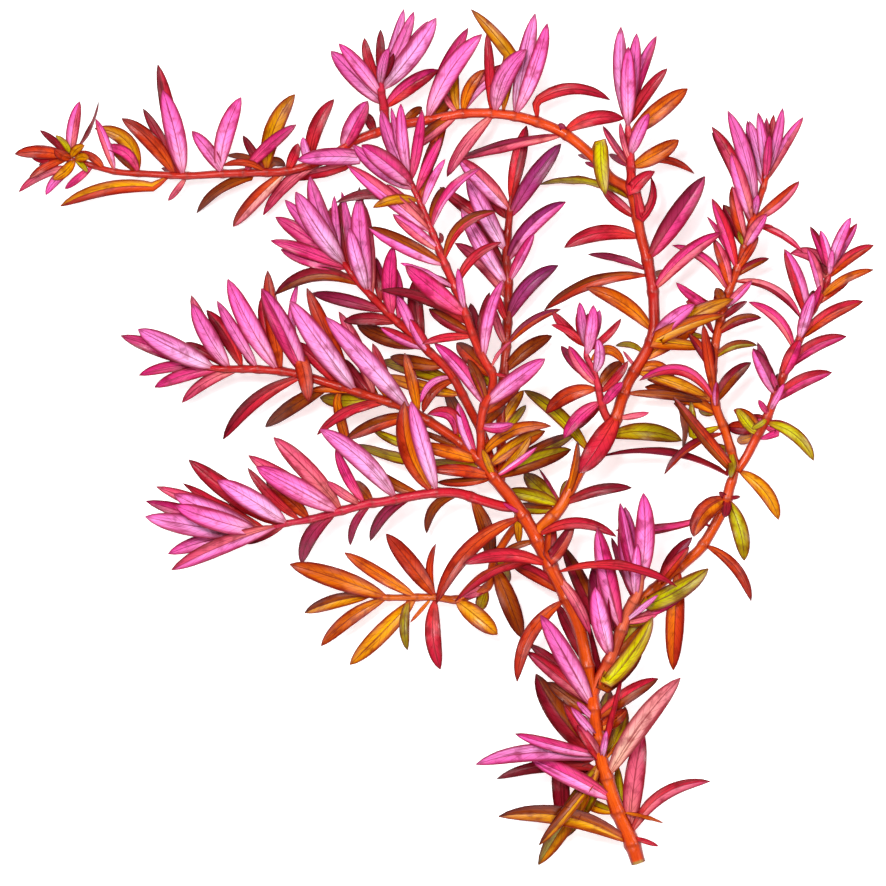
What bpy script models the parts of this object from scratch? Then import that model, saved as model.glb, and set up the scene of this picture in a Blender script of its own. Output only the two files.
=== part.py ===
"""A cut, branching stem of red rotala laid flat: one solid for each stretch of stem with the leaves fused to it.

All lengths in the tables are millimetres. x runs to the right and y up the sheet on which the plant lies, and
heights count from that sheet. The shift to the origin, the middle of the underside of the plant's box, comes last.
"""
import math

import bmesh
import bpy
import numpy as np
from mathutils import Vector
from mathutils.bvhtree import BVHTree

MM = 0.001
STEM_SIDES = 6
STEM_STATION = 7        # samples of the stem's line from one ring of the solid to the next
SMALLEST_LENGTH = 9.0   # a leaf shorter than this is left out of the solids
SMALLEST_WIDTH = 1.4   # a leaf narrower than this is left out of the solids
WELD = 0.004
TINY_FACE = 1e-7
MOST_CROSSINGS = 6
SLIVER = 0.05          # cubic millimetres; a separate skin around less than this is a sliver or a cavity
FLAT_ANGLE = 0.03      # faces that differ by less than this are joined before they are cut in triangles
NUDGES = (0.0, 0.25, -0.25, 0.5, -0.5, 0.8, -0.8)

# One row per leaf: tip x, tip y, base x, base y, width, bow, lift, tone
LEAVES = {
    "trunk": [
        (24.4, -43.0, 37.0, -66.5, 4.8, -0.3, 9, "pink"),
        (20.8, -52.0, 36.6, -66.0, 3.4, -0.3, 3, "rose|ruby"),
        (21.5, -50.2, 36.0, -64.5, 3.0, -0.5, -3, "wine"),
        (23.3, -57.8, 37.8, -79.3, 6.0, 1.6, -2, "wine|brown"),
        (26.2, -59.8, 36.5, -69.0, 3.4, 0.0, -4, "brown"),
        (30.2, -65.2, 38.2, -79.8, 3.6, -0.3, 1, "ruby|rust"),
        (32.0, -66.0, 38.3, -74.2, 2.1, 0.0, 6, "lilac|pink"),
        (33.4, -64.6, 37.0, -70.0, 1.6, 0.0, 4, "pink"),
        (8.2, -80.3, 37.9, -79.3, 4.2, -2.5, 9, "pink|rose"),
        (18.0, -72.6, 37.5, -79.0, 3.0, 0.4, 6, "pink|magenta"),
        (13.5, -84.0, 38.5, -83.0, 3.0, -2.2, 2, "wine"),
        (21.5, -78.6, 41.8, -90.3, 4.4, -0.5, 7, "pink|magenta"),
        (31.0, -98.6, 29.4, -80.8, 4.2, -0.5, -4, "wine"),
        (23.9, -105.6, 37.5, -80.0, 4.8, 0.2, -4, "amber|olive"),
        (24.0, -100.6, 38.0, -82.0, 2.8, 0.3, -6, "amber|brown"),
        (13.9, -93.4, 46.0, -100.8, 4.6, -3.5, 5, "amber|rust"),
        (33.5, -88.2, 43.3, -92.2, 3.0, 0.8, -5, "amber|olive"),
        (55.2, -95.1, 43.8, -91.8, 1.0, 0.3, 2, "orange"),
        (66.8, -84.6, 47.6, -98.2, 3.2, 4.0, 6, "ruby|rose"),
        (50.0, -72.0, 48.4, -98.3, 4.8, 0.6, 3, "ruby|rose"),
        (59.3, -58.7, 42.0, -84.0, 5.0, 1.2, 8, "rose|pink"),
        (43.6, -80.5, 45.8, -93.5, 2.2, 0.0, -3, "olive|yellow"),
        (40.9, -71.8, 41.2, -79.3, 1.7, 0.0, 7, "pink|lilac"),
        (40.4, -69.5, 40.8, -79.0, 1.3, 0.2, -2, "plum"),
        (31.5, -78.0, 40.2, -87.0, 3.4, 0.0, 1, "wine|ruby"),
        (33.5, -70.5, 38.9, -80.5, 3.0, -0.3, 3, "ruby|rose"),
        (34.5, -68.0, 38.3, -78.0, 2.6, -0.4, -3, "brown|amber"),
        (53.9, -100.9, 48.2, -98.0, 1.3, 0.2, 2, "ruby"),
        (45.2, -73.0, 41.2, -79.4, 0.8, 0.0, 3, "orange"),
        (45.8, -66.5, 39.0, -71.5, 3.6, -0.6, 3, "rust|orange"),
        (53.8, -58.9, 39.6, -69.5, 3.8, 0.9, 2, "ruby|brown"),
        (44.8, -58.0, 40.2, -79.0, 1.4, -0.4, 3, "ruby"),
        (45.6, -66.0, 40.6, -78.8, 3.4, -1.2, -4, "olive"),
        (41.8, -61.8, 38.9, -74.0, 3.4, 0.0, -6, "olive|brown"),
        (30.0, -99.0, 37.8, -84.0, 4.4, -0.5, -4, "olive|brown"),
    ],
    "main": [
        (3.8, 10.0, 8.7, -3.2, 2.9, 0.6, 6, "lilac|magenta"),
        (27.0, 4.2, 9.4, -4.0, 3.0, 3.0, 5, "orange"),
        (9.8, -1.5, 12.8, -8.2, 1.9, 0.0, 0, "amber"),
        (22.0, 1.8, 13.4, -8.0, 2.5, -0.8, 0, "amber"),
        (-6.5, -0.5, 9.8, -5.2, 3.3, -0.3, 2, "orange"),
        (-3.2, -6.8, 14.2, -10.6, 3.0, -0.8, 2, "rust"),
        (-4.0, -4.6, 10.4, -6.0, 2.4, 0.3, -5, "olive"),
        (-6.0, 3.4, 6.0, -1.5, 1.6, 0.4, -3, "brown"),
        (-3.9, 7.2, 3.2, 0.9, 3.2, -3.8, 4, "magenta|ruby"),
        (7.0, 3.4, 3.4, 1.0, 1.7, 0.4, -2, "yellow"),
        (3.6, 5.6, 5.0, -0.6, 2.2, 0.3, -5, "amber"),
        (0.4, 13.8, 7.5, -2.4, 3.3, -0.3, -6, "brown"),
        (-1.7, -40.2, 19.6, -18.5, 3.8, -3.8, 6, "rust"),
        (15.0, -14.9, 19.0, -17.5, 1.0, 0.2, 6, "magenta"),
        (14.5, -27.6, 23.5, -24.2, 1.7, -0.5, -1, "brown"),
        (19.0, -25.3, 19.0, -17.5, 2.1, 0.0, -4, "amber"),
        (3.0, -39.6, 26.0, -29.6, 2.4, -3.4, 1, "ruby|rust"),
        (5.0, -30.3, 26.8, -31.2, 3.4, -2.6, 6, "magenta"),
        (18.5, -59.6, 30.8, -38.8, 3.4, -3.3, 5, "rust"),
        (23.5, -1.0, 15.2, -9.8, 1.6, -0.3, 2, "lilac|magenta"),
        (32.0, -1.6, 15.6, -9.6, 4.2, 0.4, -2, "olive|brown"),
        (28.4, -40.2, 36.2, -59.0, 3.2, -0.3, -4, "wine"),
        (58.3, -35.8, 28.6, -31.8, 2.3, 3.4, 7, "ruby"),
        (43.3, -23.4, 23.4, -22.6, 2.8, 3.5, 6, "ruby"),
        (36.8, -47.8, 28.2, -32.6, 2.7, 1.0, 3, "rose"),
        (-55.0, 0.9, -36.5, 15.6, 3.4, -2.7, -4, "ruby|wine"),
        (-44.5, 4.0, -27.5, 14.4, 3.6, -0.8, -6, "brown"),
        (-30.8, 11.4, -17.5, 11.4, 3.9, 0.8, -4, "olive"),
        (-31.5, 2.0, -10.6, 8.8, 2.6, -2.5, -1, "ruby"),
        (-24.3, 0.8, -6.2, 6.8, 3.4, -1.2, 1, "rust"),
        (-23.2, -1.5, -26.5, 10.5, 2.6, -0.4, -3, "orange"),
        (-80.5, 26.8, -59.0, 19.0, 3.7, -0.2, 1, "magenta"),
        (-76.1, 28.4, -57.5, 18.9, 5.2, 0.3, 9, "lilac"),
        (-76.0, 16.9, -59.0, 19.0, 2.7, -1.2, -2, "magenta"),
        (-72.1, 13.9, -55.0, 18.4, 3.2, -1.0, -1, "magenta"),
        (-65.3, 10.1, -50.5, 18.0, 2.8, -1.6, -4, "rose"),
        (-62.6, 34.8, -53.0, 18.8, 4.3, 0.6, 7, "pink"),
        (-62.9, 36.9, -54.0, 19.0, 3.2, 0.6, 3, "rose"),
        (-59.1, 33.2, -50.5, 18.8, 3.5, -0.9, 0, "wine|ruby"),
        (-64.2, 25.2, -53.5, 18.8, 2.3, -0.4, -2, "wine"),
        (-56.4, 35.5, -45.7, 18.5, 3.0, 0.2, 4, "pink"),
        (-53.7, 40.9, -41.5, 18.3, 4.8, 0.7, 9, "pink"),
        (-50.0, 22.8, -46.0, 18.6, 1.8, 0.0, -2, "wine"),
        (-45.4, 36.5, -40.0, 18.3, 3.4, 0.8, 2, "ruby"),
        (-45.3, 38.6, -37.3, 17.6, 5.0, -0.3, 9, "pink"),
        (-43.8, 43.1, -38.0, 17.8, 3.7, 0.5, 4, "rust"),
        (-36.1, 40.2, -37.0, 17.5, 2.1, 2.2, 3, "magenta"),
        (-38.2, 35.5, -21.8, 13.0, 5.3, 0.3, 10, "lilac"),
        (-34.0, 38.7, -22.5, 13.5, 3.8, 0.2, 4, "rust"),
        (-29.2, 31.4, -10.4, 8.8, 4.9, 0.0, 10, "lilac"),
        (-26.0, 32.8, -16.5, 11.3, 3.3, -0.8, 3, "rose"),
        (-17.6, 24.9, -11.0, 9.5, 2.7, -0.3, 3, "ruby"),
        (-22.4, 27.0, -13.0, 10.3, 2.7, 0.2, -2, "orange"),
        (-24.5, 21.0, -16.8, 11.5, 2.7, 0.6, -3, "wine"),
        (-23.0, 18.0, -15.5, 11.0, 2.5, -0.4, -4, "brown"),
        (-36.8, 25.3, -26.0, 14.2, 3.3, -0.5, -1, "ruby"),
        (-33.6, 10.3, -35.6, 21.2, 3.8, 0.3, 5, "rust"),
        (-33.5, 13.0, -20.5, 12.3, 1.5, -0.4, -2, "orange"),
        (-21.2, -0.3, -9.5, -3.8, 2.8, 0.4, -6, "olive"),
        (-17.6, 3.4, -10.5, 0.0, 2.4, 0.2, -6, "olive|yellow"),
        (-1.5, -9.8, 14.0, -11.2, 2.2, 0.5, -3, "rust|brown"),
        (-9.6, 22.5, -4.8, 8.6, 2.8, -0.3, 1, "orange"),
        (33.0, 2.2, 15.5, -9.5, 3.6, 0.6, -3, "brown|olive"),
        (25.5, 3.0, 12.5, -4.5, 3.6, 0.8, -1, "amber|orange"),
        (17.0, -30.2, 29.8, -38.6, 3.4, -0.8, -4, "wine|brown"),
    ],
    "arch": [
        (32.8, -19.5, 26.8, -29.2, 3.6, -0.4, 1, "wine|rust"),
        (25.2, -25.4, 28.3, -18.3, 1.9, 0.3, 2, "yellow"),
        (47.2, -11.2, 29.5, -15.5, 2.8, 1.5, 2, "wine"),
        (15.5, -12.2, 28.2, -15.0, 3.4, -0.7, -2, "yellow|olive"),
        (17.5, -16.0, 28.0, -15.4, 2.8, 0.0, -5, "olive|brown"),
        (20.3, -7.6, 28.0, -14.4, 4.2, 0.2, -6, "olive"),
        (24.0, -6.4, 27.6, -14.0, 0.9, 0.0, -2, "plum"),
        (31.0, -9.3, 28.2, -14.6, 2.2, 0.0, -5, "olive"),
        (33.6, 0.5, 29.8, -15.2, 2.0, -0.8, 2, "pink|wine"),
        (72.5, 36.0, 52.6, 25.4, 4.0, 0.8, 3, "amber"),
        (64.0, 29.5, 51.0, 19.5, 3.4, 0.2, -2, "orange"),
        (66.0, 11.5, 50.0, 15.9, 2.9, 0.8, 0, "amber"),
        (65.5, 10.3, 48.0, 13.8, 2.3, 0.8, -4, "brown"),
        (59.8, 0.6, 42.8, 2.8, 4.2, 1.9, -4, "olive"),
        (20.3, 13.2, 36.5, -2.5, 3.4, -1.6, -6, "yellow|olive"),
        (30.3, 48.8, 49.5, 51.0, 3.8, -2.6, 2, "ruby"),
        (36.3, 47.2, 51.4, 42.8, 1.9, -0.9, -4, "plum"),
        (25.3, 33.2, 51.9, 41.6, 3.0, -3.2, -3, "rust|brown"),
        (35.8, 38.8, 51.6, 28.2, 3.8, -1.9, 1, "orange"),
        (65.4, 66.6, 52.6, 46.0, 5.0, 0.0, 5, "magenta|rose"),
        (69.7, 52.6, 53.2, 36.0, 3.6, 1.6, 4, "magenta|rose"),
        (56.2, 42.9, 52.4, 41.6, 1.7, 0.0, -4, "brown"),
        (62.8, 34.6, 52.0, 25.8, 3.7, 0.6, 6, "pink"),
        (43.2, 24.3, 50.5, 22.3, 1.6, -1.3, -4, "olive"),
        (45.0, 23.0, 48.0, 18.5, 0.9, 0.0, 0, "rose"),
        (58.3, 14.9, 47.6, 15.6, 2.5, 3.9, 0, "pink"),
        (51.5, 7.6, 43.4, 3.4, 1.6, -0.2, 2, "rose"),
        (3.4, 94.5, 4.2, 83.5, 2.4, 0.9, -3, "amber"),
        (0.0, 89.0, 4.4, 82.8, 1.4, 0.8, 2, "rose"),
        (10.4, 93.3, 4.6, 83.2, 2.8, 1.3, 2, "orange"),
        (22.0, 93.8, 4.9, 83.2, 3.5, 3.8, 5, "rose|pink"),
        (11.0, 102.6, 12.4, 83.3, 2.5, -0.2, 3, "ruby"),
        (7.0, 108.3, 16.8, 97.0, 3.4, -0.3, 3, "amber"),
        (20.8, 98.2, 12.9, 83.0, 4.7, 1.9, 9, "pink"),
        (23.0, 107.2, 20.4, 82.0, 4.0, 0.2, 6, "lilac"),
        (26.0, 104.7, 20.8, 82.0, 3.8, -0.9, 10, "pink"),
        (23.4, 100.3, 21.0, 82.5, 2.2, -0.2, 2, "wine"),
        (41.7, 85.7, 23.3, 85.2, 2.9, 2.9, 2, "ruby"),
        (1.0, 66.5, 12.8, 81.5, 3.2, -1.1, 3, "rose"),
        (45.2, 81.0, 30.6, 78.0, 3.6, 1.8, 3, "ruby"),
        (28.8, 79.7, 30.8, 78.0, 1.6, -0.5, 2, "plum"),
        (3.8, 71.0, 30.0, 76.2, 2.8, -1.0, -5, "rose|plum"),
        (24.0, 64.7, 46.2, 61.8, 2.0, -2.6, -6, "olive"),
        (40.6, 62.0, 39.5, 75.2, 3.8, -0.5, 6, "yellow"),
        (33.7, 72.1, 38.5, 70.5, 1.2, 0.0, -4, "plum"),
        (35.4, 70.2, 40.0, 68.2, 1.2, 0.0, -5, "plum"),
        (-61.7, 57.6, -47.0, 66.5, 2.5, -1.9, -6, "brown"),
        (-52.6, 54.2, -39.3, 67.0, 3.5, -0.6, -7, "rust"),
        (-45.0, 57.0, -26.0, 69.8, 2.9, -2.0, -4, "rose"),
        (-36.2, 74.9, -39.0, 68.5, 2.6, -0.2, 2, "ruby"),
        (-35.0, 76.4, -33.6, 70.0, 2.2, 0.2, 5, "lilac"),
        (-27.2, 85.9, -33.2, 69.5, 3.5, 1.8, 2, "ruby"),
        (-36.4, 70.6, -21.0, 71.2, 4.2, -0.6, 8, "pink"),
        (-18.8, 85.4, -25.5, 74.3, 4.4, 0.2, 4, "pink|ruby"),
        (-19.2, 82.5, -17.0, 77.5, 2.4, 0.0, -2, "wine"),
        (-5.2, 84.0, -10.0, 80.0, 2.2, 0.3, -3, "brown"),
        (6.3, 103.7, -4.2, 82.5, 3.6, 0.8, 2, "magenta"),
        (9.7, 102.0, -4.0, 82.3, 4.6, 1.7, 8, "pink"),
        (2.6, 89.0, -2.8, 81.8, 4.4, 0.0, -5, "brown"),
        (-7.5, 73.5, 4.5, 81.8, 3.4, -0.6, -5, "rose|brown"),
        (-107.0, 72.2, -93.0, 71.2, 3.2, -1.0, 1, "rust"),
        (-102.8, 71.3, -94.0, 70.8, 2.2, 0.5, -2, "ruby"),
        (-100.7, 78.1, -94.3, 73.0, 1.8, -0.4, 3, "wine"),
        (-101.2, 69.6, -94.0, 69.8, 1.5, 0.0, -3, "plum"),
        (-106.0, 62.7, -94.5, 68.6, 2.2, -1.2, 0, "rose"),
        (-103.5, 66.0, -94.5, 69.2, 2.0, -0.8, 2, "rust"),
        (-99.3, 62.0, -94.0, 68.0, 2.4, -0.6, -2, "pink"),
        (-94.5, 63.5, -88.0, 67.6, 1.9, 0.0, -1, "magenta"),
        (-90.7, 85.3, -92.3, 72.5, 3.0, 0.6, 6, "pink|ruby"),
        (-86.0, 85.4, -91.3, 73.5, 1.0, -1.0, 1, "wine"),
        (-96.8, 76.8, -92.8, 73.0, 1.6, -0.8, 6, "yellow"),
        (-89.5, 74.3, -92.5, 72.0, 2.2, 0.6, 6, "amber"),
        (-88.4, 70.9, -92.3, 70.7, 2.4, 0.5, 5, "amber"),
        (-97.5, 65.8, -92.5, 69.6, 2.6, 0.6, 5, "amber"),
        (-88.8, 67.6, -92.5, 69.2, 1.5, 0.3, 4, "yellow"),
        (-97.0, 73.4, -92.8, 71.6, 2.6, 0.4, 7, "rust"),
        (-91.0, 72.7, -84.5, 69.3, 2.0, -0.8, 3, "rust"),
        (-86.7, 80.9, -82.0, 68.5, 2.3, -0.3, 8, "lilac"),
        (-87.0, 78.6, -74.0, 68.5, 3.6, -3.5, 2, "amber"),
        (-84.8, 73.9, -74.0, 68.5, 2.7, -2.2, 5, "magenta"),
        (-84.0, 75.5, -75.5, 68.8, 1.8, 0.3, -1, "brown"),
        (-95.7, 59.2, -72.5, 64.0, 3.4, -1.9, -6, "rust|amber"),
        (-80.3, 81.1, -67.0, 68.3, 3.8, -1.4, 3, "rust"),
        (-75.0, 83.6, -66.0, 68.5, 2.6, -0.3, -2, "wine"),
        (-69.9, 88.0, -64.8, 67.2, 4.8, -0.5, 10, "pink"),
        (-68.8, 60.6, -63.5, 65.8, 1.6, 0.2, -5, "rose"),
        (-70.5, 68.8, -64.0, 67.5, 1.4, 0.0, -4, "wine"),
        (-62.7, 77.9, -55.3, 67.0, 3.4, -0.4, 6, "pink"),
        (-50.4, 86.3, -55.6, 67.5, 4.3, 1.2, 9, "pink"),
        (-54.2, 71.9, -46.5, 68.5, 1.8, -1.4, -3, "brown"),
        (-55.0, 69.2, -47.0, 68.0, 1.8, -1.6, 0, "rust"),
        (-50.0, 76.9, -46.0, 68.5, 2.2, 0.2, -2, "wine"),
        (-37.0, 87.1, -46.0, 68.5, 4.3, 2.0, 3, "amber"),
        (-36.6, 79.5, -47.3, 68.0, 3.1, 0.7, 6, "magenta"),
        (-39.4, 69.3, -46.5, 68.5, 2.4, 1.9, -5, "brown"),
        (34.0, -7.5, 41.8, 7.5, 5.4, 0.4, 7, "ruby"),
        (-71.2, 94.5, -66.0, 68.0, 3.6, -0.4, 7, "wine|ruby"),
        (-40.0, 66.2, -23.5, 69.6, 2.6, 0.3, -3, "ruby|rose"),
        (-5.8, 64.5, 1.5, 81.5, 3.2, 0.0, -6, "brown|rust"),
        (39.8, 63.8, 48.2, 56.0, 2.6, 0.3, -2, "ruby|rose"),
    ],
    "right_tuft": [
        (44.4, 103.9, 46.3, 80.5, 3.6, 0.9, 6, "lilac"),
        (45.0, 98.0, 46.4, 79.5, 2.8, 0.9, 2, "magenta"),
        (48.3, 102.2, 46.6, 81.0, 3.4, -0.2, 6, "pink"),
        (46.2, 98.8, 46.5, 78.5, 3.7, 0.1, 11, "pink"),
        (53.3, 101.6, 46.8, 81.0, 3.1, 0.8, 4, "magenta"),
        (56.0, 93.5, 46.8, 79.5, 3.0, 0.8, 3, "ruby"),
        (61.1, 88.5, 46.7, 76.5, 4.3, 0.3, 2, "orange"),
        (51.4, 82.2, 47.0, 71.5, 3.1, 0.4, 9, "pink"),
        (58.9, 75.7, 47.2, 67.0, 4.0, -0.4, 2, "orange"),
        (62.8, 67.3, 47.3, 66.5, 1.9, 2.6, -2, "rust"),
        (52.9, 67.8, 47.2, 63.0, 3.3, 0.6, 0, "ruby"),
        (52.0, 66.5, 49.3, 55.5, 2.5, -1.9, 0, "ruby"),
        (49.6, 62.0, 49.0, 57.0, 1.6, 0.6, -4, "brown"),
        (44.2, 80.0, 46.6, 70.0, 1.5, 0.4, 4, "rose"),
        (40.0, 79.2, 47.0, 67.0, 1.8, 0.4, -3, "plum"),
        (41.5, 72.3, 47.0, 65.8, 1.6, 0.0, -5, "plum"),
    ],
    "top_tuft": [
        (-28.0, 97.8, -15.0, 84.0, 4.5, 0.0, 6, "pink"),
        (-26.0, 99.6, -15.3, 86.0, 3.3, -0.4, 9, "pink"),
        (-19.6, 101.1, -15.8, 89.0, 2.5, 0.8, 2, "ruby"),
        (-15.6, 103.2, -15.6, 90.0, 2.3, 0.0, 0, "wine"),
        (-13.5, 98.5, -15.2, 89.5, 2.5, 0.6, 9, "pink"),
        (-12.3, 97.2, -14.8, 90.0, 1.7, -0.4, 4, "wine"),
        (-9.8, 108.3, -14.0, 90.5, 2.6, -0.5, 1, "rose"),
        (-7.3, 107.6, -13.5, 90.5, 3.1, -0.6, 4, "pink"),
        (-3.8, 105.3, -14.0, 89.0, 2.8, -0.2, 3, "pink"),
        (-1.7, 106.0, -14.2, 88.0, 4.8, -0.7, 9, "pink"),
        (-1.2, 93.2, -14.5, 84.0, 3.9, 0.9, 2, "magenta|ruby"),
    ],
    "inner_tuft": [
        (27.2, 32.8, 35.8, 23.5, 2.5, 0.2, 2, "ruby"),
        (27.0, 29.5, 35.6, 25.5, 1.8, -1.0, 2, "ruby"),
        (34.1, 35.1, 35.8, 24.0, 2.5, 0.0, 5, "pink"),
        (33.6, 32.8, 35.6, 24.0, 1.7, 0.4, 2, "ruby"),
        (36.1, 32.4, 35.8, 24.0, 1.5, 0.0, 1, "wine"),
        (37.5, 34.4, 36.3, 21.5, 3.1, -0.4, 7, "pink"),
        (39.1, 33.2, 36.2, 22.5, 2.7, -0.3, 4, "pink"),
        (38.5, 26.0, 38.0, 17.5, 2.7, -0.9, 8, "lilac"),
        (44.5, 31.1, 36.8, 22.5, 1.9, -0.8, 1, "ruby"),
        (45.4, 19.5, 37.3, 20.0, 2.4, 3.5, 0, "orange"),
        (29.5, 24.3, 37.9, 14.8, 2.7, 0.6, -3, "plum"),
        (31.4, 24.3, 38.3, 14.8, 2.9, 0.6, 3, "lilac"),
        (25.8, 7.4, 38.8, 13.0, 3.7, -1.9, -3, "rust"),
        (44.8, 20.3, 39.0, 13.2, 3.3, 0.5, -3, "brown"),
        (46.2, 20.5, 39.4, 12.6, 2.1, -0.6, 2, "ruby"),
        (30.2, 1.2, 39.8, 10.6, 3.3, -1.1, 3, "magenta"),
        (33.2, 3.2, 40.2, 9.4, 2.1, -0.4, -4, "wine"),
        (45.0, 15.2, 41.2, 7.5, 2.5, 0.2, 5, "magenta"),
    ],
    "front": [
        (17.6, 4.8, 9.8, 4.6, 2.6, -0.8, 5, "pink|magenta"),
        (15.5, 9.8, 9.8, 3.8, 3.0, 0.5, -6, "brown"),
        (19.5, 14.5, 11.0, 7.0, 2.7, 0.0, -4, "rust"),
        (-9.4, 44.2, 5.0, 31.0, 4.6, 0.2, 6, "magenta|pink"),
        (-15.6, 38.1, 6.2, 28.5, 2.7, -2.6, 3, "wine"),
        (-5.2, 24.7, 7.6, 26.0, 2.1, -0.8, 3, "ruby"),
        (-2.2, 24.9, 10.3, 9.6, 3.5, -1.2, 7, "pink|magenta"),
        (6.2, 20.9, 10.6, 10.5, 2.7, -0.5, 4, "lilac"),
        (3.4, 25.0, 11.6, 16.5, 3.9, 0.0, -6, "amber"),
        (6.8, 21.5, 12.0, 13.8, 2.9, 0.0, -8, "olive"),
        (15.0, 40.7, 10.6, 20.5, 2.9, 1.4, 6, "pink"),
        (6.9, 34.9, 9.0, 23.0, 2.8, 0.0, -4, "wine"),
        (11.6, 37.6, 10.2, 21.5, 2.7, 0.8, -2, "wine"),
        (25.5, 21.0, 11.2, 8.6, 4.3, 0.3, 8, "pink"),
        (17.3, 25.5, 12.3, 18.0, 1.0, 0.8, 4, "rose"),
        (17.2, 16.4, 12.3, 17.3, 1.0, 0.0, 2, "ruby"),
        (-15.4, 82.9, -8.8, 66.0, 3.4, 0.8, 6, "pink"),
        (-12.9, 83.5, -8.9, 66.5, 1.8, 0.5, 9, "pink"),
        (-10.5, 84.5, -8.7, 66.0, 2.9, 0.6, 12, "pink"),
        (-5.2, 83.0, -8.2, 65.5, 2.7, -0.3, 7, "magenta"),
        (-22.4, 74.3, -7.6, 63.0, 3.7, 0.9, 6, "pink"),
        (-20.3, 74.2, -7.8, 63.8, 4.8, -0.4, 10, "lilac"),
        (-0.3, 76.2, -6.8, 62.5, 2.5, 0.3, 4, "magenta"),
        (-23.8, 69.2, -4.0, 52.0, 3.8, -0.3, 5, "pink"),
        (-14.0, 64.5, -4.6, 55.0, 2.8, 0.4, 3, "rose"),
        (-17.4, 58.6, -6.0, 59.8, 2.5, -1.2, 6, "amber"),
        (-5.0, 63.9, -5.8, 59.0, 1.7, 0.0, -2, "orange"),
        (0.6, 70.8, -5.4, 58.0, 2.0, 0.7, 3, "pink"),
        (9.4, 68.5, -3.0, 52.5, 2.3, 2.2, 5, "pink"),
        (0.3, 64.0, -4.0, 53.5, 2.7, 0.3, -4, "brown"),
        (-26.7, 59.9, -5.6, 57.5, 2.7, -3.4, 1, "wine"),
        (-18.6, 53.8, -1.0, 43.5, 4.0, 0.0, 3, "pink|brown"),
        (13.4, 57.7, 0.2, 45.0, 2.7, 3.6, 4, "brown|ruby"),
        (-0.9, 52.5, -1.6, 49.5, 1.2, -0.8, 0, "wine"),
        (14.6, 50.0, 4.2, 36.3, 2.3, 2.3, 5, "ruby"),
        (3.7, 43.6, 4.5, 35.5, 1.9, 0.2, 6, "pink"),
        (-10.7, 44.9, 2.6, 38.3, 1.7, -0.6, 4, "pink"),
        (-4.5, 41.5, 3.0, 37.5, 2.1, -0.5, -3, "brown"),
        (-2.0, 75.5, -5.5, 60.0, 2.6, 0.0, -4, "rust|brown"),
        (-3.5, 33.5, 7.5, 27.0, 3.0, 0.4, -3, "wine|brown"),
        (-12.5, 57.0, -2.0, 47.0, 3.0, 0.0, 1, "rose|pink"),
    ],
    "back": [
        (20.2, 13.2, 14.6, 4.0, 2.6, 0.4, -3, "amber"),
        (20.8, 9.5, 14.5, 2.0, 2.1, 0.0, -5, "olive"),
        (13.2, 38.2, 16.1, 30.0, 1.9, 0.3, 3, "ruby"),
        (12.6, 34.3, 16.0, 25.5, 2.1, 0.4, 4, "rose"),
        (29.4, 33.4, 16.0, 24.0, 2.2, 1.6, 3, "plum|rust"),
        (27.3, 26.8, 15.6, 17.8, 3.5, 1.2, -1, "brown"),
        (20.9, 79.4, 16.9, 60.5, 3.6, 0.3, 2, "rose|wine"),
        (29.5, 74.8, 16.7, 55.5, 4.2, 0.7, 3, "purple"),
        (30.7, 60.3, 16.4, 44.8, 3.9, 2.1, 3, "purple|pink"),
        (28.8, 44.4, 16.2, 28.0, 3.8, 2.2, 2, "purple"),
        (3.8, 71.2, 16.5, 57.5, 4.3, -0.3, 6, "lilac|ruby"),
        (6.0, 66.6, 15.9, 48.0, 4.3, 0.3, 6, "lilac"),
        (11.0, 61.5, 16.3, 55.5, 2.3, 0.0, -3, "wine"),
        (-0.8, 64.0, 16.0, 51.5, 3.3, 0.3, 0, "ruby"),
        (4.6, 58.5, 16.2, 39.0, 3.9, 0.5, 5, "lilac"),
        (7.5, 57.3, 15.9, 43.0, 2.9, 0.3, -4, "wine"),
        (3.0, 50.0, 16.2, 35.5, 3.5, -1.8, -2, "ruby"),
        (22.8, 52.5, 16.3, 40.0, 2.6, 0.2, 5, "magenta|pink"),
    ],
    "cross": [
        (-8.2, 30.9, -3.2, 22.6, 2.9, 0.2, 5, "pink|ruby"),
        (-5.6, 10.0, 2.6, 16.2, 1.7, -2.2, 3, "pink"),
        (-5.0, 7.5, 3.4, 15.8, 2.5, -2.0, 1, "rust"),
        (-15.5, 20.5, 3.6, 15.3, 3.7, -0.5, -7, "olive"),
        (-13.2, 21.6, 0.6, 18.6, 3.4, 0.4, -4, "brown"),
        (-14.6, 17.0, 4.6, 14.0, 3.3, 0.6, -9, "amber"),
        (-41.8, 56.4, -24.5, 44.0, 4.2, -0.3, 2, "magenta"),
        (-39.4, 60.6, -24.8, 45.0, 3.4, 0.2, 6, "pink"),
        (-36.7, 62.6, -24.5, 44.5, 5.0, 0.6, 10, "lilac"),
        (-33.2, 66.5, -24.5, 46.0, 4.2, 1.1, 5, "pink"),
        (-43.0, 50.5, -24.3, 43.7, 3.2, -0.6, 1, "magenta"),
        (-40.5, 48.3, -24.0, 43.3, 3.4, 0.5, -1, "magenta"),
        (-28.1, 58.7, -25.2, 46.5, 2.7, 0.5, 2, "ruby"),
        (-27.1, 61.7, -24.9, 46.0, 2.0, 0.3, 5, "pink"),
        (-25.3, 62.7, -22.3, 42.0, 2.1, -0.3, 6, "pink"),
        (-25.5, 60.3, -23.0, 43.0, 3.6, 0.5, 0, "wine"),
        (-20.9, 63.9, -19.5, 39.5, 2.8, 0.2, -2, "wine"),
        (-20.9, 61.6, -18.2, 37.5, 4.5, 0.9, 7, "pink"),
        (-23.3, 53.6, -18.8, 38.0, 3.4, 0.4, 10, "lilac"),
        (-19.7, 59.8, -17.2, 36.5, 3.2, 0.0, 2, "rose"),
        (-16.7, 46.4, -13.5, 33.0, 1.9, -0.3, -3, "plum"),
        (-17.8, 46.2, -15.3, 34.5, 1.9, -0.2, -2, "wine"),
        (-12.4, 49.1, -12.8, 31.8, 3.7, 0.9, 8, "pink"),
        (-11.9, 44.0, -11.0, 30.5, 2.3, -0.5, 3, "magenta"),
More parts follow.
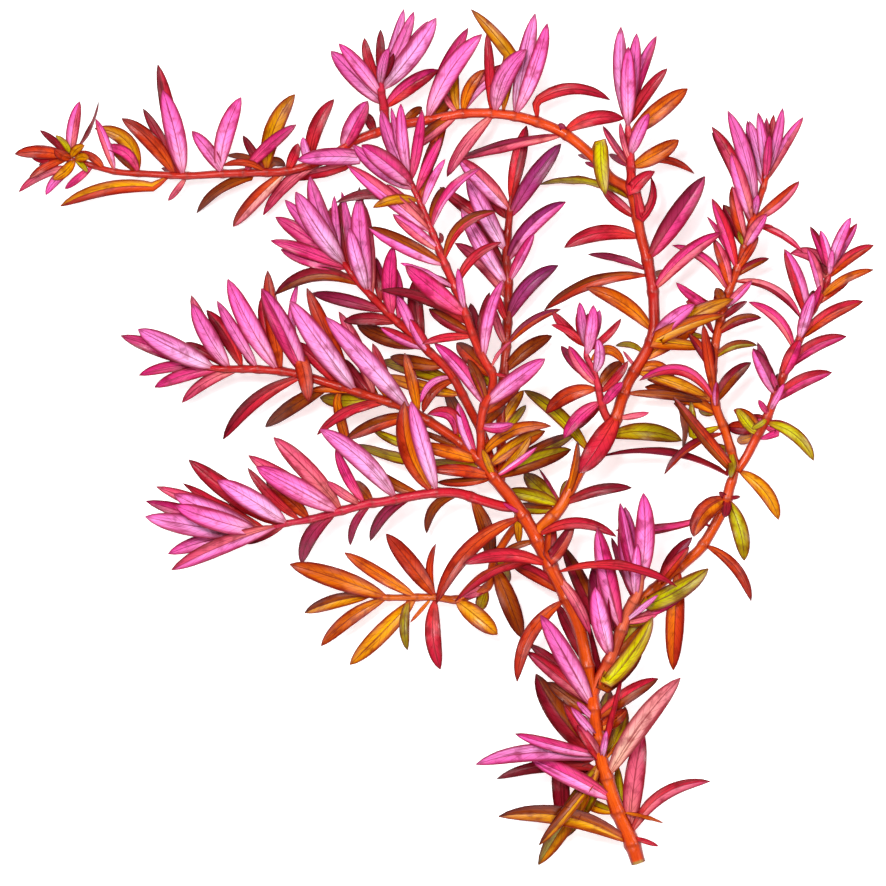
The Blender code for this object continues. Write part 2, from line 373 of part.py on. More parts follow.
        (-42.0, 37.0, -20.0, 39.0, 3.5, -4.2, -2, "rust"),
        (-32.8, 37.4, -14.0, 32.5, 3.2, -0.3, -4, "plum"),
        (-24.8, 30.4, -9.5, 28.5, 3.1, -0.8, -2, "wine"),
        (-21.5, 29.6, -4.9, 24.3, 4.0, 0.8, -4, "brown"),
        (-15.6, 28.9, -4.2, 23.6, 2.7, 0.2, 1, "pink|ruby"),
        (-11.8, 37.0, -8.7, 28.3, 2.7, -0.4, 4, "pink"),
        (-7.0, 41.0, -5.0, 24.5, 3.7, 0.8, -3, "wine"),
    ],
    "left": [
        (-35.4, -30.2, -26.6, -17.3, 3.6, -2.2, -6, "plum"),
        (-23.2, -25.6, -17.2, -15.6, 2.0, -1.6, -5, "plum"),
        (-18.2, -24.5, -6.0, -14.0, 2.8, -2.3, -6, "plum"),
        (-4.1, -22.6, 4.6, -13.0, 2.4, -3.0, -6, "brown"),
        (12.0, -29.8, 7.0, -14.0, 3.8, 1.2, -7, "brown"),
        (-9.6, 10.4, -2.2, -12.4, 4.3, 2.8, 4, "rust|orange"),
        (-8.0, 10.4, -1.5, -12.4, 4.1, 0.2, 9, "lilac"),
        (-42.3, 1.4, -24.8, -16.8, 4.5, -0.5, 4, "rose"),
        (-48.6, -3.1, -26.5, -17.0, 3.9, 0.2, 3, "rose"),
        (-46.6, -5.9, -26.0, -17.0, 5.3, 0.0, 9, "pink"),
        (-48.8, -6.2, -35.0, -19.3, 2.5, 0.9, 2, "ruby"),
        (-44.2, -9.6, -33.5, -19.0, 3.7, -0.3, -1, "rust"),
        (-63.5, -4.2, -41.0, -20.6, 4.5, 0.5, 3, "ruby"),
        (-56.3, -9.3, -38.9, -20.1, 4.9, -0.3, 10, "lilac"),
        (-71.6, -10.9, -47.0, -21.6, 3.5, -0.3, 4, "rose"),
        (-65.0, -10.1, -46.0, -21.4, 2.3, 0.6, 2, "ruby"),
        (-67.2, -12.7, -45.5, -21.6, 4.8, 0.3, 9, "lilac"),
        (-66.8, -15.6, -46.0, -22.0, 4.9, 0.5, 11, "pink"),
        (-74.2, -14.5, -47.5, -22.0, 3.7, 0.0, 5, "magenta"),
        (-74.3, -18.4, -47.5, -22.6, 5.0, 0.4, 8, "pink"),
        (-68.7, -27.7, -46.0, -22.4, 3.7, -0.8, 4, "pink|wine"),
        (-67.8, -31.7, -40.5, -20.8, 4.1, -0.8, 3, "rose"),
        (-49.0, -25.3, -38.5, -20.4, 1.5, 0.3, -3, "wine"),
        (-30.8, 3.5, -14.3, -14.4, 4.8, -1.4, 9, "lilac"),
        (-26.8, -1.4, -19.6, -15.4, 2.7, 0.7, 3, "magenta"),
        (-29.0, -9.5, -20.0, -15.6, 2.3, 0.3, 4, "lilac"),
        (-22.3, -9.5, -14.8, -14.7, 2.9, 0.0, -4, "brown"),
        (-16.8, -6.9, -5.0, -12.9, 2.7, 0.9, -3, "brown"),
    ],
    "low": [
        (-38.3, -30.3, -14.2, -38.6, 4.9, -0.4, 6, "orange"),
        (-24.6, -27.4, -6.5, -38.5, 3.3, 0.1, 5, "orange"),
        (-14.2, -22.7, -1.9, -38.6, 4.3, -0.2, 6, "rust"),
        (-1.8, -25.2, -1.8, -38.5, 1.8, 1.6, 3, "rust"),
        (-34.6, -42.5, -17.5, -38.5, 3.4, -1.0, 1, "amber|brown"),
        (-30.5, -50.8, -14.0, -38.8, 3.4, -1.4, -2, "orange"),
        (-23.3, -55.5, -6.2, -38.8, 4.2, 0.0, -3, "amber"),
        (-8.9, -51.8, -8.0, -38.8, 2.4, -1.0, 2, "olive"),
        (-8.2, -44.9, -3.0, -39.0, 1.0, 0.0, 1, "orange"),
        (-0.7, -56.6, -1.9, -38.8, 3.8, -1.3, 2, "ruby"),
        (13.6, -47.9, 2.6, -39.0, 4.5, 0.2, 3, "amber"),
        (19.8, -48.8, 13.2, -30.5, 4.4, 0.2, -2, "brown"),
        (16.3, -35.3, 12.8, -28.5, 2.7, 0.4, -3, "olive"),
        (9.0, -42.0, 11.6, -37.0, 3.0, 0.0, -3, "olive"),
        (5.0, -38.4, 12.0, -36.8, 2.6, 0.0, 1, "rose"),
    ],
    "fork": [
        (29.8, -25.6, 40.5, -53.0, 4.0, -0.6, -5, "wine|brown"),
        (34.5, -41.0, 38.8, -60.0, 3.6, 0.2, -5, "wine"),
        (38.6, -21.1, 42.0, -46.0, 4.6, 0.4, 8, "pink|magenta"),
        (38.2, -29.3, 40.6, -53.0, 4.9, 0.9, 4, "plum|magenta"),
        (38.0, -36.0, 40.5, -53.0, 4.4, 0.6, 8, "pink|lilac"),
        (41.6, -33.5, 43.9, -48.5, 2.6, 0.4, -3, "plum"),
        (42.6, -40.0, 44.0, -47.0, 1.4, 0.0, 2, "rose"),
        (44.2, -15.0, 46.2, -36.0, 3.0, 0.3, 4, "magenta|pink"),
        (45.5, -16.0, 47.6, -38.5, 4.9, 0.4, 7, "pink|magenta"),
        (48.6, -25.2, 48.2, -38.8, 2.6, 0.2, 9, "lilac|pink"),
        (42.1, -23.6, 45.3, -41.0, 2.0, 0.2, 0, "plum"),
        (45.6, -27.0, 46.5, -42.0, 2.4, 0.3, -2, "wine"),
        (52.4, -43.4, 40.6, -60.2, 4.2, -1.1, 6, "yellow"),
        (51.8, -43.6, 42.5, -55.5, 3.4, 0.6, -3, "olive|brown"),
        (52.0, -43.4, 47.0, -43.4, 2.4, -0.6, -4, "olive"),
        (49.8, -52.4, 39.8, -61.5, 3.6, -0.3, -2, "rust|brown"),
        (53.8, -37.9, 47.3, -42.7, 1.5, 0.0, 5, "lilac"),
        (60.0, -38.6, 47.0, -43.0, 2.0, -0.4, 2, "rose|magenta"),
        (53.6, -42.9, 47.0, -43.0, 1.6, -0.3, -1, "rose"),
        (50.0, -12.5, 49.8, -36.5, 4.7, -0.9, 9, "magenta|pink"),
    ],
    "side": [
        (66.3, -31.4, 50.5, -40.6, 4.6, -0.9, 5, "yellow|amber"),
        (57.6, -56.8, 61.4, -32.0, 4.4, -0.3, -1, "rust|brown"),
        (62.3, -23.6, 53.5, -35.2, 3.0, 1.0, 3, "wine|plum"),
        (61.5, -26.0, 53.5, -35.6, 2.6, 0.2, 5, "ruby|rust"),
        (62.6, -23.4, 71.0, -13.6, 4.6, -2.0, 7, "orange|rust"),
        (69.0, -12.2, 71.8, -14.0, 1.3, 0.0, 2, "wine"),
        (70.3, -18.6, 72.6, -13.8, 2.4, 0.2, 1, "wine"),
        (74.4, -13.4, 72.0, -14.6, 1.0, 0.0, 2, "wine"),
        (75.3, -29.4, 72.3, -14.2, 3.9, 1.0, 1, "olive|amber"),
        (77.0, -39.5, 64.8, -25.9, 2.6, 2.4, 5, "rust"),
        (43.0, -21.8, 63.8, -19.8, 2.2, 1.4, -1, "wine|magenta"),
        (83.9, -19.2, 74.6, -5.8, 3.5, 1.9, 1, "amber"),
    ],
    "side_inner": [
        (39.0, -3.6, 71.6, -8.6, 1.6, -3.2, 2, "plum|wine"),
        (71.8, -8.8, 72.4, -5.6, 2.0, 0.0, 4, "olive"),
        (57.5, 11.5, 72.3, -7.0, 3.0, 0.4, 3, "brown|rust"),
        (66.2, -1.0, 71.8, -3.4, 2.4, 0.0, -3, "olive"),
        (55.3, -7.9, 71.3, 2.6, 2.0, -2.0, 5, "rust|wine"),
        (60.0, -1.5, 58.5, 10.5, 2.0, 1.0, -6, "brown"),
        (62.0, 10.6, 62.6, 1.6, 2.4, 0.0, 0, "olive|yellow"),
        (49.0, 15.6, 69.0, 9.6, 2.7, -5.6, 6, "ruby|magenta"),
        (64.0, 8.6, 69.6, 8.4, 2.0, 0.6, -4, "olive"),
        (50.5, 14.0, 69.5, 7.4, 3.6, -1.4, -3, "orange|brown"),
        (51.0, 15.8, 68.6, 10.2, 2.8, -1.4, 1, "orange"),
        (77.0, 20.1, 68.8, 9.8, 3.3, 1.3, 4, "wine|brown"),
        (68.4, 15.4, 68.9, 9.4, 1.7, 0.2, 8, "pink|ruby"),
        (61.4, 27.2, 66.2, 15.2, 2.4, -0.5, 2, "wine|rust"),
        (65.0, 29.6, 66.0, 14.6, 2.6, 0.0, 4, "rust"),
        (67.0, 24.8, 66.6, 16.0, 1.6, 0.0, 1, "wine"),
        (78.5, 24.4, 68.3, 20.5, 2.2, 1.8, 2, "brown|olive"),
        (79.6, 31.3, 70.0, 26.6, 2.5, 1.6, 2, "brown|wine"),
        (70.5, 32.0, 52.4, 25.4, 3.6, 1.0, 6, "orange|amber"),
        (67.8, 27.0, 64.0, 33.6, 1.5, 0.0, 4, "ruby"),
        (60.7, 35.3, 70.6, 31.6, 3.4, -0.6, 2, "rust|ruby"),
        (68.4, 38.0, 70.2, 31.0, 2.4, 0.0, 0, "wine|rust"),
        (76.0, 35.4, 71.4, 30.2, 1.8, 0.4, 3, "wine"),
        (61.5, 31.8, 58.6, 28.0, 1.6, 0.0, -3, "olive"),
        (71.1, 82.9, 77.8, 57.5, 3.9, -1.3, 7, "pink"),
        (67.2, 79.0, 76.6, 54.0, 3.6, -1.9, 4, "rose|ruby"),
        (67.3, 77.6, 76.4, 55.0, 3.6, -1.9, 1, "wine|brown"),
        (72.0, 72.5, 76.2, 55.5, 3.6, 0.0, 7, "pink|rose"),
        (72.2, 64.2, 75.0, 50.0, 3.0, 0.4, 4, "rust|rose"),
        (78.6, 82.5, 80.8, 65.5, 2.6, -0.4, 8, "lilac|pink"),
        (76.5, 80.4, 80.4, 64.5, 2.8, -0.4, 5, "magenta"),
        (76.0, 80.5, 80.0, 63.5, 2.6, 0.2, 3, "pink|ruby"),
        (80.8, 81.3, 81.0, 67.0, 2.0, 0.0, 4, "magenta|rose"),
        (82.6, 82.0, 81.2, 67.5, 2.2, 0.0, 2, "ruby"),
        (84.8, 83.6, 81.4, 67.0, 2.6, -0.4, 6, "pink|magenta"),
        (90.0, 81.4, 80.6, 64.8, 2.6, 0.5, 3, "pink|ruby"),
        (83.0, 76.0, 81.2, 66.5, 1.5, 0.0, 0, "rust"),
        (81.5, 77.0, 80.6, 66.0, 2.2, 0.0, 6, "magenta"),
        (89.0, 65.4, 78.8, 54.6, 2.8, -0.6, 3, "rust|rose"),
        (80.8, 57.2, 75.0, 48.6, 3.0, 0.3, 7, "rose|pink"),
        (78.6, 62.0, 77.8, 56.5, 2.0, 0.0, 4, "pink"),
        (67.2, 61.0, 73.4, 45.4, 3.0, -0.6, 4, "rose|magenta"),
        (70.0, 59.6, 74.2, 47.6, 3.2, -0.5, 0, "wine|brown"),
        (66.0, 56.6, 73.0, 46.0, 1.6, -0.8, 2, "magenta"),
        (67.6, 51.0, 71.0, 38.6, 2.8, -0.6, 3, "rust|rose"),
        (70.6, 48.6, 71.6, 40.0, 1.6, 0.0, -2, "brown"),
        (73.0, 54.0, 74.4, 47.0, 1.6, 0.0, -1, "orange"),
        (73.6, 53.0, 74.8, 48.0, 1.2, 0.0, 1, "olive"),
        (58.2, 40.1, 69.5, 33.0, 2.4, 0.8, 2, "magenta"),
        (68.2, 38.8, 70.8, 34.0, 2.6, 0.0, 0, "brown"),
        (81.5, 46.1, 74.0, 40.4, 2.0, 0.8, 0, "wine|brown"),
        (89.4, 31.0, 73.4, 39.6, 2.2, 3.1, 4, "rose|wine"),
        (77.2, 40.6, 72.0, 33.4, 2.2, 0.0, 5, "rose|pink"),
        (89.8, 47.6, 77.8, 54.4, 1.7, 1.2, 3, "rose|ruby"),
        (82.6, 54.0, 78.6, 53.0, 1.2, 0.3, 2, "ruby"),
        (78.8, 51.5, 74.0, 44.2, 2.0, 0.0, 3, "rust"),
        (57.3, 49.4, 71.2, 38.0, 2.4, -2.6, 3, "rose|magenta"),
    ],
    "side_outer": [
        (72.6, 8.3, 79.0, 2.8, 3.0, -0.8, 4, "rust|orange"),
        (71.0, 4.0, 77.5, 5.0, 3.4, 0.0, -2, "wine|rust"),
        (73.4, 8.7, 78.2, 2.0, 2.8, 0.3, 6, "yellow"),
        (77.0, 3.6, 80.0, 6.6, 1.6, 0.4, 7, "yellow"),
        (73.6, 0.4, 78.4, 2.2, 2.6, 0.0, -3, "amber"),
        (75.3, 5.8, 79.8, 7.2, 2.4, 0.0, 2, "magenta|wine"),
        (92.6, -4.4, 80.6, 4.6, 3.1, 2.2, 5, "amber|yellow"),
        (89.4, 1.6, 80.8, 4.6, 2.6, 0.7, 1, "magenta"),
        (79.2, 0.9, 83.8, 2.6, 1.8, 0.0, 2, "magenta"),
        (78.8, 10.8, 80.6, 7.0, 1.6, 0.0, 5, "magenta"),
        (77.4, 23.6, 82.4, 12.0, 3.7, -0.2, 8, "pink|plum"),
        (78.6, 25.2, 81.8, 12.6, 2.2, 0.0, 3, "plum"),
        (82.0, 17.6, 82.6, 13.0, 1.6, 0.0, 4, "magenta"),
        (76.4, 35.2, 87.6, 21.5, 2.6, -2.4, 5, "plum|wine"),
        (97.2, 17.6, 84.6, 9.6, 3.4, 1.6, 5, "ruby|magenta"),
        (85.2, 14.8, 82.8, 7.4, 1.8, 0.0, 7, "pink"),
        (89.2, 25.8, 86.0, 16.4, 3.4, 0.2, 6, "ruby|magenta"),
        (84.2, 17.0, 85.6, 22.0, 2.0, 0.0, 2, "ruby"),
        (83.6, 17.4, 82.4, 12.4, 1.3, 0.0, 1, "wine"),
        (85.3, 48.4, 90.8, 30.8, 3.7, -0.6, 6, "ruby|pink"),
        (92.6, 37.4, 89.2, 25.6, 3.0, 0.2, 8, "pink|lilac"),
        (94.4, 39.5, 91.2, 31.5, 1.8, 0.0, 5, "magenta"),
        (105.0, 35.4, 90.0, 25.6, 3.3, 1.6, 4, "ruby|rust"),
        (100.8, 26.6, 86.8, 18.4, 3.3, 2.0, 5, "ruby|magenta"),
        (107.6, 43.3, 94.2, 35.2, 2.2, 1.4, 3, "orange"),
        (101.5, 40.4, 93.4, 33.8, 2.6, 0.8, -1, "rust"),
        (107.6, 49.4, 96.6, 41.0, 2.8, 1.2, 4, "ruby|rust"),
        (103.5, 54.9, 97.4, 43.0, 2.4, 0.3, 5, "ruby|pink"),
        (101.8, 56.3, 97.0, 42.6, 2.8, 0.6, 8, "pink|magenta"),
        (91.7, 54.1, 95.9, 42.0, 2.2, -0.5, 5, "magenta|wine"),
        (94.2, 53.1, 96.6, 42.6, 2.3, -0.3, 7, "magenta|lilac"),
        (97.2, 48.2, 96.4, 42.2, 1.6, 0.0, 9, "pink"),
        (94.0, 45.0, 96.2, 42.0, 1.4, 0.0, 3, "wine"),
        (86.8, 47.4, 95.0, 40.4, 3.4, -3.2, 4, "rust|ruby"),
        (91.0, 48.6, 94.2, 37.0, 2.4, -0.8, 6, "pink|rose"),
        (92.6, 38.2, 92.4, 33.4, 2.4, 0.0, 0, "wine|brown"),
        (91.0, 36.0, 90.6, 29.0, 1.5, 0.0, 7, "magenta"),
        (87.4, 25.0, 88.4, 24.0, 1.6, 0.0, 0, "brown"),
    ],
}

# Each stem: points along its middle line as (x, y, height, diameter), and the points where it is cut in stretches
STEMS = {
    "trunk": {
        "points": [(48.9, -105.1, 4.0, 3.7), (47.0, -99.4, 4.8, 4.0), (43.1, -90.4, 6.5, 3.8),
                   (39.9, -80.2, 8.5, 3.6), (38.2, -70.5, 10.3, 3.6), (37.2, -63.0, 11.5, 3.6)],
        "cuts": [],
    },
    "main": {
        "points": [(37.2, -63.0, 11.5, 3.4), (36.2, -56.8, 12.0, 3.6), (34.1, -46.3, 12.5, 3.4),
                   (30.5, -38.0, 13.0, 3.6), (26.0, -29.1, 13.5, 3.6), (21.8, -21.0, 14.0, 3.4),
                   (17.5, -14.5, 14.3, 3.3), (14.4, -10.7, 14.6, 3.2), (9.0, -4.1, 15.0, 2.8),
                   (3.2, 0.9, 15.0, 2.7), (-5.1, 6.3, 15.0, 2.6), (-10.4, 9.2, 15.0, 2.5),
                   (-17.1, 11.3, 15.0, 2.5), (-27.5, 14.6, 15.0, 2.4), (-37.3, 17.4, 14.5, 2.3),
                   (-46.2, 18.4, 14.0, 2.1), (-56.1, 18.6, 14.5, 1.8), (-64.5, 20.0, 15.0, 1.5)],
        "cuts": [5, 7, 11, 14],
    },
    "arch": {
        "points": [(22.7, -22.8, 13.9, 3.1), (25.3, -20.4, 13.0, 3.2), (29.6, -15.7, 12.0, 3.2),
                   (34.3, -6.5, 11.5, 3.2), (38.5, -0.5, 12.0, 3.1), (42.4, 3.8, 12.5, 3.1),
                   (45.9, 14.4, 13.0, 3.0), (52.0, 25.4, 13.5, 3.0), (52.7, 34.7, 13.5, 2.9),
                   (51.5, 43.8, 13.5, 2.9), (49.4, 52.1, 13.5, 2.8), (47.0, 62.5, 14.0, 2.8),
                   (41.9, 66.3, 14.5, 2.7), (37.5, 71.5, 15.0, 2.7), (30.0, 77.5, 15.0, 2.7),
                   (21.0, 81.0, 15.0, 2.6), (13.0, 82.3, 15.0, 2.5), (5.0, 82.3, 15.0, 2.5),
                   (-3.0, 80.8, 14.5, 2.5), (-10.8, 79.5, 14.0, 2.5), (-14.5, 78.3, 14.0, 2.4),
                   (-22.0, 75.5, 14.0, 2.4), (-29.5, 70.8, 13.5, 2.3), (-39.0, 68.0, 13.0, 2.3),
                   (-47.0, 67.6, 13.0, 2.2), (-55.0, 67.3, 13.0, 2.1), (-64.0, 66.8, 13.0, 1.9),
                   (-73.0, 67.2, 13.0, 1.8), (-81.0, 67.7, 13.0, 1.6), (-86.5, 69.0, 13.5, 1.5),
                   (-93.0, 71.2, 14.0, 1.4)],
        "cuts": [5, 8, 11, 15, 20, 24, 27],
    },
    "right_tuft": {
        "points": [(47.0, 62.5, 14.0, 2.6), (47.0, 68.0, 15.5, 2.4), (46.5, 75.5, 17.0, 2.1), (46.0, 81.0, 18.0, 1.6)],
        "cuts": [],
    },
    "top_tuft": {
        "points": [(-14.3, 78.5, 14.0, 2.4), (-14.7, 83.5, 16.0, 2.3), (-15.5, 88.0, 19.0, 2.1),
                   (-15.5, 92.0, 21.0, 1.8), (-15.0, 95.0, 22.0, 1.5)],
        "cuts": [],
    },
    "inner_tuft": {
        "points": [(42.4, 3.8, 12.5, 2.2), (40.0, 8.4, 14.0, 2.1), (38.7, 14.3, 16.0, 1.8),
                   (37.5, 18.3, 17.0, 1.6), (35.8, 21.6, 18.0, 1.5), (35.5, 24.0, 18.5, 1.5)],
        "cuts": [],
    },
    "front": {
        "points": [(9.3, -4.0, 15.2, 2.3), (9.5, 0.0, 17.5, 2.3), (9.5, 5.1, 20.0, 2.3), (10.3, 9.3, 22.0, 2.3),
                   (12.3, 13.6, 24.0, 2.3), (12.3, 17.3, 25.0, 2.3), (10.3, 20.5, 25.5, 2.3),
                   (7.7, 26.4, 26.5, 2.3), (4.4, 35.5, 27.5, 2.2), (0.3, 45.0, 28.0, 2.1),
                   (-2.2, 51.3, 28.0, 1.9), (-5.5, 59.4, 27.5, 1.6), (-9.3, 67.9, 27.0, 1.4)],
        "cuts": [8],
    },
    "back": {
        "points": [(14.3, -9.9, 14.4, 2.5), (14.6, -5.0, 12.0, 2.5), (14.5, 2.0, 10.5, 2.5),
                   (14.5, 11.0, 10.0, 2.5), (15.4, 19.4, 9.5, 2.4), (16.0, 27.3, 9.0, 2.4),
                   (16.4, 38.9, 9.0, 2.3), (15.8, 46.8, 9.0, 2.2), (16.6, 56.7, 9.5, 1.9), (17.0, 62.0, 10.0, 1.5)],
        "cuts": [5],
    },
    "cross": {
        "points": [(14.0, -10.2, 14.3, 2.3), (12.3, -5.5, 12.4, 2.3), (10.2, 1.5, 12.2, 2.3), (8.0, 6.0, 13.2, 2.3),
                   (4.9, 12.0, 15.5, 2.3), (2.6, 16.4, 17.2, 2.3), (-0.2, 19.8, 18.5, 2.3),
                   (-4.9, 24.1, 19.5, 2.2), (-8.9, 28.1, 20.3, 2.2), (-12.6, 31.4, 21.0, 2.1),
                   (-17.6, 36.4, 21.5, 1.9), (-22.1, 41.3, 22.0, 1.8), (-28.0, 49.5, 22.5, 1.5)],
        "cuts": [8],
    },
    "left": {
        "points": [(18.3, -16.0, 14.2, 2.6), (15.2, -15.9, 15.0, 2.6), (9.8, -14.4, 16.0, 2.6),
                   (4.0, -12.6, 17.0, 2.5), (-1.5, -12.4, 17.5, 2.5), (-8.4, -13.4, 17.5, 2.5),
                   (-14.6, -14.6, 17.0, 2.4), (-19.4, -15.3, 16.5, 2.3), (-25.2, -16.9, 16.0, 2.2),
                   (-33.3, -19.1, 15.0, 1.9), (-38.9, -20.1, 14.5, 1.6), (-44.7, -21.8, 14.0, 1.5),
                   (-48.0, -22.5, 14.0, 1.4)],
        "cuts": [6],
    },
    "low": {
        "points": [(20.3, -19.0, 13.9, 2.1), (18.6, -20.4, 11.5, 2.1), (15.8, -24.0, 9.5, 2.1),
                   (12.5, -30.0, 8.5, 2.1), (11.5, -35.5, 8.0, 2.1), (7.0, -38.0, 8.0, 2.1),
                   (3.0, -39.2, 8.0, 2.1), (-1.8, -38.6, 8.0, 1.9), (-6.5, -38.6, 8.0, 1.9),
                   (-13.7, -38.7, 8.0, 1.6), (-19.0, -38.3, 8.5, 1.4)],
        "cuts": [],
    },
    "fork": {
        "points": [(37.2, -63.0, 11.5, 3.3), (38.5, -60.0, 11.6, 3.3), (42.0, -53.6, 12.0, 3.2),
                   (46.1, -42.5, 12.5, 3.1), (48.5, -37.9, 14.0, 2.7), (49.4, -32.4, 17.0, 2.1),
                   (49.5, -29.0, 18.5, 1.5)],
        "cuts": [3],
    },
    "side": {
        "points": [(46.1, -42.5, 12.5, 2.8), (49.0, -39.9, 12.0, 2.8), (52.6, -36.7, 11.5, 2.8),
                   (57.3, -32.4, 11.0, 2.8), (61.4, -29.1, 10.5, 2.8), (65.1, -25.4, 10.2, 2.7),
                   (70.2, -16.2, 10.0, 2.7), (71.9, -10.3, 10.0, 2.7), (73.6, -6.8, 10.0, 2.7)],
        "cuts": [4],
    },
    "side_inner": {
        "points": [(73.6, -6.8, 10.0, 2.4), (72.5, -3.6, 10.5, 2.4), (70.4, 3.4, 11.0, 2.4), (68.3, 8.8, 11.5, 2.4),
                   (67.4, 15.0, 12.0, 2.3), (67.5, 19.2, 12.0, 2.3), (68.3, 26.0, 12.5, 2.3),
                   (71.0, 36.5, 13.0, 2.2), (74.4, 45.8, 13.5, 2.2), (77.2, 55.3, 14.0, 1.9),
                   (78.3, 58.9, 14.5, 1.9), (80.3, 64.8, 15.0, 1.6), (81.5, 70.8, 16.0, 1.5)],
        "cuts": [4, 8],
    },
    "side_outer": {
        "points": [(73.6, -6.8, 10.0, 2.4), (75.8, -3.6, 10.0, 2.4), (78.3, 1.3, 10.0, 2.4), (81.0, 6.3, 10.5, 2.4),
                   (84.9, 16.5, 11.0, 2.3), (86.6, 20.4, 11.0, 2.3), (89.0, 25.6, 11.5, 2.2),
                   (91.1, 31.0, 11.5, 2.1), (93.5, 35.0, 12.0, 1.9), (95.9, 40.1, 12.0, 1.8), (97.0, 43.5, 13.0, 1.5)],
        "cuts": [5],
    },
}

SAMPLE_STEP = 1.0       # spacing of the points sampled along a stem
JOINT_GAP = 0.35        # clear gap between neighbouring solids
FLOOR_CLEAR = 0.7       # lowest height of a leaf's middle line
WIDEST = 6.0            # widest leaf of this plant
LIFT_TRIALS = (0.0, 1.5, -1.5, 3.0, -3.0, 4.5, -4.5, 6.0, -6.0, 8.0, -8.0, 10.0, 12.0)
SHIFT_TRIALS = (0.0, 2.0, -2.0, 4.0, -4.0)
STATIONS = (0.0, 0.32, 0.68, 1.0)
SHORT_STATIONS = (0.0, 0.5, 1.0)
SHORT_LEAF = 20.0       # a leaf shorter than this has the short stations
SHAPE = ((0.0, 0.22), (0.08, 0.40), (0.2, 0.70), (0.35, 0.93), (0.5, 1.0), (0.65, 0.97), (0.8, 0.80), (0.92, 0.50), (1.0, 0.06))


def smooth_line(points, step):
    """Sample a smooth curve through the points (Catmull-Rom) and return rows of x, y, height, diameter."""
    rows = [np.array(p, dtype=float) for p in points]
    rows = [2 * rows[0] - rows[1]] + rows + [2 * rows[-1] - rows[-2]]
    sampled = []
    marks = [0]
    for i in range(1, len(rows) - 2):
        a, b, c, d = rows[i - 1:i + 3]
        count = max(2, int(round(np.linalg.norm(c[:3] - b[:3]) / step)))
        for k in range(count):
            t = k / count
            sampled.append(0.5 * (2 * b + (c - a) * t + (2 * a - 5 * b + 4 * c - d) * t * t + (3 * b - a - 3 * c + d) * t ** 3))
        marks.append(len(sampled))
    sampled.append(rows[-2])
    return np.array(sampled), marks


def leaf_width(t):
    """Share of a leaf's full width at the share t of its length."""
    return float(np.interp(t, [s[0] for s in SHAPE], [s[1] for s in SHAPE]))


def leaf_path(base, row, lift, count, hangs=False):
    """Points of a leaf's middle line, from the stem's middle line out to the tip."""
    tip_x, tip_y, base_x, base_y, _, bow, _, _ = row
    ts = np.asarray(count) if np.ndim(count) else np.linspace(0.0, 1.0, count)
    start = np.array(base[:2])
    end = np.array([tip_x, tip_y])
    given = np.array([base_x, base_y])
    length = float(np.linalg.norm(end - given))
    share = 0.0
    if hangs:
        # the leaf leaves the stem behind others: it runs straight to the given point and bends from there
        reach = float(np.linalg.norm(given - start))
        share = reach / (length + reach)
        length += reach
        first = given
    else:
        first = start
    along = (end - first) / max(1e-6, np.linalg.norm(end - first))
    control = (first + end) / 2 + 2 * bow * np.array([-along[1], along[0]])
    out = []
    drop = lift * 1.8 if lift < -3 else lift
    if lift <= -5:
        # a leaf that hangs this low rests on the sheet, unless it is too short to reach it
        drop = -min(base[2] - FLOOR_CLEAR, 0.75 * length)
    for t in ts:
        if t < share:
            flat = start + (given - start) * t / share
        else:
            u = (t - share) / (1.0 - share)
            flat = (1 - u) ** 2 * first + 2 * u * (1 - u) * control + u * u * end
        rise = drop * (1.5 * t - 0.5 * t * t) if drop > 0 else drop * t ** 1.5
        height = base[2] + rise + 0.05 * length * math.sin(math.pi * t)
        out.append((flat[0], flat[1], max(FLOOR_CLEAR, height)))
    return np.array(out), length


def side_vectors(path, roll):
    """Unit vectors across the leaf at each point of its path, rolled about the path by the angle roll."""
    forward = np.gradient(path, axis=0)
    forward /= np.maximum(1e-9, np.linalg.norm(forward, axis=1))[:, None]
    flat = np.stack([-forward[:, 1], forward[:, 0], np.zeros(len(path))], axis=1)
    flat /= np.maximum(1e-9, np.linalg.norm(flat, axis=1))[:, None]
    up = np.cross(forward, flat)
    across = flat * math.cos(roll) + up * math.sin(roll)
    normal = np.cross(forward, across)
    return across, normal


class Stretch:
    """One stretch of stem between two forks, with the leaves that grow on it."""

    def __init__(self, name, stem, line, first, last):
        self.name = name
        self.stem = stem
        self.line = line
        self.first = first
        self.last = last
        self.leaves = []


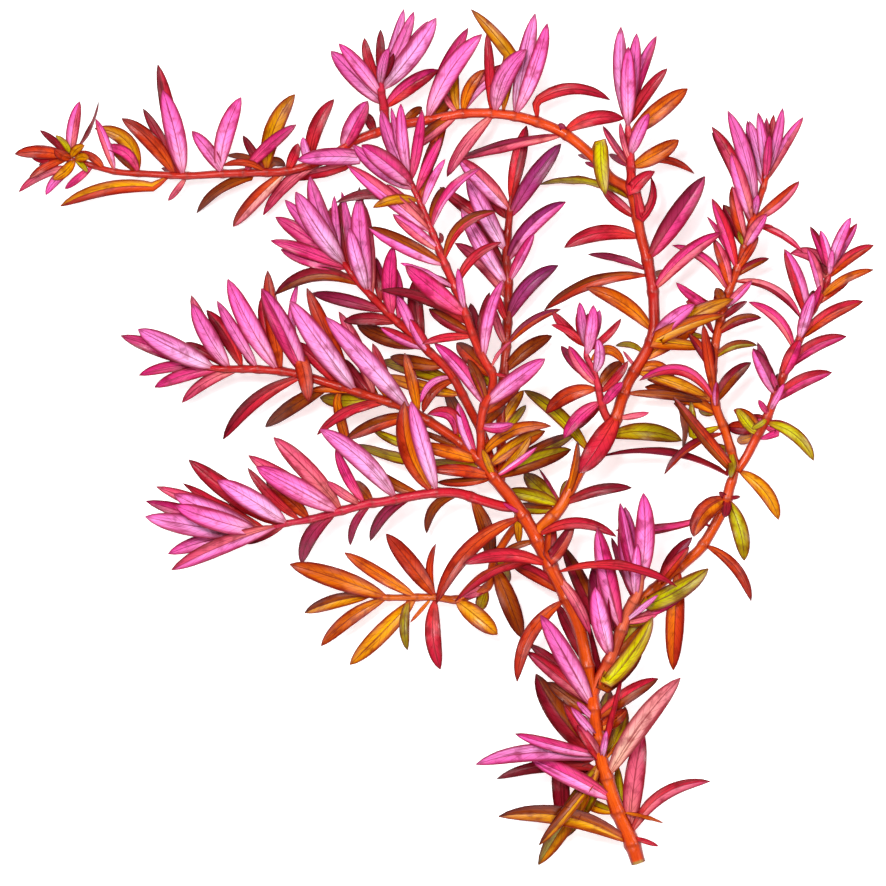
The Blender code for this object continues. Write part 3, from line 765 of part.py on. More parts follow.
class Leaf:
    """One leaf: its row of the table, where it leaves the stem, its lift and its roll."""

    def __init__(self, row, stretch, where, number):
        self.row = row
        self.stretch = stretch
        self.where = where
        self.number = number
        self.lift = row[6]
        self.base = stretch.line[where]
        self.solid = True
        self.hangs = np.linalg.norm(np.array(row[2:4]) - self.base[:2]) > 2.0 + self.base[3] / 2
        _, length = leaf_path(self.base, row, self.lift, 3, self.hangs)
        self.length = length
        seen = row[4] * 1.08
        self.width = min(WIDEST, max(seen, min(0.14 * length, 3.4)))
        self.roll = math.acos(min(1.0, seen / self.width)) * (1 if number % 2 else -1)

    def mesh(self, lift, where, swell):
        """Corner points and faces of the leaf's plain solid, swelled outwards by the given distance."""
        stations = STATIONS if self.length >= SHORT_LEAF else SHORT_STATIONS
        path, _ = leaf_path(self.stretch.line[where], self.row, lift, np.array(stations), self.hangs)
        across, normal = side_vectors(path, self.roll)
        depth = max(0.6, 0.2 * self.width)
        corners = []
        for i, t in enumerate(stations[:-1]):
            half = self.width / 2 * leaf_width(t) + swell
            low = depth * max(0.45, leaf_width(t)) + swell
            corners += [path[i] + across[i] * half + normal[i] * swell, path[i] - across[i] * half + normal[i] * swell,
                        path[i] - normal[i] * low]
        tip = path[-1] + (path[-1] - path[-2]) / np.linalg.norm(path[-1] - path[-2]) * swell
        corners.append(tip)
        faces = [(0, 1, 2)]
        for i in range(len(stations) - 2):
            a, b = 3 * i, 3 * i + 3
            for j in range(3):
                k = (j + 1) % 3
                faces += [(a + j, b + j, b + k), (a + j, b + k, a + k)]
        last = 3 * (len(stations) - 2)
        for j in range(3):
            faces.append((last + j, len(corners) - 1, last + (j + 1) % 3))
        return np.array(corners), faces


def lay_out_stems():
    """Sample every stem and cut it in stretches; trim each branch where it would touch another stem."""
    stretches = []
    lines = {}
    for name, stem in STEMS.items():
        lines[name] = smooth_line(stem["points"], SAMPLE_STEP)
    for name, (line, marks) in lines.items():
        edges = [0] + [marks[c] for c in STEMS[name]["cuts"]] + [len(line) - 1]
        for i in range(len(edges) - 1):
            label = name if len(edges) == 2 else f"{name}_{i + 1}"
            stretches.append(Stretch(label, name, line, edges[i], edges[i + 1]))
    return stretches, lines


def tube(line, first, last, swell, sides, step):
    """Corner points and faces of a closed tube along part of a stem's line."""
    picks = list(range(first, last, step))
    if last - picks[-1] < step * 0.6 and len(picks) > 1:
        picks.pop()
    picks.append(last)
    corners = []
    for i in picks:
        ahead = line[min(i + 1, len(line) - 1), :3] - line[max(i - 1, 0), :3]
        ahead /= np.linalg.norm(ahead)
        across = np.cross(ahead, (0.0, 0.0, 1.0))
        across /= np.linalg.norm(across)
        up = np.cross(across, ahead)
        radius = line[i, 3] / 2 + swell
        for k in range(sides):
            a = 2 * math.pi * (k + 0.5) / sides
            corners.append(line[i, :3] + radius * (across * math.cos(a) + up * math.sin(a)))
    faces = [tuple(range(sides))]
    for n in range(len(picks) - 1):
        for k in range(sides):
            j = (k + 1) % sides
            faces.append((n * sides + k, (n + 1) * sides + k, (n + 1) * sides + j, n * sides + j))
    faces.append(tuple(reversed(range((len(picks) - 1) * sides, len(picks) * sides))))
    return np.array(corners), faces


def trim_stems(stretches):
    """Pull the ends of the stretches back until they clear each other by the joint gap."""
    for one in stretches:
        for other in stretches:
            if other is one:
                continue
            rank_one = list(STEMS).index(one.stem)
            rank_other = list(STEMS).index(other.stem)
            if rank_one < rank_other:
                continue
            if one.stem == other.stem:
                if other.last == one.first:
                    one.first += 1
                continue
            while one.last - one.first > 4:
                point = one.line[one.first]
                near = np.linalg.norm(other.line[other.first:other.last + 1, :3] - point[:3], axis=1)
                reach = other.line[other.first:other.last + 1, 3] / 2 + point[3] / 2 + JOINT_GAP + 0.1
                if np.all(near > reach):
                    break
                one.first += 1


def lay_out_leaves(stretches):
    """Give each leaf its stretch of stem and the point on it where the leaf grows."""
    number = 0
    leaves = []
    for stem, rows in LEAVES.items():
        own = [s for s in stretches if s.stem == stem]
        for row in rows:
            number += 1
            base = np.array(row[2:4])
            best = None
            for s in own:
                low = min(s.first + 2, s.last - 1)
                high = max(s.last - 3, low + 1) if s is not own[-1] else s.last
                span = s.line[low:high + 1]
                gaps = np.linalg.norm(span[:, :2] - base, axis=1)
                at = int(np.argmin(gaps))
                if best is None or gaps[at] < best[0]:
                    best = (gaps[at], s, low + at)
            leaf = Leaf(row, best[1], best[2], number)
            best[1].leaves.append(leaf)
            leaves.append(leaf)
    return leaves


class Crowd:
    """The solids placed so far, with a search tree and a box for each."""

    def __init__(self):
        self.trees = []
        self.lows = np.zeros((0, 3))
        self.highs = np.zeros((0, 3))
        self.owners = []

    def add(self, corners, faces, owner):
        self.trees.append(BVHTree.FromPolygons([Vector(c) for c in corners], faces))
        self.lows = np.vstack([self.lows, corners.min(axis=0)])
        self.highs = np.vstack([self.highs, corners.max(axis=0)])
        self.owners.append(owner)

    def near(self, corners):
        low = corners.min(axis=0)
        high = corners.max(axis=0)
        hit = np.all(self.lows < high, axis=1) & np.all(self.highs > low, axis=1)
        return np.nonzero(hit)[0]


def place_leaves(stretches, leaves):
    """Lift or lower each leaf until it clears the other stretches, and the leaves beside it where it can."""
    stems = Crowd()
    for s in stretches:
        corners, faces = tube(s.line, s.first, s.last, 0.15, 6, 3)
        stems.add(corners, faces, s.name)
    crowd = Crowd()
    for leaf in sorted(leaves, key=lambda item: -item.length * item.width):
        choice = None
        for shift in SHIFT_TRIALS:
            where = int(round(leaf.where + shift / SAMPLE_STEP))
            if not leaf.stretch.first + 2 <= where <= leaf.stretch.last:
                continue
            for change in LIFT_TRIALS:
                lift = leaf.lift + change
                corners, faces = leaf.mesh(lift, where, JOINT_GAP)
                tree = BVHTree.FromPolygons([Vector(c) for c in corners], faces)
                foreign = 0
                for k in stems.near(corners):
                    if stems.owners[k] != leaf.stretch.name and tree.overlap(stems.trees[k]):
                        foreign += 1
                own = 0
                if not foreign:
                    for k in crowd.near(corners):
                        touches = tree.overlap(crowd.trees[k])
                        if touches and crowd.owners[k] != leaf.stretch.name:
                            foreign += 1
                            break
                        if touches and any(t[0] > 6 for t in touches):
                            own += 1
                if foreign:
                    continue
                cost = own * 6 + abs(change) + abs(shift) * 0.7
                if choice is None or cost < choice[0]:
                    choice = (cost, lift, where)
                if own == 0 and abs(change) < 0.1:
                    break
            if choice is not None and choice[0] < 4:
                break
        if choice is None:
            leaf.solid = False
            continue
        leaf.lift = choice[1]
        leaf.where = choice[2]
        leaf.base = leaf.stretch.line[leaf.where]
        corners, faces = leaf.mesh(leaf.lift, leaf.where, 0.0)
        crowd.add(corners, faces, leaf.stretch.name)


TONES = {
    "trunk": (0.62, 0.07, 0.02), "main": (0.60, 0.10, 0.02), "arch": (0.55, 0.05, 0.03), "low": (0.62, 0.16, 0.01),
    "left": (0.55, 0.04, 0.03), "front": (0.62, 0.05, 0.16), "back": (0.40, 0.03, 0.03), "cross": (0.55, 0.04, 0.05),
    "fork": (0.66, 0.08, 0.22), "side": (0.55, 0.12, 0.02), "side_inner": (0.60, 0.06, 0.10),
    "side_outer": (0.62, 0.04, 0.10), "right_tuft": (0.66, 0.08, 0.26), "top_tuft": (0.66, 0.07, 0.28),
    "inner_tuft": (0.60, 0.04, 0.14),
}


def clear_scene():
    """Remove every object that the scene starts with."""
    for item in list(bpy.data.objects):
        bpy.data.objects.remove(item, do_unlink=True)


def colour_of(name):
    """A leaf and stem material in the stretch's main colour."""
    material = bpy.data.materials.new(f"{name}_leaf")
    material.use_nodes = True
    shader = material.node_tree.nodes["Principled BSDF"]
    shader.inputs["Base Color"].default_value = (*TONES[name], 1.0)
    shader.inputs["Roughness"].default_value = 0.42
    shader.inputs["Metallic"].default_value = 0.0
    return material


def mesh_object(name, corners, faces):
    """A mesh object from corner points in millimetres, its faces pointing out."""
    mesh = bpy.data.meshes.new(name)
    mesh.from_pydata([Vector(c) for c in corners], [], faces)
    shape = bmesh.new()
    shape.from_mesh(mesh)
    bmesh.ops.recalc_face_normals(shape, faces=shape.faces)
    if shape.calc_volume(signed=True) < 0:
        bmesh.ops.reverse_faces(shape, faces=shape.faces)
    shape.to_mesh(mesh)
    shape.free()
    item = bpy.data.objects.new(name, mesh)
    bpy.context.scene.collection.objects.link(item)
    return item


def is_one_body(shape):
    """Whether the mesh is one closed body with its faces pointing out."""
    if not shape.faces or any(len(e.link_faces) != 2 for e in shape.edges):
        return False
    if shape.calc_volume(signed=True) <= 0:
        return False
    if any(not v.is_manifold for v in shape.verts):
        return False
    shape.faces.ensure_lookup_table()
    shape.faces.index_update()
    seen = {0}
    queue = [shape.faces[0]]
    while queue:
        face = queue.pop()
        for edge in face.edges:
            for other in edge.link_faces:
                if other.index not in seen:
                    seen.add(other.index)
                    queue.append(other)
    return len(seen) == len(shape.faces)


def connected_faces(shape):
    """The faces of the mesh in groups that hang together by their edges."""
    left = set(shape.faces)
    groups = []
    while left:
        group = [left.pop()]
        queue = list(group)
        while queue:
            for edge in queue.pop().edges:
                for other in edge.link_faces:
                    if other in left:
                        left.discard(other)
                        group.append(other)
                        queue.append(other)
        groups.append(group)
    return groups


def group_volume(group):
    """Signed volume inside a group of triangles."""
    total = 0.0
    for face in group:
        a, b, c = (corner.co for corner in face.verts)
        total += a.dot(b.cross(c)) / 6.0
    return total


def fill_cavities(shape):
    """Remove loose edges, the inner skins of sealed cavities between fused leaves, and loose slivers."""
    bmesh.ops.delete(shape, geom=[e for e in shape.edges if not e.link_faces], context="EDGES")
    bmesh.ops.delete(shape, geom=[v for v in shape.verts if not v.link_faces], context="VERTS")
    groups = connected_faces(shape)
    if len(groups) < 2:
        return
    doomed = [face for group in groups if group_volume(group) < SLIVER for face in group]
    if len(doomed) < len(shape.faces):
        bmesh.ops.delete(shape, geom=doomed, context="FACES")


def crossing_faces(shape):
    """Number of pairs of faces that cut through each other without sharing a corner."""
    shape.faces.ensure_lookup_table()
    tree = BVHTree.FromBMesh(shape, epsilon=0.0)
    count = 0
    for first, second in tree.overlap(tree):
        if first < second and not set(shape.faces[first].verts) & set(shape.faces[second].verts):
            count += 1
    return count


def volume_of(mesh):
    """Volume of a closed mesh in cubic millimetres."""
    shape = bmesh.new()
    shape.from_mesh(mesh)
    volume = shape.calc_volume(signed=True)
    shape.free()
    return volume


def grow(body, leaf, allowed):
    """Fuse one leaf to the body with a Boolean union; keep the body as it was where the union isn't one body."""
    fused = False
    for nudge in NUDGES:
        corners, faces = leaf.mesh(leaf.lift + nudge, leaf.where, 0.0)
        item = mesh_object("leaf", corners, faces)
        fused = any(unite(body, item, solver, allowed) for solver in ("EXACT", "MANIFOLD"))
        bpy.data.objects.remove(item, do_unlink=True)
        if fused:
            break
    return fused


def unite(body, leaf_item, solver, allowed):
    """Unite one leaf with the body by the given solver; tell whether the result is one closed body."""
    before = volume_of(body.data)
    union = body.modifiers.new("leaf", "BOOLEAN")
    union.operation = "UNION"
    union.solver = solver
    union.object = leaf_item
    graph = bpy.context.evaluated_depsgraph_get()
    result = bpy.data.meshes.new_from_object(body.evaluated_get(graph))
    body.modifiers.remove(union)
    for weld in (WELD / 2, WELD, WELD / 5, 0.0):
        shape = bmesh.new()
        shape.from_mesh(result)
        if weld:
            bmesh.ops.remove_doubles(shape, verts=shape.verts, dist=weld)
            bmesh.ops.dissolve_degenerate(shape, edges=shape.edges, dist=weld)
        bmesh.ops.triangulate(shape, faces=shape.faces)
        fill_cavities(shape)
        smallest = min((f.calc_area() for f in shape.faces), default=0.0)
        good = smallest > TINY_FACE and is_one_body(shape) and shape.calc_volume(signed=True) > before
        good = good and crossing_faces(shape) <= allowed
        if good:
            shape.to_mesh(result)
            body.data = result
        shape.free()
        if good:
            return True
    return False


def simplify(body):
    """Join the coplanar pieces that the unions left, and cut every face in triangles."""
    before = volume_of(body.data)
    shape = bmesh.new()
    shape.from_mesh(body.data)
    crossings = crossing_faces(shape)
    shape.free()
    for angle, weld in ((FLAT_ANGLE, WELD), (FLAT_ANGLE / 2, WELD / 2), (FLAT_ANGLE / 6, WELD / 2),
                        (FLAT_ANGLE / 30, WELD / 2), (0.0, WELD / 2), (0.0, 0.0)):
        shape = bmesh.new()
        shape.from_mesh(body.data)
        if angle:
            bmesh.ops.dissolve_limit(shape, angle_limit=angle, verts=shape.verts, edges=shape.edges)
        bmesh.ops.triangulate(shape, faces=shape.faces)
        if weld:
            bmesh.ops.remove_doubles(shape, verts=shape.verts, dist=weld)
            bmesh.ops.dissolve_degenerate(shape, edges=shape.edges, dist=weld)
            bmesh.ops.triangulate(shape, faces=shape.faces)
        smallest = min((f.calc_area() for f in shape.faces), default=0.0)
        good = is_one_body(shape) and abs(shape.calc_volume(signed=True) - before) < 0.02 * before
        good = good and (crossing_faces(shape) <= crossings or not weld)
        if good and (smallest > TINY_FACE or weld == 0.0):
            shape.to_mesh(body.data)
            if angle != FLAT_ANGLE:
                print("simplified by", angle, weld, body.name, "smallest face", smallest)
            shape.free()
            return
        shape.free()
    print("not simplified", body.name)


def build():
    """Build every stretch, fuse its leaves, and bring the plant to its origin."""
    clear_scene()
    stretches, _ = lay_out_stems()
    trim_stems(stretches)
    leaves = lay_out_leaves(stretches)
    place_leaves(stretches, leaves)
    bodies = []
    left_out = 0
    materials = {}
    for s in stretches:
        corners, faces = tube(s.line, s.first, s.last, 0.0, STEM_SIDES, STEM_STATION)
        body = mesh_object(s.name, corners, faces)
        waiting = []
        for leaf in s.leaves:
            small = leaf.length < SMALLEST_LENGTH or leaf.row[4] < SMALLEST_WIDTH
            if small or not leaf.solid:
                left_out += 1
                if not small:
                    print("no clear place", s.name, leaf.row[:4])
                continue
            if not grow(body, leaf, 0):
                waiting.append(leaf)
        for leaf in waiting:
            if not grow(body, leaf, MOST_CROSSINGS):
                left_out += 1
                print("not fused", s.name, leaf.row[:4])
            else:
                print("fused late", s.name, leaf.row[:4])
        simplify(body)
        if s.stem not in materials:
            materials[s.stem] = colour_of(s.stem)
        body.data.materials.clear()
        body.data.materials.append(materials[s.stem])
        bodies.append(body)
    low = np.min([np.min([v.co for v in b.data.vertices], axis=0) for b in bodies], axis=0)
    high = np.max([np.max([v.co for v in b.data.vertices], axis=0) for b in bodies], axis=0)
    origin = Vector(((low[0] + high[0]) / 2, (low[1] + high[1]) / 2, low[2]))
    for body in bodies:
        for corner in body.data.vertices:
            corner.co = (corner.co - origin) * MM
        body.data.update()
    total = sum(len(b.data.polygons) for b in bodies)
    print("origin at", [round(v, 3) for v in origin], "size", [round(v, 2) for v in high - low])
    print("bodies", len(bodies), "triangles", total, "leaves", len(leaves), "left out", left_out)


build()
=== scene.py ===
"""Red rotala cutting lying on a pale sheet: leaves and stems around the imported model.

The leaf table and the stem routes repeat the part's own layout in millimetres, so every leaf and every
stretch of stem lies where its solid does. Two Geometry Nodes trees make the surfaces: one turns a leaf's
middle line into a folded blade, the other turns a stem's line into a ringed stem.
"""

import logging
import math
from dataclasses import dataclass
from enum import Enum

import bmesh
import bpy
import numpy as np
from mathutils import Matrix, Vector
from mathutils.bvhtree import BVHTree


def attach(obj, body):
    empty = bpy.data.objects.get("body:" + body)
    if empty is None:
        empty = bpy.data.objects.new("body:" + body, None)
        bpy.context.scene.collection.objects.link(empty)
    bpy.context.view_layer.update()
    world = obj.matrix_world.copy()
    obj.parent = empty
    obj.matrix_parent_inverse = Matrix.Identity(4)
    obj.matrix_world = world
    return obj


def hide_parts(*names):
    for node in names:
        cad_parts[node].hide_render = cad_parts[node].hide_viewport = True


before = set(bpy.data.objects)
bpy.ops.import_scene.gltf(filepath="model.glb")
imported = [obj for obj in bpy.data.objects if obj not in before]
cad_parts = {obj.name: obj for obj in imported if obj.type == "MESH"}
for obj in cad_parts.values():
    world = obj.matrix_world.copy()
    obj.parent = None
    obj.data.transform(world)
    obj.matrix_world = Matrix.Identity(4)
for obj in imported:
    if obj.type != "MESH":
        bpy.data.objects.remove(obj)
LOG = logging.getLogger("rotala")

MM = 0.001
ORIGIN = (0.3, 1.299, 0.7)
FRAME_WIDTH = 221.5             # width of the photograph's frame at the plant's middle height
VIEW_HEIGHT = 12.0              # height at which the frame has that width
CAMERA_HEIGHT = 6000.0
SENSOR = 36.0
BLADE_POINTS = 17               # points along a leaf's middle line
BLADE_SIDES = 14                # points around a leaf's cross-section
STEM_SIDES = 14                 # points around a stem
STEM_SPACING = 0.5              # distance between the rings of a stem
BLADE_THICKNESS = 0.055         # half thickness as a share of the half width
PROFILE_RADIUS = 0.0001         # radius in metres of the circle that each cross-section starts as
RING_SWELL = 0.16               # how much a stem swells where leaves grow
RING_REACH = 0.9                # how far along the stem that swelling reaches
RING_LINE = 0.42                # how far along the stem the ring's dark line reaches

# One row per leaf: tip x, tip y, base x, base y, width, bow, lift, tone
# A tone of two words colours the blade's left and right halves apart: partly the leaf's own two colours and
# partly painted shade on the half that lies in shadow
LEAVES = {
    "trunk": [
        (24.4, -43.0, 37.0, -66.5, 4.8, -0.3, 9, "pink"),
        (20.8, -52.0, 36.6, -66.0, 3.4, -0.3, 3, "rose|ruby"),
        (21.5, -50.2, 36.0, -64.5, 3.0, -0.5, -3, "wine"),
        (23.3, -57.8, 37.8, -79.3, 6.0, 1.6, -2, "wine|brown"),
        (26.2, -59.8, 36.5, -69.0, 3.4, 0.0, -4, "brown"),
        (30.2, -65.2, 38.2, -79.8, 3.6, -0.3, 1, "ruby|rust"),
        (32.0, -66.0, 38.3, -74.2, 2.1, 0.0, 6, "lilac|pink"),
        (33.4, -64.6, 37.0, -70.0, 1.6, 0.0, 4, "pink"),
        (8.2, -80.3, 37.9, -79.3, 4.2, -2.5, 9, "pink|lilac"),
        (18.0, -72.6, 37.5, -79.0, 3.0, 0.4, 6, "pink|magenta"),
        (13.5, -84.0, 38.5, -83.0, 3.0, -2.2, 2, "wine"),
        (21.5, -78.6, 41.8, -90.3, 4.4, -0.5, 7, "pink|magenta"),
        (31.0, -98.6, 29.4, -80.8, 4.2, -0.5, -4, "wine"),
        (23.9, -105.6, 37.5, -80.0, 4.8, 0.2, -4, "amber|olive"),
        (24.0, -100.6, 38.0, -82.0, 2.8, 0.3, -6, "amber|brown"),
        (13.9, -93.4, 46.0, -100.8, 4.6, -3.5, 5, "amber|brown"),
        (33.5, -88.2, 43.3, -92.2, 3.0, 0.8, -5, "amber|olive"),
        (55.2, -95.1, 43.8, -91.8, 1.0, 0.3, 2, "orange"),
        (66.8, -84.6, 47.6, -98.2, 3.2, 4.0, 6, "ruby|rose"),
        (50.0, -72.0, 48.4, -98.3, 4.8, 0.6, 3, "rose"),
        (59.3, -58.7, 42.0, -84.0, 5.0, 1.2, 8, "blush"),
        (43.6, -80.5, 45.8, -93.5, 2.2, 0.0, -3, "olive|yellow"),
        (40.9, -71.8, 41.2, -79.3, 1.7, 0.0, 7, "pink|lilac"),
        (40.4, -69.5, 40.8, -79.0, 1.3, 0.2, -2, "plum"),
        (31.5, -78.0, 40.2, -87.0, 3.4, 0.0, 1, "wine|ruby"),
        (33.5, -70.5, 38.9, -80.5, 3.0, -0.3, 3, "ruby|rose"),
        (34.5, -68.0, 38.3, -78.0, 2.6, -0.4, -3, "brown|amber"),
        (53.9, -100.9, 48.2, -98.0, 1.3, 0.2, 2, "ruby"),
        (45.2, -73.0, 41.2, -79.4, 0.8, 0.0, 3, "orange"),
        (45.8, -66.5, 39.0, -71.5, 3.6, -0.6, 3, "rust|orange"),
        (53.8, -58.9, 39.6, -69.5, 3.8, 0.9, 2, "ruby|brown"),
        (44.8, -58.0, 40.2, -79.0, 1.4, -0.4, 3, "ruby"),
        (45.6, -66.0, 40.6, -78.8, 3.4, -1.2, -4, "olive"),
        (41.8, -61.8, 38.9, -74.0, 3.4, 0.0, -6, "olive|brown"),
        (30.0, -99.0, 37.8, -84.0, 4.4, -0.5, -4, "olive|brown"),
    ],
    "main": [
        (3.8, 10.0, 8.7, -3.2, 2.9, 0.6, 6, "lilac|magenta"),
        (27.0, 4.2, 9.4, -4.0, 3.0, 3.0, 5, "orange"),
        (9.8, -1.5, 12.8, -8.2, 1.9, 0.0, 0, "amber"),
        (22.0, 1.8, 13.4, -8.0, 2.5, -0.8, 0, "amber"),
        (-6.5, -0.5, 9.8, -5.2, 3.3, -0.3, 2, "orange"),
        (-3.2, -6.8, 14.2, -10.6, 3.0, -0.8, 2, "rust"),
        (-4.0, -4.6, 10.4, -6.0, 2.4, 0.3, -5, "olive"),
        (-6.0, 3.4, 6.0, -1.5, 1.6, 0.4, -3, "brown"),
        (-3.9, 7.2, 3.2, 0.9, 3.2, -3.8, 4, "magenta|ruby"),
        (7.0, 3.4, 3.4, 1.0, 1.7, 0.4, -2, "yellow"),
        (3.6, 5.6, 5.0, -0.6, 2.2, 0.3, -5, "amber"),
        (0.4, 13.8, 7.5, -2.4, 3.3, -0.3, -6, "brown"),
        (-1.7, -40.2, 19.6, -18.5, 3.8, -3.8, 6, "rust"),
        (15.0, -14.9, 19.0, -17.5, 1.0, 0.2, 6, "magenta"),
        (14.5, -27.6, 23.5, -24.2, 1.7, -0.5, -1, "brown"),
        (19.0, -25.3, 19.0, -17.5, 2.1, 0.0, -4, "amber"),
        (3.0, -39.6, 26.0, -29.6, 2.4, -3.4, 1, "ruby|rust"),
        (5.0, -30.3, 26.8, -31.2, 3.4, -2.6, 6, "ruby"),
        (18.5, -59.6, 30.8, -38.8, 3.4, -3.3, 5, "rust"),
        (23.5, -1.0, 15.2, -9.8, 1.6, -0.3, 2, "lilac|magenta"),
        (32.0, -1.6, 15.6, -9.6, 4.2, 0.4, -2, "olive|brown"),
        (28.4, -40.2, 36.2, -59.0, 3.2, -0.3, -4, "wine"),
        (58.3, -35.8, 28.6, -31.8, 2.3, 3.4, 7, "ruby"),
        (43.3, -23.4, 23.4, -22.6, 2.8, 3.5, 6, "ruby"),
        (36.8, -47.8, 28.2, -32.6, 2.7, 1.0, 3, "rose"),
        (-55.0, 0.9, -36.5, 15.6, 3.4, -2.7, -4, "ruby|wine"),
        (-44.5, 4.0, -27.5, 14.4, 3.6, -0.8, -6, "brown"),
        (-30.8, 11.4, -17.5, 11.4, 3.9, 0.8, -4, "olive"),
        (-31.5, 2.0, -10.6, 8.8, 2.6, -2.5, -1, "ruby"),
        (-24.3, 0.8, -6.2, 6.8, 3.4, -1.2, 1, "rust|brown"),
        (-23.2, -1.5, -26.5, 10.5, 2.6, -0.4, -3, "orange"),
        (-80.5, 26.8, -59.0, 19.0, 3.7, -0.2, 1, "magenta"),
        (-76.1, 28.4, -57.5, 18.9, 5.2, 0.3, 9, "lilac"),
        (-76.0, 16.9, -59.0, 19.0, 2.7, -1.2, -2, "magenta"),
        (-72.1, 13.9, -55.0, 18.4, 3.2, -1.0, -1, "magenta"),
        (-65.3, 10.1, -50.5, 18.0, 2.8, -1.6, -4, "rose"),
        (-62.6, 34.8, -53.0, 18.8, 4.3, 0.6, 7, "pink"),
        (-62.9, 36.9, -54.0, 19.0, 3.2, 0.6, 3, "rose"),
        (-59.1, 33.2, -50.5, 18.8, 3.5, -0.9, 0, "wine|ruby"),
        (-64.2, 25.2, -53.5, 18.8, 2.3, -0.4, -2, "wine"),
        (-56.4, 35.5, -45.7, 18.5, 3.0, 0.2, 4, "pink"),
        (-53.7, 40.9, -41.5, 18.3, 4.8, 0.7, 9, "pink"),
        (-50.0, 22.8, -46.0, 18.6, 1.8, 0.0, -2, "wine"),
        (-45.4, 36.5, -40.0, 18.3, 3.4, 0.8, 2, "ruby"),
        (-45.3, 38.6, -37.3, 17.6, 5.0, -0.3, 9, "magenta|pink"),
        (-43.8, 43.1, -38.0, 17.8, 3.7, 0.5, 4, "rust"),
        (-36.1, 40.2, -37.0, 17.5, 2.1, 2.2, 3, "pink"),
        (-38.2, 35.5, -21.8, 13.0, 5.3, 0.3, 10, "lilac"),
        (-34.0, 38.7, -22.5, 13.5, 3.8, 0.2, 4, "rust"),
        (-29.2, 31.4, -10.4, 8.8, 4.9, 0.0, 10, "lilac"),
        (-26.0, 32.8, -16.5, 11.3, 3.3, -0.8, 3, "rose"),
        (-17.6, 24.9, -11.0, 9.5, 2.7, -0.3, 3, "ruby"),
        (-22.4, 27.0, -13.0, 10.3, 2.7, 0.2, -2, "orange"),
        (-24.5, 21.0, -16.8, 11.5, 2.7, 0.6, -3, "wine"),
        (-23.0, 18.0, -15.5, 11.0, 2.5, -0.4, -4, "brown"),
        (-36.8, 25.3, -26.0, 14.2, 3.3, -0.5, -1, "ruby"),
        (-33.6, 10.3, -35.6, 21.2, 3.8, 0.3, 5, "rust"),
        (-33.5, 13.0, -20.5, 12.3, 1.5, -0.4, -2, "orange"),
        (-21.2, -0.3, -9.5, -3.8, 2.8, 0.4, -6, "olive"),
        (-17.6, 3.4, -10.5, 0.0, 2.4, 0.2, -6, "olive|yellow"),
        (-1.5, -9.8, 14.0, -11.2, 2.2, 0.5, -3, "rust|brown"),
        (-9.6, 22.5, -4.8, 8.6, 2.8, -0.3, 1, "orange"),
        (33.0, 2.2, 15.5, -9.5, 3.6, 0.6, -3, "brown|olive"),
        (25.5, 3.0, 12.5, -4.5, 3.6, 0.8, -1, "amber|orange"),
        (17.0, -30.2, 29.8, -38.6, 3.4, -0.8, -4, "rust|ruby"),
    ],
    "arch": [
        (32.8, -19.5, 26.8, -29.2, 3.6, -0.4, 1, "wine|rust"),
        (25.2, -25.4, 28.3, -18.3, 1.9, 0.3, 2, "yellow"),
        (47.2, -11.2, 29.5, -15.5, 2.8, 1.5, 2, "wine"),
        (15.5, -12.2, 28.2, -15.0, 3.4, -0.7, -2, "yellow|olive"),
        (17.5, -16.0, 28.0, -15.4, 2.8, 0.0, -5, "olive|brown"),
        (20.3, -7.6, 28.0, -14.4, 4.2, 0.2, -6, "olive"),
        (24.0, -6.4, 27.6, -14.0, 0.9, 0.0, -2, "plum"),
        (31.0, -9.3, 28.2, -14.6, 2.2, 0.0, -5, "olive"),
        (33.6, 0.5, 29.8, -15.2, 2.0, -0.8, 2, "orange|brown"),
        (72.5, 36.0, 52.6, 25.4, 4.0, 0.8, 3, "amber"),
        (64.0, 29.5, 51.0, 19.5, 3.4, 0.2, -2, "orange"),
        (66.0, 11.5, 50.0, 15.9, 2.9, 0.8, 0, "amber"),
        (65.5, 10.3, 48.0, 13.8, 2.3, 0.8, -4, "brown"),
        (59.8, 0.6, 42.8, 2.8, 4.2, 1.9, -4, "olive"),
        (20.3, 13.2, 36.5, -2.5, 3.4, -1.6, -6, "yellow|olive"),
        (30.3, 48.8, 49.5, 51.0, 3.8, -2.6, 2, "ruby"),
        (36.3, 47.2, 51.4, 42.8, 1.9, -0.9, -4, "plum"),
        (25.3, 33.2, 51.9, 41.6, 3.0, -3.2, -3, "rust|brown"),
        (35.8, 38.8, 51.6, 28.2, 3.8, -1.9, 1, "orange"),
        (65.4, 66.6, 52.6, 46.0, 5.0, 0.0, 5, "plum|magenta"),
        (69.7, 52.6, 53.2, 36.0, 3.6, 1.6, 4, "magenta|rose"),
        (56.2, 42.9, 52.4, 41.6, 1.7, 0.0, -4, "brown"),
        (62.8, 34.6, 52.0, 25.8, 3.7, 0.6, 6, "pink"),
        (43.2, 24.3, 50.5, 22.3, 1.6, -1.3, -4, "olive"),
        (45.0, 23.0, 48.0, 18.5, 0.9, 0.0, 0, "rose"),
        (58.3, 14.9, 47.6, 15.6, 2.5, 3.9, 0, "orange"),
        (51.5, 7.6, 43.4, 3.4, 1.6, -0.2, 2, "rose"),
        (3.4, 94.5, 4.2, 83.5, 2.4, 0.9, -3, "amber"),
        (0.0, 89.0, 4.4, 82.8, 1.4, 0.8, 2, "rose"),
        (10.4, 93.3, 4.6, 83.2, 2.8, 1.3, 2, "orange"),
        (22.0, 93.8, 4.9, 83.2, 3.5, 3.8, 5, "rose|pink"),
        (11.0, 102.6, 12.4, 83.3, 2.5, -0.2, 3, "ruby"),
        (7.0, 108.3, 16.8, 97.0, 3.4, -0.3, 3, "amber"),
        (20.8, 98.2, 12.9, 83.0, 4.7, 1.9, 9, "pink"),
        (23.0, 107.2, 20.4, 82.0, 4.0, 0.2, 6, "lilac"),
        (26.0, 104.7, 20.8, 82.0, 3.8, -0.9, 10, "pink"),
        (23.4, 100.3, 21.0, 82.5, 2.2, -0.2, 2, "wine"),
        (41.7, 85.7, 23.3, 85.2, 2.9, 2.9, 2, "ruby"),
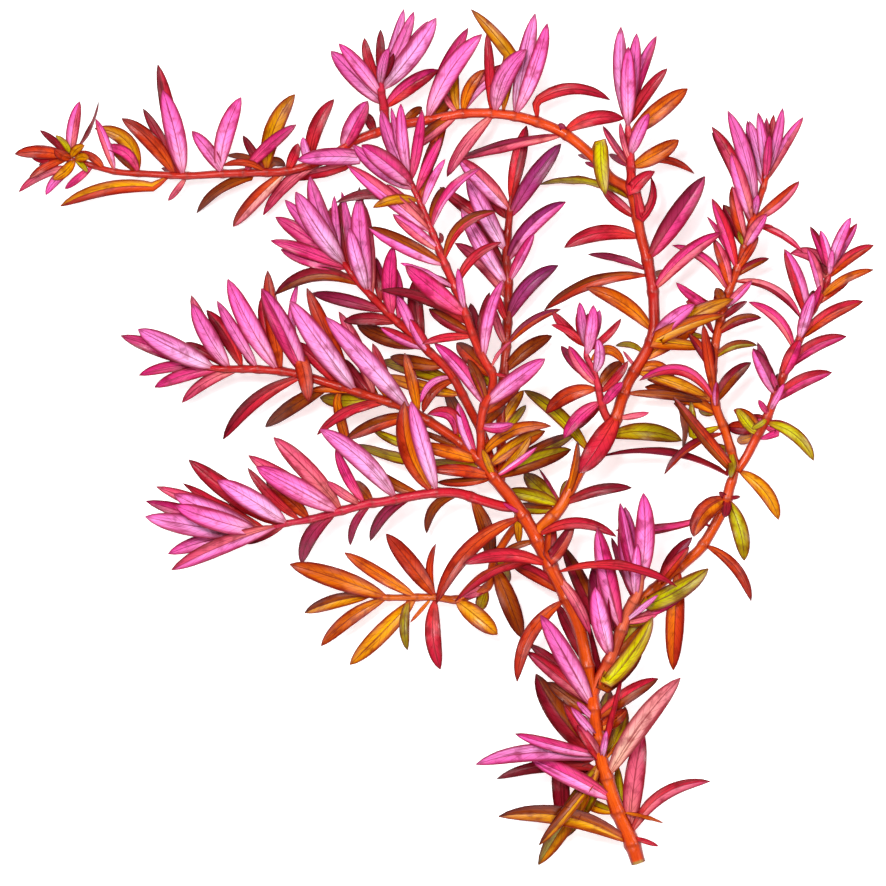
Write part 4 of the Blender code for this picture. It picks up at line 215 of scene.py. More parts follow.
        (1.0, 66.5, 12.8, 81.5, 3.2, -1.1, 3, "rose"),
        (45.2, 81.0, 30.6, 78.0, 3.6, 1.8, 3, "ruby"),
        (28.8, 79.7, 30.8, 78.0, 1.6, -0.5, 2, "plum"),
        (3.8, 71.0, 30.0, 76.2, 2.8, -1.0, -5, "rose|plum"),
        (24.0, 64.7, 46.2, 61.8, 2.0, -2.6, -6, "olive"),
        (40.6, 62.0, 39.5, 75.2, 3.8, -0.5, 6, "yellow"),
        (33.7, 72.1, 38.5, 70.5, 1.2, 0.0, -4, "plum"),
        (35.4, 70.2, 40.0, 68.2, 1.2, 0.0, -5, "plum"),
        (-61.7, 57.6, -47.0, 66.5, 2.5, -1.9, -6, "brown"),
        (-52.6, 54.2, -39.3, 67.0, 3.5, -0.6, -7, "blush|rust"),
        (-45.0, 57.0, -26.0, 69.8, 2.9, -2.0, -4, "rose"),
        (-36.2, 74.9, -39.0, 68.5, 2.6, -0.2, 2, "ruby"),
        (-35.0, 76.4, -33.6, 70.0, 2.2, 0.2, 5, "lilac"),
        (-27.2, 85.9, -33.2, 69.5, 3.5, 1.8, 2, "ruby"),
        (-36.4, 70.6, -21.0, 71.2, 4.2, -0.6, 8, "lilac|pink"),
        (-18.8, 85.4, -25.5, 74.3, 4.4, 0.2, 4, "pink|magenta"),
        (-19.2, 82.5, -17.0, 77.5, 2.4, 0.0, -2, "wine"),
        (-5.2, 84.0, -10.0, 80.0, 2.2, 0.3, -3, "brown"),
        (6.3, 103.7, -4.2, 82.5, 3.6, 0.8, 2, "magenta"),
        (9.7, 102.0, -4.0, 82.3, 4.6, 1.7, 8, "pink"),
        (2.6, 89.0, -2.8, 81.8, 4.4, 0.0, -5, "brown"),
        (-7.5, 73.5, 4.5, 81.8, 3.4, -0.6, -5, "rose|brown"),
        (-107.0, 72.2, -93.0, 71.2, 3.2, -1.0, 1, "rust"),
        (-102.8, 71.3, -94.0, 70.8, 2.2, 0.5, -2, "ruby"),
        (-100.7, 78.1, -94.3, 73.0, 1.8, -0.4, 3, "wine"),
        (-101.2, 69.6, -94.0, 69.8, 1.5, 0.0, -3, "plum"),
        (-106.0, 62.7, -94.5, 68.6, 2.2, -1.2, 0, "rose"),
        (-103.5, 66.0, -94.5, 69.2, 2.0, -0.8, 2, "rust"),
        (-99.3, 62.0, -94.0, 68.0, 2.4, -0.6, -2, "pink"),
        (-94.5, 63.5, -88.0, 67.6, 1.9, 0.0, -1, "magenta"),
        (-90.7, 85.3, -92.3, 72.5, 3.0, 0.6, 6, "pink|rose"),
        (-86.0, 85.4, -91.3, 73.5, 1.0, -1.0, 1, "wine"),
        (-96.8, 76.8, -92.8, 73.0, 1.6, -0.8, 6, "yellow"),
        (-89.5, 74.3, -92.5, 72.0, 2.2, 0.6, 6, "amber"),
        (-88.4, 70.9, -92.3, 70.7, 2.4, 0.5, 5, "amber"),
        (-97.5, 65.8, -92.5, 69.6, 2.6, 0.6, 5, "amber"),
        (-88.8, 67.6, -92.5, 69.2, 1.5, 0.3, 4, "yellow"),
        (-97.0, 73.4, -92.8, 71.6, 2.6, 0.4, 7, "rust"),
        (-91.0, 72.7, -84.5, 69.3, 2.0, -0.8, 3, "rust"),
        (-86.7, 80.9, -82.0, 68.5, 2.3, -0.3, 8, "rose|pink"),
        (-87.0, 78.6, -74.0, 68.5, 3.6, -3.5, 2, "amber"),
        (-84.8, 73.9, -74.0, 68.5, 2.7, -2.2, 5, "magenta"),
        (-84.0, 75.5, -75.5, 68.8, 1.8, 0.3, -1, "brown"),
        (-95.7, 59.2, -72.5, 64.0, 3.4, -1.9, -6, "rust|amber"),
        (-80.3, 81.1, -67.0, 68.3, 3.8, -1.4, 3, "rust"),
        (-75.0, 83.6, -66.0, 68.5, 2.6, -0.3, -2, "wine"),
        (-69.9, 88.0, -64.8, 67.2, 4.8, -0.5, 10, "pink"),
        (-68.8, 60.6, -63.5, 65.8, 1.6, 0.2, -5, "rose"),
        (-70.5, 68.8, -64.0, 67.5, 1.4, 0.0, -4, "wine"),
        (-62.7, 77.9, -55.3, 67.0, 3.4, -0.4, 6, "pink"),
        (-50.4, 86.3, -55.6, 67.5, 4.3, 1.2, 9, "pink"),
        (-54.2, 71.9, -46.5, 68.5, 1.8, -1.4, -3, "brown"),
        (-55.0, 69.2, -47.0, 68.0, 1.8, -1.6, 0, "rust"),
        (-50.0, 76.9, -46.0, 68.5, 2.2, 0.2, -2, "wine"),
        (-37.0, 87.1, -46.0, 68.5, 4.3, 2.0, 3, "amber"),
        (-36.6, 79.5, -47.3, 68.0, 3.1, 0.7, 6, "magenta"),
        (-39.4, 69.3, -46.5, 68.5, 2.4, 1.9, -5, "brown"),
        (34.0, -7.5, 41.8, 7.5, 5.4, 0.4, 7, "ruby"),
        (-71.2, 94.5, -66.0, 68.0, 3.6, -0.4, 7, "wine|ruby"),
        (-40.0, 66.2, -23.5, 69.6, 2.6, 0.3, -3, "ruby|rose"),
        (-5.8, 64.5, 1.5, 81.5, 3.2, 0.0, -6, "brown|rust"),
        (39.8, 63.8, 48.2, 56.0, 2.6, 0.3, -2, "ruby|rose"),
    ],
    "right_tuft": [
        (44.4, 103.9, 46.3, 80.5, 3.6, 0.9, 6, "lilac"),
        (45.0, 98.0, 46.4, 79.5, 2.8, 0.9, 2, "magenta"),
        (48.3, 102.2, 46.6, 81.0, 3.4, -0.2, 6, "pink"),
        (46.2, 98.8, 46.5, 78.5, 3.7, 0.1, 11, "pink"),
        (53.3, 101.6, 46.8, 81.0, 3.1, 0.8, 4, "pink|magenta"),
        (56.0, 93.5, 46.8, 79.5, 3.0, 0.8, 3, "ruby"),
        (61.1, 88.5, 46.7, 76.5, 4.3, 0.3, 2, "orange"),
        (51.4, 82.2, 47.0, 71.5, 3.1, 0.4, 9, "pink"),
        (58.9, 75.7, 47.2, 67.0, 4.0, -0.4, 2, "orange"),
        (62.8, 67.3, 47.3, 66.5, 1.9, 2.6, -2, "rust"),
        (52.9, 67.8, 47.2, 63.0, 3.3, 0.6, 0, "ruby"),
        (52.0, 66.5, 49.3, 55.5, 2.5, -1.9, 0, "ruby"),
        (49.6, 62.0, 49.0, 57.0, 1.6, 0.6, -4, "brown"),
        (44.2, 80.0, 46.6, 70.0, 1.5, 0.4, 4, "rose"),
        (40.0, 79.2, 47.0, 67.0, 1.8, 0.4, -3, "rose|plum"),
        (41.5, 72.3, 47.0, 65.8, 1.6, 0.0, -5, "plum"),
    ],
    "top_tuft": [
        (-28.0, 97.8, -15.0, 84.0, 4.5, 0.0, 6, "pink"),
        (-26.0, 99.6, -15.3, 86.0, 3.3, -0.4, 9, "pink"),
        (-19.6, 101.1, -15.8, 89.0, 2.5, 0.8, 2, "ruby"),
        (-15.6, 103.2, -15.6, 90.0, 2.3, 0.0, 0, "wine"),
        (-13.5, 98.5, -15.2, 89.5, 2.5, 0.6, 9, "pink"),
        (-12.3, 97.2, -14.8, 90.0, 1.7, -0.4, 4, "wine"),
        (-9.8, 108.3, -14.0, 90.5, 2.6, -0.5, 1, "lilac"),
        (-7.3, 107.6, -13.5, 90.5, 3.1, -0.6, 4, "pink"),
        (-3.8, 105.3, -14.0, 89.0, 2.8, -0.2, 3, "pink"),
        (-1.7, 106.0, -14.2, 88.0, 4.8, -0.7, 9, "lilac"),
        (-1.2, 93.2, -14.5, 84.0, 3.9, 0.9, 2, "magenta|ruby"),
    ],
    "inner_tuft": [
        (27.2, 32.8, 35.8, 23.5, 2.5, 0.2, 2, "ruby"),
        (27.0, 29.5, 35.6, 25.5, 1.8, -1.0, 2, "ruby"),
        (34.1, 35.1, 35.8, 24.0, 2.5, 0.0, 5, "pink"),
        (33.6, 32.8, 35.6, 24.0, 1.7, 0.4, 2, "ruby"),
        (36.1, 32.4, 35.8, 24.0, 1.5, 0.0, 1, "wine"),
        (37.5, 34.4, 36.3, 21.5, 3.1, -0.4, 7, "pink"),
        (39.1, 33.2, 36.2, 22.5, 2.7, -0.3, 4, "pink"),
        (38.5, 26.0, 38.0, 17.5, 2.7, -0.9, 8, "lilac"),
        (44.5, 31.1, 36.8, 22.5, 1.9, -0.8, 1, "ruby"),
        (45.4, 19.5, 37.3, 20.0, 2.4, 3.5, 0, "orange"),
        (29.5, 24.3, 37.9, 14.8, 2.7, 0.6, -3, "plum"),
        (31.4, 24.3, 38.3, 14.8, 2.9, 0.6, 3, "rose|magenta"),
        (25.8, 7.4, 38.8, 13.0, 3.7, -1.9, -3, "rust"),
        (44.8, 20.3, 39.0, 13.2, 3.3, 0.5, -3, "brown"),
        (46.2, 20.5, 39.4, 12.6, 2.1, -0.6, 2, "ruby"),
        (30.2, 1.2, 39.8, 10.6, 3.3, -1.1, 3, "magenta"),
        (33.2, 3.2, 40.2, 9.4, 2.1, -0.4, -4, "wine"),
        (45.0, 15.2, 41.2, 7.5, 2.5, 0.2, 5, "magenta"),
    ],
    "front": [
        (17.6, 4.8, 9.8, 4.6, 2.6, -0.8, 5, "pink|magenta"),
        (15.5, 9.8, 9.8, 3.8, 3.0, 0.5, -6, "brown"),
        (19.5, 14.5, 11.0, 7.0, 2.7, 0.0, -4, "rust"),
        (-9.4, 44.2, 5.0, 31.0, 4.6, 0.2, 6, "magenta"),
        (-15.6, 38.1, 6.2, 28.5, 2.7, -2.6, 3, "wine"),
        (-5.2, 24.7, 7.6, 26.0, 2.1, -0.8, 3, "ruby"),
        (-2.2, 24.9, 10.3, 9.6, 3.5, -1.2, 7, "pink|magenta"),
        (6.2, 20.9, 10.6, 10.5, 2.7, -0.5, 4, "brown"),
        (3.4, 25.0, 11.6, 16.5, 3.9, 0.0, -6, "rust|brown"),
        (6.8, 21.5, 12.0, 13.8, 2.9, 0.0, -8, "olive"),
        (15.0, 40.7, 10.6, 20.5, 2.9, 1.4, 6, "pink"),
        (6.9, 34.9, 9.0, 23.0, 2.8, 0.0, -4, "wine"),
        (11.6, 37.6, 10.2, 21.5, 2.7, 0.8, -2, "wine"),
        (25.5, 21.0, 11.2, 8.6, 4.3, 0.3, 8, "pink"),
        (17.3, 25.5, 12.3, 18.0, 1.0, 0.8, 4, "rose"),
        (17.2, 16.4, 12.3, 17.3, 1.0, 0.0, 2, "ruby"),
        (-15.4, 82.9, -8.8, 66.0, 3.4, 0.8, 6, "pink"),
        (-12.9, 83.5, -8.9, 66.5, 1.8, 0.5, 9, "pink"),
        (-10.5, 84.5, -8.7, 66.0, 2.9, 0.6, 12, "pink"),
        (-5.2, 83.0, -8.2, 65.5, 2.7, -0.3, 7, "magenta"),
        (-22.4, 74.3, -7.6, 63.0, 3.7, 0.9, 6, "pink"),
        (-20.3, 74.2, -7.8, 63.8, 4.8, -0.4, 10, "pink|magenta"),
        (-0.3, 76.2, -6.8, 62.5, 2.5, 0.3, 4, "magenta"),
        (-23.8, 69.2, -4.0, 52.0, 3.8, -0.3, 5, "pink|rose"),
        (-14.0, 64.5, -4.6, 55.0, 2.8, 0.4, 3, "rose"),
        (-17.4, 58.6, -6.0, 59.8, 2.5, -1.2, 6, "amber"),
        (-5.0, 63.9, -5.8, 59.0, 1.7, 0.0, -2, "orange"),
        (0.6, 70.8, -5.4, 58.0, 2.0, 0.7, 3, "pink"),
        (9.4, 68.5, -3.0, 52.5, 2.3, 2.2, 5, "magenta|pink"),
        (0.3, 64.0, -4.0, 53.5, 2.7, 0.3, -4, "brown"),
        (-26.7, 59.9, -5.6, 57.5, 2.7, -3.4, 1, "wine"),
        (-18.6, 53.8, -1.0, 43.5, 4.0, 0.0, 3, "pink|brown"),
        (13.4, 57.7, 0.2, 45.0, 2.7, 3.6, 4, "brown|ruby"),
        (-0.9, 52.5, -1.6, 49.5, 1.2, -0.8, 0, "wine"),
        (14.6, 50.0, 4.2, 36.3, 2.3, 2.3, 5, "ruby"),
        (3.7, 43.6, 4.5, 35.5, 1.9, 0.2, 6, "pink"),
        (-10.7, 44.9, 2.6, 38.3, 1.7, -0.6, 4, "pink"),
        (-4.5, 41.5, 3.0, 37.5, 2.1, -0.5, -3, "brown"),
        (-2.0, 75.5, -5.5, 60.0, 2.6, 0.0, -4, "rust|brown"),
        (-3.5, 33.5, 7.5, 27.0, 3.0, 0.4, -3, "wine|brown"),
        (-12.5, 57.0, -2.0, 47.0, 3.0, 0.0, 1, "rose|pink"),
    ],
    "back": [
        (20.2, 13.2, 14.6, 4.0, 2.6, 0.4, -3, "amber"),
        (20.8, 9.5, 14.5, 2.0, 2.1, 0.0, -5, "olive"),
        (13.2, 38.2, 16.1, 30.0, 1.9, 0.3, 3, "ruby"),
        (12.6, 34.3, 16.0, 25.5, 2.1, 0.4, 4, "rose"),
        (29.4, 33.4, 16.0, 24.0, 2.2, 1.6, 3, "plum|rust"),
        (27.3, 26.8, 15.6, 17.8, 3.5, 1.2, -1, "brown"),
        (20.9, 79.4, 16.9, 60.5, 3.6, 0.3, 2, "ruby|wine"),
        (29.5, 74.8, 16.7, 55.5, 4.2, 0.7, 3, "purple"),
        (30.7, 60.3, 16.4, 44.8, 3.9, 2.1, 3, "purple|pink"),
        (28.8, 44.4, 16.2, 28.0, 3.8, 2.2, 2, "purple"),
        (3.8, 71.2, 16.5, 57.5, 4.3, -0.3, 6, "lilac|rose"),
        (6.0, 66.6, 15.9, 48.0, 4.3, 0.3, 6, "lilac"),
        (11.0, 61.5, 16.3, 55.5, 2.3, 0.0, -3, "wine"),
        (-0.8, 64.0, 16.0, 51.5, 3.3, 0.3, 0, "ruby"),
        (4.6, 58.5, 16.2, 39.0, 3.9, 0.5, 5, "lilac"),
        (7.5, 57.3, 15.9, 43.0, 2.9, 0.3, -4, "wine"),
        (3.0, 50.0, 16.2, 35.5, 3.5, -1.8, -2, "rose"),
        (22.8, 52.5, 16.3, 40.0, 2.6, 0.2, 5, "magenta|pink"),
    ],
    "cross": [
        (-8.2, 30.9, -3.2, 22.6, 2.9, 0.2, 5, "pink|ruby"),
        (-5.6, 10.0, 2.6, 16.2, 1.7, -2.2, 3, "pink"),
        (-5.0, 7.5, 3.4, 15.8, 2.5, -2.0, 1, "rust"),
        (-15.5, 20.5, 3.6, 15.3, 3.7, -0.5, -7, "olive"),
        (-13.2, 21.6, 0.6, 18.6, 3.4, 0.4, -4, "brown"),
        (-14.6, 17.0, 4.6, 14.0, 3.3, 0.6, -9, "amber"),
        (-41.8, 56.4, -24.5, 44.0, 4.2, -0.3, 2, "magenta"),
        (-39.4, 60.6, -24.8, 45.0, 3.4, 0.2, 6, "pink"),
        (-36.7, 62.6, -24.5, 44.5, 5.0, 0.6, 10, "lilac"),
        (-33.2, 66.5, -24.5, 46.0, 4.2, 1.1, 5, "pink"),
        (-43.0, 50.5, -24.3, 43.7, 3.2, -0.6, 1, "magenta"),
        (-40.5, 48.3, -24.0, 43.3, 3.4, 0.5, -1, "magenta"),
        (-28.1, 58.7, -25.2, 46.5, 2.7, 0.5, 2, "ruby"),
        (-27.1, 61.7, -24.9, 46.0, 2.0, 0.3, 5, "pink"),
        (-25.3, 62.7, -22.3, 42.0, 2.1, -0.3, 6, "pink"),
        (-25.5, 60.3, -23.0, 43.0, 3.6, 0.5, 0, "wine"),
        (-20.9, 63.9, -19.5, 39.5, 2.8, 0.2, -2, "wine"),
        (-20.9, 61.6, -18.2, 37.5, 4.5, 0.9, 7, "pink"),
        (-23.3, 53.6, -18.8, 38.0, 3.4, 0.4, 10, "lilac"),
        (-19.7, 59.8, -17.2, 36.5, 3.2, 0.0, 2, "pink|rose"),
        (-16.7, 46.4, -13.5, 33.0, 1.9, -0.3, -3, "plum"),
        (-17.8, 46.2, -15.3, 34.5, 1.9, -0.2, -2, "wine"),
        (-12.4, 49.1, -12.8, 31.8, 3.7, 0.9, 8, "magenta"),
        (-11.9, 44.0, -11.0, 30.5, 2.3, -0.5, 3, "magenta"),
        (-42.0, 37.0, -20.0, 39.0, 3.5, -4.2, -2, "brown|wine"),
        (-32.8, 37.4, -14.0, 32.5, 3.2, -0.3, -4, "plum"),
        (-24.8, 30.4, -9.5, 28.5, 3.1, -0.8, -2, "wine"),
        (-21.5, 29.6, -4.9, 24.3, 4.0, 0.8, -4, "brown"),
        (-15.6, 28.9, -4.2, 23.6, 2.7, 0.2, 1, "pink|ruby"),
        (-11.8, 37.0, -8.7, 28.3, 2.7, -0.4, 4, "pink"),
        (-7.0, 41.0, -5.0, 24.5, 3.7, 0.8, -3, "wine"),
    ],
    "left": [
        (-35.4, -30.2, -26.6, -17.3, 3.6, -2.2, -6, "plum"),
        (-23.2, -25.6, -17.2, -15.6, 2.0, -1.6, -5, "plum"),
        (-18.2, -24.5, -6.0, -14.0, 2.8, -2.3, -6, "plum"),
        (-4.1, -22.6, 4.6, -13.0, 2.4, -3.0, -6, "brown"),
        (12.0, -29.8, 7.0, -14.0, 3.8, 1.2, -7, "brown"),
        (-9.6, 10.4, -2.2, -12.4, 4.3, 2.8, 4, "rust|orange"),
        (-8.0, 10.4, -1.5, -12.4, 4.1, 0.2, 9, "lilac"),
        (-42.3, 1.4, -24.8, -16.8, 4.5, -0.5, 4, "rose"),
        (-48.6, -3.1, -26.5, -17.0, 3.9, 0.2, 3, "rose"),
        (-46.6, -5.9, -26.0, -17.0, 5.3, 0.0, 9, "pink"),
        (-48.8, -6.2, -35.0, -19.3, 2.5, 0.9, 2, "ruby"),
        (-44.2, -9.6, -33.5, -19.0, 3.7, -0.3, -1, "rust"),
        (-63.5, -4.2, -41.0, -20.6, 4.5, 0.5, 3, "ruby"),
        (-56.3, -9.3, -38.9, -20.1, 4.9, -0.3, 10, "lilac"),
        (-71.6, -10.9, -47.0, -21.6, 3.5, -0.3, 4, "rose"),
        (-65.0, -10.1, -46.0, -21.4, 2.3, 0.6, 2, "ruby"),
        (-67.2, -12.7, -45.5, -21.6, 4.8, 0.3, 9, "lilac"),
        (-66.8, -15.6, -46.0, -22.0, 4.9, 0.5, 11, "pink"),
        (-74.2, -14.5, -47.5, -22.0, 3.7, 0.0, 5, "magenta"),
        (-74.3, -18.4, -47.5, -22.6, 5.0, 0.4, 8, "lilac"),
        (-68.7, -27.7, -46.0, -22.4, 3.7, -0.8, 4, "pink"),
        (-67.8, -31.7, -40.5, -20.8, 4.1, -0.8, 3, "pink|rose"),
        (-49.0, -25.3, -38.5, -20.4, 1.5, 0.3, -3, "wine"),
        (-30.8, 3.5, -14.3, -14.4, 4.8, -1.4, 9, "lilac"),
        (-26.8, -1.4, -19.6, -15.4, 2.7, 0.7, 3, "magenta"),
        (-29.0, -9.5, -20.0, -15.6, 2.3, 0.3, 4, "rose"),
        (-22.3, -9.5, -14.8, -14.7, 2.9, 0.0, -4, "brown"),
        (-16.8, -6.9, -5.0, -12.9, 2.7, 0.9, -3, "brown"),
    ],
    "low": [
        (-38.3, -30.3, -14.2, -38.6, 4.9, -0.4, 6, "orange"),
        (-24.6, -27.4, -6.5, -38.5, 3.3, 0.1, 5, "orange"),
        (-14.2, -22.7, -1.9, -38.6, 4.3, -0.2, 6, "rust"),
        (-1.8, -25.2, -1.8, -38.5, 1.8, 1.6, 3, "rust"),
        (-34.6, -42.5, -17.5, -38.5, 3.4, -1.0, 1, "amber|brown"),
        (-30.5, -50.8, -14.0, -38.8, 3.4, -1.4, -2, "orange"),
        (-23.3, -55.5, -6.2, -38.8, 4.2, 0.0, -3, "amber"),
        (-8.9, -51.8, -8.0, -38.8, 2.4, -1.0, 2, "olive"),
        (-8.2, -44.9, -3.0, -39.0, 1.0, 0.0, 1, "orange"),
        (-0.7, -56.6, -1.9, -38.8, 3.8, -1.3, 2, "ruby"),
        (13.6, -47.9, 2.6, -39.0, 4.5, 0.2, 3, "amber"),
        (19.8, -48.8, 13.2, -30.5, 4.4, 0.2, -2, "brown"),
        (16.3, -35.3, 12.8, -28.5, 2.7, 0.4, -3, "olive"),
        (9.0, -42.0, 11.6, -37.0, 3.0, 0.0, -3, "olive"),
        (5.0, -38.4, 12.0, -36.8, 2.6, 0.0, 1, "rose"),
    ],
    "fork": [
        (29.8, -25.6, 40.5, -53.0, 4.0, -0.6, -5, "wine|brown"),
        (34.5, -41.0, 38.8, -60.0, 3.6, 0.2, -5, "wine"),
        (38.6, -21.1, 42.0, -46.0, 4.6, 0.4, 8, "pink|magenta"),
        (38.2, -29.3, 40.6, -53.0, 4.9, 0.9, 4, "plum|magenta"),
        (38.0, -36.0, 40.5, -53.0, 4.4, 0.6, 8, "pink|lilac"),
        (41.6, -33.5, 43.9, -48.5, 2.6, 0.4, -3, "plum"),
        (42.6, -40.0, 44.0, -47.0, 1.4, 0.0, 2, "rose"),
        (44.2, -15.0, 46.2, -36.0, 3.0, 0.3, 4, "magenta|pink"),
        (45.5, -16.0, 47.6, -38.5, 4.9, 0.4, 7, "pink"),
        (48.6, -25.2, 48.2, -38.8, 2.6, 0.2, 9, "lilac|pink"),
        (42.1, -23.6, 45.3, -41.0, 2.0, 0.2, 0, "plum"),
        (45.6, -27.0, 46.5, -42.0, 2.4, 0.3, -2, "wine"),
        (52.4, -43.4, 40.6, -60.2, 4.2, -1.1, 6, "yellow"),
        (51.8, -43.6, 42.5, -55.5, 3.4, 0.6, -3, "olive|brown"),
        (52.0, -43.4, 47.0, -43.4, 2.4, -0.6, -4, "olive"),
        (49.8, -52.4, 39.8, -61.5, 3.6, -0.3, -2, "orange|brown"),
        (53.8, -37.9, 47.3, -42.7, 1.5, 0.0, 5, "lilac"),
        (60.0, -38.6, 47.0, -43.0, 2.0, -0.4, 2, "rose|magenta"),
        (53.6, -42.9, 47.0, -43.0, 1.6, -0.3, -1, "rose"),
        (50.0, -12.5, 49.8, -36.5, 4.7, -0.9, 9, "pink"),
    ],
    "side": [
        (66.3, -31.4, 50.5, -40.6, 4.6, -0.9, 5, "yellow"),
        (57.6, -56.8, 61.4, -32.0, 4.4, -0.3, -1, "rust|orange"),
        (62.3, -23.6, 53.5, -35.2, 3.0, 1.0, 3, "wine|plum"),
        (61.5, -26.0, 53.5, -35.6, 2.6, 0.2, 5, "ruby|rust"),
        (62.6, -23.4, 71.0, -13.6, 4.6, -2.0, 7, "orange|rust"),
        (69.0, -12.2, 71.8, -14.0, 1.3, 0.0, 2, "wine"),
        (70.3, -18.6, 72.6, -13.8, 2.4, 0.2, 1, "wine"),
        (74.4, -13.4, 72.0, -14.6, 1.0, 0.0, 2, "wine"),
        (75.3, -29.4, 72.3, -14.2, 3.9, 1.0, 1, "yellow"),
        (77.0, -39.5, 64.8, -25.9, 2.6, 2.4, 5, "rust"),
        (43.0, -21.8, 63.8, -19.8, 2.2, 1.4, -1, "wine|magenta"),
        (83.9, -19.2, 74.6, -5.8, 3.5, 1.9, 1, "amber"),
    ],
    "side_inner": [
        (39.0, -3.6, 71.6, -8.6, 1.6, -3.2, 2, "plum|wine"),
        (71.8, -8.8, 72.4, -5.6, 2.0, 0.0, 4, "olive"),
        (57.5, 11.5, 72.3, -7.0, 3.0, 0.4, 3, "brown|rust"),
        (66.2, -1.0, 71.8, -3.4, 2.4, 0.0, -3, "olive"),
        (55.3, -7.9, 71.3, 2.6, 2.0, -2.0, 5, "rust|wine"),
        (60.0, -1.5, 58.5, 10.5, 2.0, 1.0, -6, "brown"),
        (62.0, 10.6, 62.6, 1.6, 2.4, 0.0, 0, "olive|yellow"),
        (49.0, 15.6, 69.0, 9.6, 2.7, -5.6, 6, "ruby|magenta"),
        (64.0, 8.6, 69.6, 8.4, 2.0, 0.6, -4, "olive"),
        (50.5, 14.0, 69.5, 7.4, 3.6, -1.4, -3, "orange|brown"),
        (51.0, 15.8, 68.6, 10.2, 2.8, -1.4, 1, "orange"),
        (77.0, 20.1, 68.8, 9.8, 3.3, 1.3, 4, "wine|brown"),
        (68.4, 15.4, 68.9, 9.4, 1.7, 0.2, 8, "pink|ruby"),
        (61.4, 27.2, 66.2, 15.2, 2.4, -0.5, 2, "wine|rust"),
        (65.0, 29.6, 66.0, 14.6, 2.6, 0.0, 4, "rust"),
        (67.0, 24.8, 66.6, 16.0, 1.6, 0.0, 1, "wine"),
        (78.5, 24.4, 68.3, 20.5, 2.2, 1.8, 2, "brown|olive"),
        (79.6, 31.3, 70.0, 26.6, 2.5, 1.6, 2, "brown|wine"),
        (70.5, 32.0, 52.4, 25.4, 3.6, 1.0, 6, "orange|amber"),
        (67.8, 27.0, 64.0, 33.6, 1.5, 0.0, 4, "ruby"),
        (60.7, 35.3, 70.6, 31.6, 3.4, -0.6, 2, "rust|ruby"),
        (68.4, 38.0, 70.2, 31.0, 2.4, 0.0, 0, "wine|rust"),
        (76.0, 35.4, 71.4, 30.2, 1.8, 0.4, 3, "wine"),
        (61.5, 31.8, 58.6, 28.0, 1.6, 0.0, -3, "olive"),
        (71.1, 82.9, 77.8, 57.5, 3.9, -1.3, 7, "pink"),
        (67.2, 79.0, 76.6, 54.0, 3.6, -1.9, 4, "rose|ruby"),
        (67.3, 77.6, 76.4, 55.0, 3.6, -1.9, 1, "wine|brown"),
        (72.0, 72.5, 76.2, 55.5, 3.6, 0.0, 7, "pink|rose"),
        (72.2, 64.2, 75.0, 50.0, 3.0, 0.4, 4, "rust|rose"),
        (78.6, 82.5, 80.8, 65.5, 2.6, -0.4, 8, "lilac|pink"),
        (76.5, 80.4, 80.4, 64.5, 2.8, -0.4, 5, "lilac"),
        (76.0, 80.5, 80.0, 63.5, 2.6, 0.2, 3, "pink|ruby"),
        (80.8, 81.3, 81.0, 67.0, 2.0, 0.0, 4, "magenta|rose"),
        (82.6, 82.0, 81.2, 67.5, 2.2, 0.0, 2, "ruby"),
        (84.8, 83.6, 81.4, 67.0, 2.6, -0.4, 6, "pink"),
        (90.0, 81.4, 80.6, 64.8, 2.6, 0.5, 3, "pink|rose"),
        (83.0, 76.0, 81.2, 66.5, 1.5, 0.0, 0, "rust"),
        (81.5, 77.0, 80.6, 66.0, 2.2, 0.0, 6, "magenta"),
        (89.0, 65.4, 78.8, 54.6, 2.8, -0.6, 3, "rust|rose"),
        (80.8, 57.2, 75.0, 48.6, 3.0, 0.3, 7, "rose|pink"),
        (78.6, 62.0, 77.8, 56.5, 2.0, 0.0, 4, "pink"),
        (67.2, 61.0, 73.4, 45.4, 3.0, -0.6, 4, "magenta|ruby"),
        (70.0, 59.6, 74.2, 47.6, 3.2, -0.5, 0, "wine|brown"),
        (66.0, 56.6, 73.0, 46.0, 1.6, -0.8, 2, "magenta"),
        (67.6, 51.0, 71.0, 38.6, 2.8, -0.6, 3, "rust|rose"),
        (70.6, 48.6, 71.6, 40.0, 1.6, 0.0, -2, "brown"),
        (73.0, 54.0, 74.4, 47.0, 1.6, 0.0, -1, "orange"),
        (73.6, 53.0, 74.8, 48.0, 1.2, 0.0, 1, "olive"),
        (58.2, 40.1, 69.5, 33.0, 2.4, 0.8, 2, "magenta"),
        (68.2, 38.8, 70.8, 34.0, 2.6, 0.0, 0, "brown"),
        (81.5, 46.1, 74.0, 40.4, 2.0, 0.8, 0, "wine|brown"),
        (89.4, 31.0, 73.4, 39.6, 2.2, 3.1, 4, "rose|wine"),
        (77.2, 40.6, 72.0, 33.4, 2.2, 0.0, 5, "rose|pink"),
        (89.8, 47.6, 77.8, 54.4, 1.7, 1.2, 3, "rose|ruby"),
        (82.6, 54.0, 78.6, 53.0, 1.2, 0.3, 2, "ruby"),
        (78.8, 51.5, 74.0, 44.2, 2.0, 0.0, 3, "rust"),
        (57.3, 49.4, 71.2, 38.0, 2.4, -2.6, 3, "rose|magenta"),
    ],
    "side_outer": [
        (72.6, 8.3, 79.0, 2.8, 3.0, -0.8, 4, "rust|orange"),
        (71.0, 4.0, 77.5, 5.0, 3.4, 0.0, -2, "wine|rust"),
        (73.4, 8.7, 78.2, 2.0, 2.8, 0.3, 6, "yellow"),
        (77.0, 3.6, 80.0, 6.6, 1.6, 0.4, 7, "yellow"),
        (73.6, 0.4, 78.4, 2.2, 2.6, 0.0, -3, "amber"),
        (75.3, 5.8, 79.8, 7.2, 2.4, 0.0, 2, "magenta|wine"),
        (92.6, -4.4, 80.6, 4.6, 3.1, 2.2, 5, "yellow"),
        (89.4, 1.6, 80.8, 4.6, 2.6, 0.7, 1, "magenta"),
        (79.2, 0.9, 83.8, 2.6, 1.8, 0.0, 2, "magenta"),
